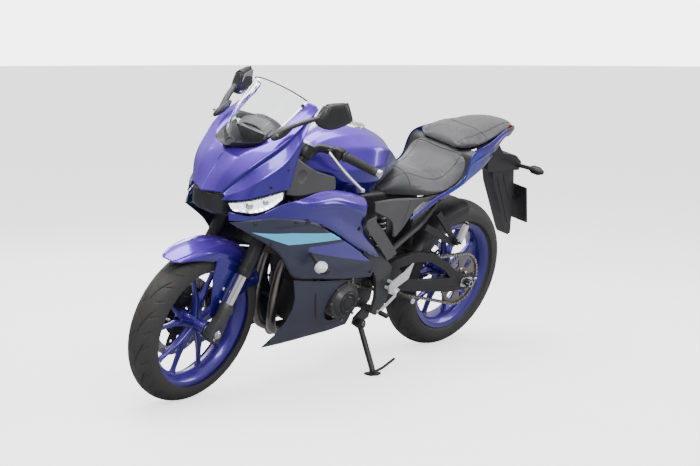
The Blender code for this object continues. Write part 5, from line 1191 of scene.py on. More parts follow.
FENDER = [  # degrees ahead of the axle's vertical, crown radius, edge radius, half-width
    (-60, 0.306, 0.262, 0.062), (-54, 0.309, 0.232, 0.066), (-44, 0.313, 0.226, 0.067),
    (-26, 0.317, 0.246, 0.067), (-6, 0.322, 0.262, 0.067), (8, 0.325, 0.266, 0.067),
    (18, 0.328, 0.286, 0.064), (26, 0.331, 0.306, 0.058), (33, 0.334, 0.322, 0.044),
    (36, 0.335, 0.331, 0.026)]
FENDER_LOBE = [  # along the steering axis and forward of it
    (0.560, 0.170), (0.484, 0.145), (0.410, 0.092), (0.352, 0.062), (0.346, 0.010),
    (0.360, -0.004), (0.430, -0.010), (0.493, -0.068), (0.560, -0.080)]


def flank_grid(table, columns, rows, inset=0.0, side=1, relief=None):
    """Grid of a flank panel: the table's cubic in (x, z), out to the flank's half-width."""
    places = net(np.asarray(table, float), columns, rows)
    x, z = places[..., 0], places[..., 1]
    y = flank(x, z) - inset
    if relief is not None:
        along, down = np.meshgrid(np.linspace(0, 1, columns), np.linspace(0, 1, rows), indexing="ij")
        y = y + relief(x, z, along, down)
    return np.stack([x, y * side, z], -1)


def valley(value, centre, half):
    """1 at the centre, falling smoothly to 0 at half on both sides."""
    return np.clip(1 - np.abs(value - centre) / half, 0, 1) ** 2 * (
        3 - 2 * np.clip(1 - np.abs(value - centre) / half, 0, 1))


def make_cowls():
    """Flank panels, each a grid over the flank with its own folds, slots and returned edges."""
    def mid_relief(x, z, along, down):
        turned_in = -0.034 * (1 - np.clip(down / 0.22, 0, 1)) ** 2 * np.clip((1.20 - x) / 0.15, 0, 1)
        fold = 0.004 * valley(down, 0.30, 0.10) * np.clip((1.16 - x) / 0.12, 0, 1)
        hollow = -0.010 * valley(down, 0.62, 0.30) * np.clip((1.12 - x) / 0.20, 0, 1)
        edge = -0.005 * np.clip(1 - (1 - down) / 0.05, 0, 1) ** 2
        return turned_in + fold + hollow + edge

    def side_relief(x, z, along, down):
        crease = 0.005 * valley(z - 0.52 - 0.10 * (x - 0.9), 0.0, 0.045) * np.clip((1.22 - x) / 0.1, 0, 1)
        edges = -0.006 * (np.clip(1 - down / 0.04, 0, 1) ** 2 + np.clip(1 - (1 - down) / 0.04, 0, 1) ** 2)
        return crease + edges

    def cover_relief(x, z, along, down):
        groove = -0.0035 * valley(along, 0.545, 0.022)
        return groove - 0.006 * (np.clip(1 - down / 0.05, 0, 1) ** 2
                                 + np.clip(1 - (1 - down) / 0.05, 0, 1) ** 2)

    def knee_relief(x, z, along, down):
        cup = -0.010 * np.clip(1 - ((x - 1.150) ** 2 + (z - 0.872) ** 2) / 0.022 ** 2, 0, 1) ** 0.5
        return cup - 0.004 * np.clip(1 - down / 0.06, 0, 1) ** 2

    for tag, side in SIDES.items():
        facing = (0.0, side, 0.0)
        for node, table, columns, rows, inset, relief, finish in (
                ("mid_cowl", MID_COWL, 130, 48, 0.006, mid_relief, "mid_paint"),
                ("side_cowl", SIDE_COWL, 130, 52, 0.0, side_relief, "navy_stripes"),
                ("frame_cover", FRAME_COVER, 60, 12, -0.005, None, "grey_plastic"),
                ("knee_panel", KNEE_PANEL, 80, 40, 0.026, knee_relief, "grey_plastic"),
                ("side_cover", SIDE_COVER, 120, 40, -0.004, cover_relief, "grey_plastic")):
            grid = flank_grid(table, columns, rows, inset, side, relief)
            made(f"{node}_{tag}_skin", "chassis", finish, [shell(grid, sizes().panel_wall, facing)],
                 (f"{node}_{tag}",), 50)
        eased_edges(f"lower_cowl_{tag}", "navy_plastic", "chassis", 0.0008)
        trims = []
        for x, z in ((1.330, 0.712), (1.262, 0.640), (1.040, 0.690), (0.745, 0.540), (0.662, 0.452),
                     (1.095, 0.215), (0.700, 0.405), (0.160, 0.842), (0.330, 0.706)):
            y = float(flank(x, z))
            if x < 0.45:
                y = 0.1475 if x < 0.2 else 0.1632
            trims.append(bolt((x, side * (y + 0.0008), z), (0, side, 0), 0.0058, 0.0036))
        made(f"cowl_screws_{tag}", "chassis", "black_metal", trims)
        slots = []
        for line, half in (([(0.966, 0.411), (0.935, 0.352), (0.908, 0.308), (0.881, 0.277)], 0.0052),
                           ([(1.094, 0.484), (0.960, 0.461), (0.810, 0.4400), (0.700, 0.4250)], 0.0024),
                           ([(1.262, 0.700), (1.120, 0.705), (1.040, 0.684)], 0.0016)):
            x, z = row_at(line, np.linspace(0, 1, 40)).T
            ends = np.sin(math.pi * np.linspace(0.02, 0.98, 40)) ** 0.4
            path = np.stack([x, side * (flank(x, z) + 0.0002), z], 1)
            slots.append(swept(path, half * ends, 0.0011, (0, side, 0), 12))
        made(f"cowl_grooves_{tag}", "chassis", "black_plastic", slots, (), 50)
        lugs = []
        for k in range(2):
            x, z = 1.176 - 0.052 * k, 0.718 - 0.002 * k
            y = float(flank(x, z))
            lugs.append(block((x, side * (y + 0.0006), z), (0.026, 0.004, 0.010), None, 0.4))
        made(f"cowl_slots_{tag}", "chassis", "black_plastic", lugs)


def make_nose():
    """Nose skin: smooth along each line, with soft breaks across them; recessed under its wings."""
    along = np.linspace(0, 1, 84)
    across = np.linspace(0, 5, 76)[None]
    half = creased(row_at(np.asarray(NOSE_LINES, float).swapaxes(0, 1), along), 76, 0.16)
    depth = (sizes().nose_recess * np.clip(1 - np.abs(across - 3.05) / 0.85, 0, 1) ** 0.8
             * np.sin(math.pi * along[:, None]) ** 0.7)
    half[..., 1] -= depth * 0.85
    half[..., 2] += depth * 0.25
    half[..., 1] = np.maximum(half[..., 1], 0.0)
    wall = shell(half, sizes().panel_wall, (0.7, 0.7, 0.2))
    made("nose_skin", "chassis", "violet_paint", [wall, mirrored(wall, -1)], ("nose_cowl",), 48)
    fixings = []
    for side in SIDES.values():
        for x, y, z in ((1.292, 0.178, 0.842), (1.236, 0.190, 0.905)):
            fixings.append(bolt((x, side * y, z), (0.45, side * 0.86, 0.1), 0.0055, 0.0034))
    made("nose_screws", "chassis", "black_metal", fixings)


def screen_rows(count, wide):
    """Screen: at each share t along its edge a quarter-wave bow between the edge and the middle."""
    edge = [(1.356, 0.0, 0.9335), (1.320, 0.056, 0.9524), (1.284, 0.089, 0.9756),
            (1.205, 0.111, 1.045), (1.122, 0.1185, 1.121)]
    t = np.linspace(1 / 9, 1, count)
    side = row_at(edge, t)[:, None]
    middle = np.stack([1.356 - 0.148 * t - 0.01 * np.sin(math.pi * t), 0 * t,
                       0.9335 + 0.2335 * t + 0.028 * np.sin(math.pi * t)], 1)[:, None]
    a = np.linspace(-1, 1, wide)[None, :, None]
    blend = 1 - np.cos(np.abs(a) * math.pi / 2)
    flat = middle * (1 - blend) + side * (1, 0, 1) * blend
    flat[..., 1] = (side[..., 1] * np.sin(a[..., 0] * math.pi / 2))
    return flat


def make_screen():
    """Clear screen with a rolled lip, rubber grommets, a visor over the instrument and a lining below."""
    grid = screen_rows(60, 71)
    made("windscreen_glass", "chassis", "clear_screen", [shell(grid, 0.003, (0.7, 0, 0.7))],
         ("windscreen",), 60)
    top = grid[-1]
    made("windscreen_lip", "chassis", "black_plastic",
         [swept(top + (0.0006, 0, 0.0004), 0.0021, 0.0026, (0.6, 0, 0.8), 10)])
    grommets = []
    for side in SIDES.values():
        for place, out in (((1.272, 0.092, 0.988), (0.62, 0.46, 0.62)),
                           ((1.140, 0.1165, 1.104), (0.55, 0.60, 0.55))):
            grommets.append(bolt(np.array(place) * (1, side, 1)
                                 + np.array(out) * (0.003, side * 0.003, 0.003),
                                 np.array(out) * (1, side, 1), 0.0072, 0.0040))
    made("screen_grommets", "chassis", "black_plastic", grommets)
    visor = np.array([[(1.245, y, 1.012 - 3.2 * y * y), (1.215, y, 1.034 - 3.2 * y * y),
                       (1.176, y, 1.036 - 3.0 * y * y)] for y in np.linspace(-0.082, 0.082, 9)])
    made("instrument_visor", "chassis", "black_plastic", [shell(net(visor, 50, 24), 0.004, (0, 0, 1))],
         (), 50)
    along = np.linspace(1.205, 1.375, 40)[:, None]
    wide = np.interp(along, [1.17, 1.25, 1.30, 1.375], [0.134, 0.112, 0.090, 0.042])
    over = np.linspace(-1, 1, 41)[None]
    lining = np.stack([np.broadcast_to(along, (40, 41)), wide * over,
                       np.interp(along, [1.17, 1.30, 1.375], [0.926, 0.934, 0.950])
                       + np.interp(along, [1.17, 1.28, 1.375],
                                   [0.075, 0.050, 0.016]) * np.abs(over) ** 3], -1)
    made("cockpit_lining", "chassis", "black_plastic", [shell(lining, 0.002, (0, 0, 1))], (), 50)


def make_headlights():
    """Lamp lenses with a bowl, a rim and two projectors behind each."""
    lens = [((1.405, 0.772), (1.400, 0.758), (1.392, 0.746)),
            ((1.350, 0.792), (1.342, 0.768), (1.335, 0.748)),
            ((1.290, 0.814), (1.287, 0.792), (1.284, 0.770)),
            ((1.244, 0.830), (1.243, 0.820), (1.242, 0.806))]
    for tag, side in SIDES.items():
        outer = flank_grid(lens, 60, 30, 0.004, side)
        made(f"headlight_{tag}_lens", "chassis", "lamp_lens", [shell(outer, 0.0022, (0, side, 0))],
             (f"headlight_{tag}",), 60)

        def bowl(x, z, along, down):
            return -0.0085 * np.clip(np.sin(math.pi * down) * 1.6, 0, 1) * np.clip(
                np.sin(math.pi * along) * 2.2, 0, 1) + 0.0012 * np.cos(along * 60)

        back = flank_grid(lens, 70, 26, 0.0072, side, bowl)
        made(f"headlight_{tag}_bowl", "chassis", "reflector", [shell(back, 0.0016, (0, side, 0))], (), 50)
        edge = np.concatenate([outer[:, 0], outer[-1, 1:-1], outer[::-1, -1], outer[0, -2:0:-1]])
        ring = np.concatenate([edge, edge[:2]])
        path = row_at(ring, np.linspace(0, 1, 200)) - (0, side * 0.0014, 0)
        made(f"headlight_{tag}_rim", "chassis", "black_plastic",
             [swept(path, 0.0020, 0.0024, (0, 1, 0.01), 8)], (), 60)
        lamps = []
        for x, z, size in ((1.352, 0.771, 0.0150), (1.304, 0.789, 0.0125)):
            y = side * (float(flank(x, z)) - 0.0075)
            out = (0.70, side * 0.70, 0.05)
            lamps.append(turned([(0.0, 0.0062), (size * 0.55, 0.0050), (size * 0.80, 0.0022),
                                 (size * 0.82, 0.0012), (size, 0.0006), (size, -0.003), (0.0, -0.003)],
                                (x, y, z), out, 32))
        made(f"headlight_{tag}_lamps", "chassis", "chrome", lamps)


def tank_rows(count, wide):
    """Tank: seven outline points a section, softly broken across, the cubic along."""
    x = np.linspace(0, 1, count)
    rows = row_at(TANK, x)
    along, crown, broad, top, shoulder, low, lead = rows.T
    pinch = np.interp(along, [0.70, 0.86, 1.02], [0.56, 0.50, 0.48])
    t = np.clip((along - 0.70) / 0.16, 0, 1)
    pinch = np.where(along < 0.86, 0.56 - 0.06 * t * t * (3 - 2 * t), pinch)
    outline = np.stack([
        np.stack([0 * top, top], -1), np.stack([crown * 0.6, top - 0.004], -1),
        np.stack([crown, top - 0.018], -1),
        np.stack([(crown + broad) * pinch, (top + shoulder) / 2 + 0.010], -1),
        np.stack([broad, shoulder], -1), np.stack([broad * 0.94, (shoulder + low) / 2], -1),
        np.stack([broad * 0.80, low], -1)], 1)
    back = along[:, None] + lead[:, None] * (top[:, None] - outline[..., 1]) / (top - low)[:, None]
    control = np.stack([back, outline[..., 0], outline[..., 1]], -1)
    return creased(control, wide, 0.15)


CAP = np.array([0.728, 0.0, 0.972])


def make_tank():
    """Tank skin with a filler rim sunk in its top, and the cap with its key cover."""
    half = tank_rows(120, 72)
    loop = np.concatenate([half, mirrored(half[:, ::-1], -1)[:, 1:-1]], 1)
    away = np.hypot(loop[..., 0] - CAP[0], loop[..., 1])
    sunk = np.clip((0.0500 - away) / 0.0035, 0, 1) * (loop[..., 2] > CAP[2] - 0.03)
    loop[..., 2] = loop[..., 2] * (1 - sunk) + (CAP[2] - 0.0012) * sunk
    made("tank_skin", "chassis", "violet_paint", [capped(loop)], ("tank",), 46)
    base = CAP + (0, 0, 0.0003)
    made("fuel_cap_lid", "fuel_cap", "silver_metal",
         [turned([(0.0, 0.0182), (0.020, 0.0182), (0.0215, 0.0172), (0.030, 0.0172), (0.0312, 0.0182),
                  (0.0400, 0.0180), (0.0442, 0.0160), (0.0458, 0.0130), (0.0460, 0.0), (0.0, 0.0)],
                 base, (0, 0, 1), 72)], ("fuel_cap",), 40)
    ring = [bolt(base + (0.0372 * math.cos(a), 0.0372 * math.sin(a), 0.0182), (0, 0, 1), 0.0030, 0.0022)
            for a in 2 * math.pi * np.arange(6) / 6]
    ring.append(block(base + (0.002, 0, 0.0192), (0.024, 0.012, 0.0045), None, 0.5))
    made("fuel_cap_fittings", "fuel_cap", "chrome", ring)


def make_tail():
    """Tail's side panels with their dark end, the end tray, the lamp and the base under both seats."""
    grids = []
    x, wide, low, high = row_at(TAIL, np.linspace(0, 1, 120)).T
    for side in SIDES.values():
        down = np.linspace(0, 1, 34)[None]
        tall = high[:, None] + (low - high)[:, None] * down
        bow = wide[:, None] - 0.004 + 0.004 * np.sin(math.pi * np.clip(down, 0, 1)) ** 0.6
        fold = 0.0025 * valley(down, 0.40, 0.10) * np.clip((0.20 - x) / 0.1, 0, 1)[:, None]
        grid = np.stack([np.broadcast_to(x[:, None], tall.shape), side * (bow + fold - 0.0008), tall], -1)
        grids.append(shell(grid, sizes().panel_wall, (0, side, 0)))
    tray = np.stack([np.stack([x[94:], y * (wide[94:] - 0.0045), low[94:] + 0.008], 1)
                     for y in np.linspace(-1, 1, 9)], 1)
    grids.append(shell(tray, 0.004, (0, 0, 1)))
    made("tail_skin", "chassis", "tail_paint", grids, ("tail_cowl",), 45)
    eased_edges("tail_lamp", "red_lens", "chassis", 0.0015)
    at = np.linspace(0.150, -0.140, 40)
    seat_rows = eased(PILLION, at)
    liner = np.stack([np.stack([at, y * (seat_rows[:, 0] * 0.86), seat_rows[:, 3] - 0.0070], 1)
                      for y in np.linspace(-1, 1, 15)], 1)
    at = np.linspace(0.440, 0.152, 50)
    sides, seat = eased(TAIL, at), eased(SEAT, at)
    half = seat[:, 0] * 0.88 + (sides[:, 0] - 0.004 - seat[:, 0] * 0.88) * np.clip((0.37 - at) / 0.04, 0, 1)
    tray = np.stack([np.stack([at, y * half, np.maximum(sides[:, 2] - 0.006, seat[:, 3] + 0.004)], 1)
                     for y in np.linspace(-1, 1, 9)], 1)
    made("pillion_base", "chassis", "black_plastic",
         [shell(liner, 0.004, (0, 0, 1)), shell(tray, 0.003, (0, 0, 1)),
          block((0.440, 0.0, 0.695), (0.190, 0.180, 0.060), None, 0.2)], (), 50)


def make_fender():
    """Front mudguard: crown arc over an edge line, its side lobe as a rounded plate, and bolts."""
    rows = eased(FENDER, np.linspace(-60, 36, 140))
    angle = np.radians(np.linspace(-60, 36, 140))[:, None]
    crown, edge, half = (rows[:, k][:, None] for k in range(3))
    share = np.linspace(-1, 1, 61)[None]
    turn = np.abs(share) * math.pi / 2
    radius = edge + (crown - edge) * np.clip(np.cos(turn), 0, 1) ** 0.8
    ridge = 0.0028 * valley(np.abs(share), 0.46, 0.06)
    radius = radius + ridge
    y = np.sign(share) * half * np.sin(turn) ** 0.8
    grid = np.stack([FRONT_AXLE[0] + radius * np.sin(angle), np.broadcast_to(y, radius.shape),
                     FRONT_AXLE[2] + radius * np.cos(angle)], -1)
    outline = np.array(FENDER_LOBE)
    lobe = rounded(np.stack([fork_point(u, 0.0, f) for u, f in outline])[:, [0, 2]], 0.022, 6)
    plate = sheet([lobe], 0.0046, (0, 0.0657, 0), FLAT_ON_SIDE, 0.0010)
    made("front_fender_skin", "steering", "violet_paint", [shell(grid, sizes().panel_wall, (0, 0, 1)), plate],
         ("front_fender",), 50)
    heads = [bolt(fork_point(u, 0.0684, f), (0, 1, 0), 0.0072) for u, f in ((0.459, 0.062), (0.413, 0.044))]
    made("front_fender_bolts", "steering", "chrome", heads)


# ---------------------------------------------------------------- fork, bars and brakes

FORK_TOP = AXLE_U + 0.735
FORK_BREAK = 0.235
CLIP_U = FORK_TOP - 0.026
LEG = FORK_OFFSET


def leg_turned(profile, side, steps=40):
    """Turned piece round one fork leg; heights are measured up the steering axis."""
    return turned(profile, fork_point(0.0, side * FORK_Y, LEG), tuple(STEERING_AXIS), steps, True)


def make_fork():
    """Fork: black upper tubes with clamps, bright inner tubes, cast feet, axle and caliper."""
    eased_edges("fork_yokes", "black_metal", "steering", 0.0015)
    low, high = AXLE_U + 0.030, AXLE_U + FORK_BREAK
    tubes, feet, seals, caps, brakes, bright = [], [], [], [], [], []
    for side in (-1, 1):
        tubes.append(leg_turned([(0.004, low + 0.05), (0.0185, low + 0.05), (0.0185, high - 0.002),
                                 (0.004, high - 0.002)], side))
        seals.append(leg_turned([(0.0188, high - 0.012), (0.0245, high - 0.011), (0.0262, high - 0.006),
                                 (0.0266, high + 0.010), (0.0262, high + 0.014),
                                 (0.0188, high + 0.014)], side))
        feet.append(leg_turned([(0.004, low), (0.0225, low), (0.0245, low + 0.010), (0.0248, low + 0.052),
                                (0.0262, low + 0.058), (0.0262, low + 0.072), (0.0235, low + 0.082),
                                (0.0190, low + 0.084), (0.004, low + 0.084)], side))
        foot = [(-0.022, -0.030), (0.022, -0.030), (0.027, -0.010), (0.026, 0.020), (0.022, 0.052),
                (-0.022, 0.052), (-0.026, 0.020), (-0.027, -0.010)]
        outline = rounded(np.array(foot), 0.010, 5)
        flat = np.stack([fork_point(AXLE_U + b, 0.0, LEG + a) for a, b in outline])[:, [0, 2]]
        feet.append(sheet([flat], 0.034, (0, side * FORK_Y, 0), FLAT_ON_SIDE, 0.003))
        caps.append(leg_turned([(0.0, FORK_TOP + 0.002), (0.010, FORK_TOP + 0.002), (0.011, FORK_TOP + 0.009),
                                (0.017, FORK_TOP + 0.009), (0.021, FORK_TOP + 0.004),
                                (0.0235, FORK_TOP + 0.003),
                                (0.0235, FORK_TOP - 0.004), (0.0, FORK_TOP - 0.004)], side))
        for y, size, steps in ((0.1145, 0.0150, 36), (0.1195, 0.0112, 6)):
            bright.append(turned([(0.0, -0.006), (size, -0.006), (size, 0.0028), (size - 0.0015, 0.0040),
                                  (0.0, 0.0040)], FRONT_AXLE + (0, side * y, 0), (0, side, 0), steps))
        bright.append(bolt(fork_point(AXLE_U - 0.020, side * (FORK_Y + 0.0172), LEG + 0.004),
                           (0, side, 0), 0.0052))
    bright.append(turned([(0.0, -0.112), (0.0085, -0.112), (0.0085, 0.112), (0.0, 0.112)], FRONT_AXLE,
                         steps=32))
    made("fork_inner_tubes", "steering", "chrome", tubes, ("fork_lowers",), 40)
    made("fork_feet", "steering", "cast_metal", feet, (), 40)
    made("fork_seals", "steering", "black_plastic", seals, (), 40)
    made("fork_caps", "steering", "silver_metal", caps, (), 35)
    made("front_axle_nuts", "steering", "silver_metal", bright, (), 35)

    reach = FRONT_DISC_RADIUS * 0.90
    turn = np.array([unit(np.array([0.72, 0, 0.69])), [0, 1, 0], unit(np.array([-0.69, 0, 0.72]))]).T
    turn = np.array(Matrix.Rotation(-RAKE, 3, "Y")) @ turn
    middle = fork_point(AXLE_U + reach * 0.72, -0.066, LEG - reach * 0.69)
    away = turn[:, 2]
    for y, deep in ((-0.024, 0.020), (0.021, 0.015)):
        brakes.append(block(middle + (0, y, 0), (0.104, deep, 0.058), turn, 0.3))
        for along in (-0.024, 0.024):
            brakes.append(turned([(0.0, -0.003), (0.0175, -0.003), (0.0175, 0.004), (0.0150, 0.0052),
                                  (0.0, 0.0052)],
                                 middle + turn[:, 0] * along + (0, y + math.copysign(deep / 2, y), 0),
                                 (0, math.copysign(1, y), 0), 32))
    hub_out = unit(middle - FRONT_AXLE) * np.array([1, 0, 1])
    bridge = FRONT_AXLE + hub_out * (FRONT_DISC_RADIUS + 0.016) + (0, -0.064, 0)
    brakes.append(block(bridge, (0.088, 0.060, 0.014), turn, 0.4))
    brakes.append(swept([fork_point(AXLE_U + 0.036, -0.090, LEG),
                         fork_point(AXLE_U + 0.066, -0.092, LEG - 0.03),
                         middle + (0, -0.020, 0)], 0.011, 0.008, (0, 1, 0), 16))
    made("front_caliper", "steering", "black_metal", brakes, (), 40)
    pins = [bolt(middle + turn[:, 0] * a + away * b + (0, -0.0345, 0), (0, -1, 0), 0.0050)
            for a, b in ((-0.046, 0.0), (0.046, 0.0), (0.0, 0.016))]
    made("front_caliper_bolts", "steering", "silver_metal", pins)


def make_bars():
    """Clip-on bars: clamp, bar, switch box, perch, lever with a ball end, and ribbed grips."""
    for tag, side in SIDES.items():
        keep = np.array([1.0, side, 1.0])
        clip = fork_point(CLIP_U, FORK_Y, LEG)
        inner, end = clip + (-0.0854, 0.1150, 0.0125), clip + (-0.1224, 0.2410, -0.0095)
        run = unit(end - inner)
        root = inner - run * 0.075
        black, bright = [], []
        black.append(mirrored(leg_turned([(0.0264, CLIP_U - 0.018), (0.0335, CLIP_U - 0.018),
                                          (0.0345, CLIP_U - 0.015), (0.0345, CLIP_U + 0.015),
                                          (0.0335, CLIP_U + 0.018), (0.0264, CLIP_U + 0.018)], 1), side))
        black.append(mirrored(swept([root, inner, end, end + run * 0.004], 0.011, 0.011, sides=24), side))
        neck = row_at([fork_point(CLIP_U, FORK_Y + 0.006, LEG - 0.030),
                       (root + clip) / 2 + (-0.014, 0, 0.002),
                       root + run * 0.020], np.linspace(0, 1, 16))
        black.append(mirrored(swept(neck, 0.0125, 0.0145, sides=20, power=2.6), side))
        level = unit(np.cross((0, 0, 1.0), run))
        frame = np.array([run, level, np.cross(run, level)]).T
        for along, size in ((-0.046, (0.030, 0.034, 0.032)), (-0.024, (0.036, 0.040, 0.048))):
            black.append(mirrored(block(inner + run * along + (0.003, 0, -0.001), size, frame, 0.3), side))
        black.append(mirrored(swept([inner - run * 0.044, inner - run * 0.040 + (0.048, 0, 0.004)],
                                    0.009, 0.008,
                                    sides=16), side))
        made(f"handlebar_{tag}_parts", "steering", "black_metal", black, (f"handlebar_{tag}",), 40)
        knobs = []
        for along, up, size in ((-0.030, 0.024, 0.006), (-0.014, 0.0235, 0.005)):
            knobs.append(turned([(0.0, 0.004), (size * 0.8, 0.004), (size, 0.002), (size, -0.004),
                                 (0.0, -0.004)],
                                (inner + run * along + (-0.014, 0, up * 0.6)) * keep, (-0.8, 0, 0.6), 20))
        made(f"switch_buttons_{tag}", "steering", "grey_plastic", knobs, (), 40)
        lever = row_at([inner - run * 0.040 + (0.040, 0, 0.004), inner + run * 0.020 + (0.058, 0, -0.016),
                        inner + run * 0.080 + (0.062, 0, -0.040), inner + run * 0.125 + (0.060, 0, -0.058)],
                       np.linspace(0, 1, 40))
        share = np.linspace(0, 1, 40)
        bright.append(mirrored(swept(lever, 0.0072 - 0.0022 * share, 0.0058 - 0.0010 * share,
                                     (0, 0, 1), 16, 2.6), side))
        bright.append(turned([(0.0, 0.0085), (0.0042, 0.0074), (0.0074, 0.0042), (0.0085, 0.0),
                              (0.0074, -0.0042),
                              (0.0042, -0.0074), (0.0, -0.0085)], (lever[-1] + (0, 0.004, -0.002)) * keep,
                             unit((lever[-1] - lever[-3])) * keep, 20))
        bright.append(turned([(0.0, -0.001), (0.0152, -0.001), (0.0162, 0.001), (0.0162, 0.011),
                              (0.0140, 0.0135),
                              (0.0, 0.0135)], end * keep, run * keep, 36))
        made(f"lever_{tag}", "steering", "silver_metal", bright, (), 40)
        length = float(np.linalg.norm(end - inner))
        ribs = []
        for k in range(sizes().grip_ribs):
            at = 0.014 + (length - 0.030) * k / sizes().grip_ribs
            ribs += [(0.0148, at), (0.0162, at + 0.0010), (0.0162, at + 0.0026), (0.0148, at + 0.0036)]
        profile = [(0.0116, 0.0004), (0.0205, 0.0004), (0.0212, 0.0020), (0.0205, 0.0046),
                   (0.0160, 0.0070)] + ribs + [
            (0.0158, length - 0.008), (0.0168, length - 0.005), (0.0160, length - 0.0015),
            (0.0116, length - 0.0015)]
        made(f"grip_{tag}_rubber", "steering", "grip_rubber",
             [turned(profile, inner * keep, run * keep, 40, True)], (f"grip_{tag}",), 35)


# ---------------------------------------------------------------- seats

def cushion_grid(table, inset, count=120, wide=44):
    """Closed seat form: the table's cubic along, a cubic through six outline points across."""
    x, broad, top, edge, low = row_at(table, np.linspace(0, 1, count)).T
    broad, top, low = broad - inset, top - inset * 0.8, low + inset * 0.2
    edge = np.maximum(edge - inset * 0.4, low + 0.003)
    outline = np.stack([np.stack(pair, -1) for pair in (
        (0 * top, top), (broad * 0.45, top - (top - edge) * 0.08), (broad * 0.80, top - (top - edge) * 0.38),
        (broad, edge), (broad * 0.985, (edge + low) / 2), (broad * 0.90, low))])
    line = row_at(outline, np.linspace(0, 1, wide)).swapaxes(0, 1)
    half = np.stack([np.broadcast_to(x[:, None], line.shape[:2]), line[..., 0], line[..., 1]], -1)
    return capped(np.concatenate([half, mirrored(half[:, ::-1], -1)[:, 1:-1]], 1))


def swell(item, voxel, cap):
    """Let a cushion swell: voxel remesh, cloth under pressure without gravity, movement capped."""
    remesh = item.modifiers.new("even", "REMESH")
    remesh.mode = "VOXEL"
    remesh.voxel_size = voxel
    graph = bpy.context.evaluated_depsgraph_get()
    even = bpy.data.meshes.new_from_object(item.evaluated_get(graph))
    item.modifiers.clear()
    item.data = even
    before = np.empty(len(even.vertices) * 3)
    even.vertices.foreach_get("co", before)
    before = before.reshape(-1, 3)
    facing = np.empty(len(even.vertices) * 3)
    even.vertices.foreach_get("normal", facing)
    held = item.vertex_groups.new(name="held")
    held.add(np.nonzero(facing.reshape(-1, 3)[:, 2] < -0.35)[0].tolist(), 1.0, "REPLACE")
    cloth = item.modifiers.new("swell", "CLOTH")
    cloth.settings.use_pressure = True
    cloth.settings.uniform_pressure_force = 4.0
    cloth.settings.effector_weights.gravity = 0.0
    cloth.settings.vertex_group_mass = "held"
    cloth.settings.quality = 5
    cloth.point_cache.frame_end = 20
    scene = bpy.context.scene
    for frame in range(1, 21):
        scene.frame_set(frame)
    after = np.empty(len(even.vertices) * 3)
    item.evaluated_get(bpy.context.evaluated_depsgraph_get()).data.vertices.foreach_get("co", after)
    moved = after.reshape(-1, 3) - before
    length = np.linalg.norm(moved, axis=1, keepdims=True)
    moved *= np.minimum(1.0, cap / np.maximum(length, 1e-9))
    item.modifiers.clear()
    even.vertices.foreach_set("co", (before + moved).ravel())
    even.update()
    scene.frame_set(1)


def laid_on(item, points):
    """Points dropped straight down on to an object's surface."""
    work = bmesh.new()
    work.from_mesh(item.data)
    tree = BVHTree.FromBMesh(work)
    work.free()
    down = Vector((0, 0, -1))
    hits = [tree.ray_cast(Vector(point) - down * 0.2, down)[0] for point in points]
    return np.array([tuple(hit) for hit in hits if hit is not None])


def make_seats():
    """Rider's and pillion's seats: swollen foam under vinyl, with sewn lines."""
    swell_by = sizes().seat_swell
    for node, table, cap, fill_share, share, places, bow, wave in (
            ("rider_seat", SEAT, swell_by, 0.7, 0.70, (0.176, 0.470), 0.012, 10),
            ("pillion_seat", PILLION, swell_by * 0.85, 0.75, 0.74, (0.046,), 0.030, 12)):
        mesh = bpy.data.meshes.new(node + "_foam")
        fill(mesh, [cushion_grid(table, 0.004)])
        item = bpy.data.objects.new(node + "_foam", mesh)
        bpy.context.collection.objects.link(item)
        swell(item, 0.005, cap)
        x, broad, top = row_at(table, np.linspace(0, 1, 80)).T[:3]
        sewn = []
        for side in (-1, 1):
            line = laid_on(item, np.stack([x[5:-5], side * broad[5:-5] * share, top[5:-5]], 1))
            sewn.append(swept(line, 0.0013, 0.0011, sides=8))
        for at in places:
            y = np.linspace(-1, 1, 60) * np.interp(at, x[::-1], broad[::-1]) * 0.96
            line = laid_on(item, np.stack([at + bow * np.cos(y * wave), y, np.full(60, 1.0)], 1))
            sewn.append(swept(line, 0.0016, 0.0012, (1, 0, 0), 8))
        settle(item, "seat_vinyl", "chassis", (node,), 70)
        made(node + "_seams", "chassis", "black_plastic", sewn, (), 60)


# ---------------------------------------------------------------- power, rear and small parts

SILENCER = [  # share of its length, half-width, half-height
    (0.0, 0.030, 0.032), (0.06, 0.048, 0.058), (0.5, 0.052, 0.066), (0.90, 0.050, 0.062),
    (1.0, 0.036, 0.046)]


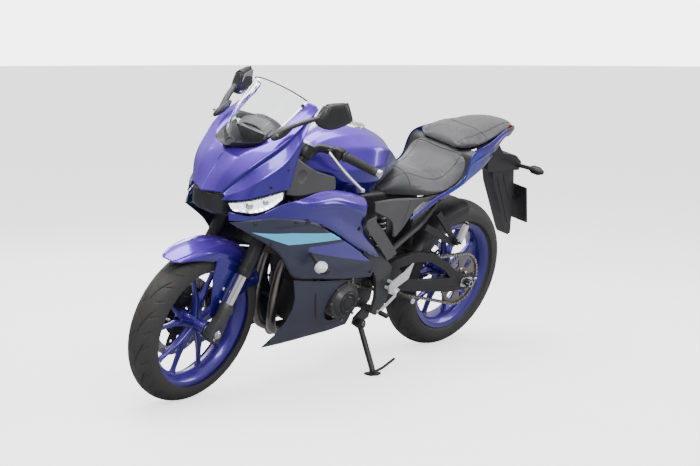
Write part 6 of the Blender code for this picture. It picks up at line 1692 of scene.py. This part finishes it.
def make_power():
    """Air box, gearbox, inner guard, engine covers, radiator fins, headers and silencer."""
    made("air_box", "chassis", "black_plastic",
         [block((0.660, 0.0, 0.678), (0.290, 0.180, 0.132), None, 0.2),
          block((0.655, 0.0, 0.585), (0.150, 0.160, 0.100), None, 0.3),
          block((0.552, 0.0, 0.766), (0.150, 0.110, 0.034),
                np.array(Matrix.Rotation(math.radians(35), 3, "Y")), 0.2)],
         (), 45)
    made("gearbox", "chassis", "cast_metal",
         [block((0.612, 0.0, 0.355), (0.230, 0.150, 0.200), None, 0.15)], (), 45)
    guard = row_at([(0.392, 0.0, 0.640), (0.368, 0.0, 0.560), (0.352, 0.0, 0.470)], np.linspace(0, 1, 20))
    spread_out = np.linspace(-1, 1, 17)
    sheet_rows = guard[:, None] + np.stack(
        [-0.022 * spread_out ** 2, 0.074 * spread_out, 0 * spread_out], 1)[None]
    made("inner_guard", "chassis", "black_plastic", [shell(sheet_rows, 0.003, (1, 0, 0))], (), 50)
    eased_edges("engine", "cast_metal", "chassis", 0.0030)
    rings, heads = [], []
    for side, x, z, r, y in ((1, 0.785, 0.352, 0.060, 0.188), (-1, 0.775, 0.345, 0.068, 0.182)):
        centre = (x, side * y, z)
        rings.append(turned([(0.0, 0.0030), (r * 0.40, 0.0030), (r * 0.44, 0.0008), (r * 0.50, 0.0008),
                             (r * 0.54, 0.0034), (r * 0.66, 0.0032), (r * 0.70, 0.0006), (r * 0.80, 0.0004),
                             (r * 0.815, -0.004), (0.0, -0.004)], centre, (0, side, 0), 64))
        for a in 2 * math.pi * np.arange(8) / 8:
            heads.append(bolt((x + (r + 0.015) * math.cos(a), side * (y - 0.018),
                               z + (r + 0.015) * math.sin(a)),
                              (0, side, 0), 0.0055))
    made("engine_cover_rings", "chassis", "black_metal", rings, (), 35)
    made("engine_cover_bolts", "chassis", "dark_steel", heads, (), 35)
    eased_edges("radiator", "black_metal", "chassis", 0.0015)
    turn = np.array(Matrix.Rotation(math.radians(-14), 3, "Y"))
    across = turn @ np.array([[0, 1.0, 0], [1, 0, 0], [0, 0, -1]])
    fins = [block(np.array([1.045, 0, 0.620]) + turn @ np.array([0.0138, 0.0, height]),
                  (0.262, 0.0016, 0.0014), across, 0.3, 8)
            for height in np.linspace(-0.094, 0.0932, sizes().radiator_fins)]
    made("radiator_fins", "chassis", "dark_steel", fins, (), 35)
    pipes = []
    for y in (-0.045, 0.045):
        route = row_at([(0.974, y, 0.5195), (1.016, y, 0.498), (1.034, y, 0.420), (1.036, y, 0.320),
                        (1.005, y * 0.8 - 0.01, 0.232), (0.930, y * 0.45 - 0.03, 0.190)],
                        np.linspace(0, 1, 70))
        pipes.append(swept(route, 0.0185, 0.0185, (0, 1, 0.001), 28))
        pipes.append(turned([(0.019, -0.002), (0.030, -0.002), (0.031, 0.0), (0.031, 0.006), (0.019, 0.008)],
                            (0.9765, y, 0.5190), (0.955, 0, -0.298), 28, True))
    route = row_at([(0.950, -0.032, 0.192), (0.800, -0.040, 0.186), (0.680, -0.058, 0.185),
                    (0.600, -0.105, 0.188),
                    (0.552, -0.158, 0.210), (0.520, -0.203, 0.2676), (0.500, -0.204, 0.272)],
                    np.linspace(0, 1, 90))
    pipes.append(swept(route, 0.024, 0.024, (0, 0.3, 1), 30))
    made("exhaust_headers", "chassis", "dark_steel", pipes, ("exhaust_pipes",), 40)
    start, end = np.array([0.500, -0.204, 0.272]), np.array([0.130, -0.216, 0.345])
    t = np.concatenate([np.linspace(0, 0.08, 10), np.linspace(0.1, 0.88, 30), np.linspace(0.9, 1.0, 12)])
    size = eased(SILENCER, t)
    made("silencer", "chassis", "black_metal",
         [swept(start + (end - start) * t[:, None], size[:, 0], size[:, 1], (0, 0, 1), 48, 2.4)],
         ("muffler",), 45)
    run = unit(end - start)
    outlet = [turned([(0.014, -0.004), (0.024, -0.004), (0.0255, 0.0), (0.0255, 0.0012), (0.014, 0.0012)],
                     end - run * 0.001, run, 36, True)]
    for at in (0.10, 0.86):
        wide, tall = eased(SILENCER, np.array([at]))[0]
        line = start + (end - start) * np.linspace(at, at + 0.03, 5)[:, None]
        outlet.append(swept(line, wide + 0.0012, tall + 0.0012, (0, 0, 1), 48, 2.4))
    made("silencer_bands", "chassis", "silver_metal", outlet, (), 40)


def make_rear():
    """Swingarm with chain adjusters, spring, hugger, footrests, pegs, plate carrier and signals."""
    eased_edges("swingarm", "black_metal", "chassis", 0.0025)
    eased_edges("hugger", "black_plastic", "chassis", 0.0008)
    fit = []
    for side in (-1, 1):
        fit.append(block((-0.004, side * 0.1292, 0.313), (0.074, 0.0036, 0.040), None, 0.25))
        fit.append(turned([(0.0, 0.0), (0.0165, 0.0), (0.0170, 0.003), (0.0150, 0.012), (0.0, 0.012)],
                          (0, side * 0.146, 0.314), (0, side, 0), 6))
        fit.append(turned([(0.0, -0.020), (0.0045, -0.020), (0.0045, 0.016), (0.0, 0.016)],
                          (-0.066, side * 0.116, 0.314), (1, 0, 0), 12))
    made("chain_adjusters", "chassis", "silver_metal", fit, (), 35)
    axis = unit(np.array([0.085, 0.0, 1.0]))
    middle = np.array([0.462, 0.0, 0.550])
    a = np.linspace(0, 2 * math.pi * 6.5, 320)
    coil = middle + axis * (np.linspace(-0.068, 0.082, 320))[:, None] + np.stack(
        [np.cos(a) * 0.0255, np.sin(a) * 0.0255, 0 * a], 1)
    eased_edges("rear_shock", "black_metal", "chassis", 0.001)
    made("shock_spring", "chassis", "silver_metal", [swept(coil, 0.0052, 0.0052, tuple(axis), 10)], (), 60)
    for tag, side in SIDES.items():
        eased_edges(f"passenger_peg_{tag}", "black_metal", "chassis", 0.0012)
        fold = np.array(Matrix.Rotation(math.radians(-20), 3, "Y"))
        made(f"passenger_peg_{tag}_rubber", "chassis", "cast_alloy",
             [block((0.134, side * 0.1605, 0.550), (0.096, 0.0250, 0.0215),
                    fold @ np.array([[0, 0, 1.0], [0, 1, 0], [-1, 0, 0]]), 0.35)], (), 40)
        eased_edges(f"footrest_{tag}", "cast_alloy", "chassis", 0.0010)
        knurl = []
        for k in range(12):
            knurl += [(0.0106, 0.006 * k), (0.0122, 0.006 * k + 0.0012), (0.0122, 0.006 * k + 0.0034),
                      (0.0106, 0.006 * k + 0.0046)]
        made(f"footrest_{tag}_rubber", "chassis", "grip_rubber",
             [turned([(0.0, -0.001)] + knurl + [(0.0, 0.072)], (0.5040, side * 0.190, 0.3511),
                     (-0.048, side * 0.998, -0.038), 24)], (), 35)
        made(f"pedal_{tag}_rubber", "chassis", "grip_rubber",
             [turned([(0.0, 0.0), (0.0095, 0.0), (0.0100, 0.003), (0.0100, 0.034), (0.0085, 0.038),
                      (0.0, 0.038)],
                     (0.600, side * 0.196, 0.290), (0, side, 0), 24)], (), 35)
    eased_edges("plate_carrier", "black_plastic", "chassis", 0.0020)
    ribs = [block((x, side * 0.0292, z), (length, 0.0040, 0.007), np.array(
        Matrix.Rotation(math.radians(-56), 3, "Y")), 0.3) for side in (-1, 1)
        for x, z, length in ((-0.258, 0.640, 0.200), (-0.286, 0.664, 0.150), (-0.310, 0.560, 0.150))]
    made("splash_guard_ribs", "chassis", "black_plastic", ribs)
    lenses = []
    for side in (-1, 1):
        lenses.append(swept(row_at([(-0.334, side * 0.112, 0.768), (-0.336, side * 0.136, 0.768),
                                    (-0.3360, side * 0.1560, 0.768)], np.linspace(0, 1, 12)),
                            np.linspace(0.0150, 0.0090, 12), np.linspace(0.0150, 0.0085, 12), (0, 0, 1), 24))
    made("rear_signal_lenses", "chassis", "amber_bulb", lenses, (), 50)


def make_signals():
    """Front signals: dark pod on a stalk, amber bulb behind an oval lens."""
    for tag, side in SIDES.items():
        eased_edges(f"front_signal_{tag}", "black_plastic", "chassis", 0.0008)
        t = np.linspace(0, 1, 16)
        centre = np.stack([1.0605 - 0.0100 * t, side * (0.2475 + 0.040 * t), 0.5556 - 0.008 * t], 1)
        out = np.sin(np.pi * (0.30 + 0.66 * t))
        made(f"front_signal_{tag}_lens", "chassis", "signal_lens",
             [swept(centre, 0.0305 * out ** 0.7, 0.0222 * out ** 0.7, (0, 0, 1), 32)], (), 60)
        made(f"front_signal_{tag}_bulb", "chassis", "amber_bulb",
             [turned([(0.0, 0.0052), (0.006, 0.0046), (0.0098, 0.0026), (0.0112, 0.0), (0.0112, -0.012),
                      (0.0, -0.012)], (1.0685, side * 0.2735, 0.5535), (0.86, side * 0.50, 0.05),
                      24)], (), 50)


def make_mirrors():
    """Mirrors folded back: shell with a bevelled rim, glass, stalk and oval base with two bolts."""
    for tag, side in SIDES.items():
        root, tip = np.array([1.152, 0.211, 1.090]), np.array([1.042, 0.250, 1.106])
        t = np.linspace(0, 1, 40)
        size = eased([(0.0, 0.031, 0.010), (0.15, 0.041, 0.021), (0.42, 0.046, 0.022), (0.85, 0.040, 0.015),
                      (1.0, 0.034, 0.006)], t)
        middle = root + (tip - root) * t[:, None] + (0.047 - size[:, :1]) * (0, 0, 1)
        form = swept(middle, size[:, 1], size[:, 0], (0, 0, 1), 56, 2.7)
        made(f"mirror_{tag}_shell", "chassis", "black_plastic", [mirrored(form, side)], (), 45)
        low, high = np.array([1.289, 0.143, 1.006]), np.array([1.222, 0.150, 1.044])
        stalk = row_at([(1.258, 0.150, 1.030), (1.215, 0.176, 1.060), (1.150, 0.212, 1.0905)],
                       np.linspace(0, 1, 24))
        parts = [swept(stalk, np.linspace(0.012, 0.0095, 24), np.linspace(0.0085, 0.0075, 24),
                       (0, 0, 1), 20, 2.6)]
        along = np.linspace(-0.14, 1.14, 26)
        rise = np.clip(1 - ((along - 0.5) / 0.64) ** 2, 0, 1) ** 0.5
        parts.append(swept(low + (high - low) * along[:, None] + (0, 0.004, 0.001), 0.0165 * rise + 1e-4,
                           0.0130 * rise + 1e-4, (0.3, 0.9, 0.5), 28))
        made(f"mirror_{tag}_arm", "chassis", "black_plastic", [mirrored(p, side) for p in parts],
             (f"mirror_{tag}",), 50)
        heads = [bolt((low + (high - low) * s + (0.004, 0.0155, 0.009)) * (1, side, 1),
                      (0.25, side * 0.85, 0.45), 0.0052) for s in (0.12, 0.88)]
        made(f"mirror_{tag}_bolts", "chassis", "dark_steel", heads, (), 35)
        across = unit(np.cross(unit(tip - root), (0, 0, 1.0)))
        part = np.linspace(0.12, 0.93, 30)
        glass = np.stack([np.interp(part, t, line) for line in middle.T], 1)
        tall, deep = (np.interp(part, t, size[:, k]) * 0.80 for k in range(2))
        made(f"mirror_{tag}_glass", "chassis", "chrome",
             [mirrored(swept(glass - across * deep[:, None], 0.0030, tall, (0, 0, 1), 24, 3.0),
                       side)], (), 40)


def make_stand():
    """Side stand's rounded leg and its pivot bolt."""
    eased_edges("side_stand", "black_metal", "side_stand", 0.0012)
    pivot = np.array([0.600, 0.108, 0.212])
    axis = unit(np.array([0, math.cos(math.radians(14)), math.sin(math.radians(14))]))
    made("stand_bolt", "chassis", "dark_steel", [bolt(pivot + axis * 0.0166, axis, 0.0105, 0.006)], (), 35)


# ---------------------------------------------------------------- frame nodes

EDGE_WIDTHS = {"frame": 0.0015, "engine": 0.003, "swingarm": 0.002, "muffler": 0.002,
               "exhaust_pipes": 0.0, "chain": 0.0, "rear_sprocket": 0.0005}


def make_frame_nodes():
    """Every CAD node gets its finish; those still shown get a copy with rounded corners."""
    for node, item in FRAME["nodes"].items():
        item.data.materials.clear()
        item.data.materials.append(FINISHES[NODE_SLOT[node]])
        if not item.hide_render:
            eased_edges(node, NODE_SLOT[node], NODE_BODY[node], EDGE_WIDTHS.get(node, 0.0010))


# ---------------------------------------------------------------- add-on

class MotorcycleSizes(bpy.types.PropertyGroup):
    """Sizes of the finished surfaces."""
    tread_depth: bpy.props.FloatProperty(
        name="Tread depth", description="Depth of the grooves cut in both tyres", default=0.0042,
        min=0.0, max=0.006, unit="LENGTH", subtype="DISTANCE")
    tread_pitches: bpy.props.IntProperty(
        name="Tread pitches", description="Times the groove pattern comes round a tyre", default=15,
        min=6, max=24)
    spoke_width: bpy.props.FloatProperty(
        name="Spoke width", description="Half-width of a wheel's thin spokes", default=0.0062,
        min=0.004, max=0.010, unit="LENGTH", subtype="DISTANCE")
    disc_thickness: bpy.props.FloatProperty(
        name="Disc thickness", description="Thickness of both brake discs", default=0.0042,
        min=0.003, max=0.0045, unit="LENGTH", subtype="DISTANCE")
    panel_wall: bpy.props.FloatProperty(
        name="Panel wall", description="Thickness of the bodywork's skins", default=0.003,
        min=0.002, max=0.004, unit="LENGTH", subtype="DISTANCE")
    nose_recess: bpy.props.FloatProperty(
        name="Nose recess", description="Depth of the hollow under the nose's wings", default=0.018,
        min=0.0, max=0.025, unit="LENGTH", subtype="DISTANCE")
    seat_swell: bpy.props.FloatProperty(
        name="Seat swell", description="Farthest that the seats' foam may swell", default=0.007,
        min=0.0, max=0.010, unit="LENGTH", subtype="DISTANCE")
    grip_ribs: bpy.props.IntProperty(
        name="Grip ribs", description="Ribs along each handlebar grip", default=26, min=8, max=32)
    radiator_fins: bpy.props.IntProperty(
        name="Radiator fins", description="Fins across the radiator's core", default=37, min=12, max=60)


def colour_property(label, text, default):
    """A colour property with three values."""
    return bpy.props.FloatVectorProperty(name=label, description=text, default=default, size=3,
                                         min=0.0, max=1.0, subtype="COLOR")


class MotorcycleColours(bpy.types.PropertyGroup):
    """Colours of the finished surfaces."""
    violet: colour_property("Violet", "Paint of nose, tank, tail and front fender", VIOLET)
    # The next two colours are painted light: shade on faces that look down, highlight on faces that look up.
    violet_painted_shade: colour_property("Painted shade violet", "Paint on faces that look down", VIOLET_PAINTED_SHADE)
    violet_painted_highlight: colour_property("Painted highlight violet", "Flakes on faces that look up", VIOLET_PAINTED_HIGHLIGHT)
    navy: colour_property("Navy", "Side and lower cowls", NAVY)
    cyan: colour_property("Cyan", "Band along the side cowls", CYAN)
    rim: colour_property("Rims", "Paint of both wheels", (0.050, 0.024, 0.32))
    seat: colour_property("Seat", "Vinyl of both seats", (0.056, 0.056, 0.062))


class MOTORCYCLE_OT_materials(bpy.types.Operator):
    """Make every finish of the machine"""
    bl_idname = "motorcycle.materials"
    bl_label = "Materials"

    def execute(self, context):
        make_materials()
        return {"FINISHED"}


class MOTORCYCLE_OT_stage(bpy.types.Operator):
    """Set the camera, floor, lights and surroundings"""
    bl_idname = "motorcycle.stage"
    bl_label = "Stage"

    def execute(self, context):
        make_stage()
        return {"FINISHED"}


class MOTORCYCLE_OT_wheels(bpy.types.Operator):
    """Build both tyres and both cast wheels"""
    bl_idname = "motorcycle.wheels"
    bl_label = "Tyres and wheels"

    def execute(self, context):
        make_wheels()
        return {"FINISHED"}


class MOTORCYCLE_OT_discs(bpy.types.Operator):
    """Build both drilled brake discs"""
    bl_idname = "motorcycle.discs"
    bl_label = "Brake discs"

    def execute(self, context):
        drilled_disc("front_disc", "front_wheel", FRONT_AXLE, FRONT_DISC_RADIUS, -0.064, 0.075,
                     0.036, 15)
        drilled_disc("rear_disc", "rear_wheel", REAR_AXLE, 0.110, -0.086, 0.060, 0.044, 12)
        return {"FINISHED"}


class MOTORCYCLE_OT_drive(bpy.types.Operator):
    """Build the chain and the rear sprocket"""
    bl_idname = "motorcycle.drive"
    bl_label = "Chain and sprocket"

    def execute(self, context):
        make_drive()
        return {"FINISHED"}


class MOTORCYCLE_OT_cowls(bpy.types.Operator):
    """Build the panels on both flanks"""
    bl_idname = "motorcycle.cowls"
    bl_label = "Cowls"

    def execute(self, context):
        make_cowls()
        return {"FINISHED"}


class MOTORCYCLE_OT_nose(bpy.types.Operator):
    """Build the nose, the clear screen and the headlights"""
    bl_idname = "motorcycle.nose"
    bl_label = "Nose, screen and lamps"

    def execute(self, context):
        make_nose()
        make_screen()
        make_headlights()
        return {"FINISHED"}


class MOTORCYCLE_OT_tank(bpy.types.Operator):
    """Build the tank and its cap"""
    bl_idname = "motorcycle.tank"
    bl_label = "Tank and cap"

    def execute(self, context):
        make_tank()
        return {"FINISHED"}


class MOTORCYCLE_OT_tail(bpy.types.Operator):
    """Build the tail and its lamp"""
    bl_idname = "motorcycle.tail"
    bl_label = "Tail"

    def execute(self, context):
        make_tail()
        return {"FINISHED"}


class MOTORCYCLE_OT_seats(bpy.types.Operator):
    """Build both seats, swollen and sewn"""
    bl_idname = "motorcycle.seats"
    bl_label = "Seats"

    def execute(self, context):
        make_seats()
        return {"FINISHED"}


class MOTORCYCLE_OT_fork(bpy.types.Operator):
    """Build the fork, its caliper and the front fender"""
    bl_idname = "motorcycle.fork"
    bl_label = "Fork and fender"

    def execute(self, context):
        make_fork()
        make_fender()
        return {"FINISHED"}


class MOTORCYCLE_OT_bars(bpy.types.Operator):
    """Build the clip-on bars, levers and grips"""
    bl_idname = "motorcycle.bars"
    bl_label = "Bars and grips"

    def execute(self, context):
        make_bars()
        return {"FINISHED"}


class MOTORCYCLE_OT_power(bpy.types.Operator):
    """Dress the engine, radiator, headers and silencer"""
    bl_idname = "motorcycle.power"
    bl_label = "Engine and exhaust"

    def execute(self, context):
        make_power()
        return {"FINISHED"}


class MOTORCYCLE_OT_rear(bpy.types.Operator):
    """Dress the swingarm, shock, footrests and plate carrier"""
    bl_idname = "motorcycle.rear"
    bl_label = "Swingarm and rear"

    def execute(self, context):
        make_rear()
        return {"FINISHED"}


class MOTORCYCLE_OT_fittings(bpy.types.Operator):
    """Build the front signals, the mirrors and the side stand's fittings"""
    bl_idname = "motorcycle.fittings"
    bl_label = "Signals, mirrors, stand"

    def execute(self, context):
        make_signals()
        make_mirrors()
        make_stand()
        return {"FINISHED"}


class MOTORCYCLE_OT_frame_nodes(bpy.types.Operator):
    """Give the remaining solids their finishes and rounded corners"""
    bl_idname = "motorcycle.frame_nodes"
    bl_label = "Frame and other solids"

    def execute(self, context):
        make_frame_nodes()
        return {"FINISHED"}


OPERATORS = (MOTORCYCLE_OT_materials, MOTORCYCLE_OT_stage, MOTORCYCLE_OT_wheels,
             MOTORCYCLE_OT_discs, MOTORCYCLE_OT_drive, MOTORCYCLE_OT_cowls, MOTORCYCLE_OT_nose,
             MOTORCYCLE_OT_tank, MOTORCYCLE_OT_tail, MOTORCYCLE_OT_seats, MOTORCYCLE_OT_fork,
             MOTORCYCLE_OT_bars, MOTORCYCLE_OT_power, MOTORCYCLE_OT_rear,
             MOTORCYCLE_OT_fittings, MOTORCYCLE_OT_frame_nodes)


class MOTORCYCLE_PT_panel(bpy.types.Panel):
    """Sizes, colours and the pieces in the order in which they are built"""
    bl_idname = "MOTORCYCLE_PT_panel"
    bl_label = "Sport Motorcycle"
    bl_space_type = "VIEW_3D"
    bl_region_type = "UI"
    bl_category = "Motorcycle"

    def draw(self, context):
        for settings in (context.scene.motorcycle_sizes, context.scene.motorcycle_colours):
            box = self.layout.box()
            for label in settings.__annotations__:
                box.prop(settings, label)
        for operator in OPERATORS:
            self.layout.operator(operator.bl_idname)


CLASSES = (MotorcycleSizes, MotorcycleColours, *OPERATORS, MOTORCYCLE_PT_panel)


def register():
    for item in CLASSES:
        bpy.utils.register_class(item)
    bpy.types.Scene.motorcycle_sizes = bpy.props.PointerProperty(type=MotorcycleSizes)
    bpy.types.Scene.motorcycle_colours = bpy.props.PointerProperty(type=MotorcycleColours)


def unregister():
    del bpy.types.Scene.motorcycle_colours
    del bpy.types.Scene.motorcycle_sizes
    for item in reversed(CLASSES):
        bpy.utils.unregister_class(item)


def main():
    register()
    bpy.ops.motorcycle.materials()
    bpy.ops.motorcycle.stage()
    bpy.ops.motorcycle.wheels()
    bpy.ops.motorcycle.discs()
    bpy.ops.motorcycle.drive()
    bpy.ops.motorcycle.cowls()
    bpy.ops.motorcycle.nose()
    bpy.ops.motorcycle.tank()
    bpy.ops.motorcycle.tail()
    bpy.ops.motorcycle.seats()
    bpy.ops.motorcycle.fork()
    bpy.ops.motorcycle.bars()
    bpy.ops.motorcycle.power()
    bpy.ops.motorcycle.rear()
    bpy.ops.motorcycle.fittings()
    bpy.ops.motorcycle.frame_nodes()


if __name__ == "__main__":
    main()
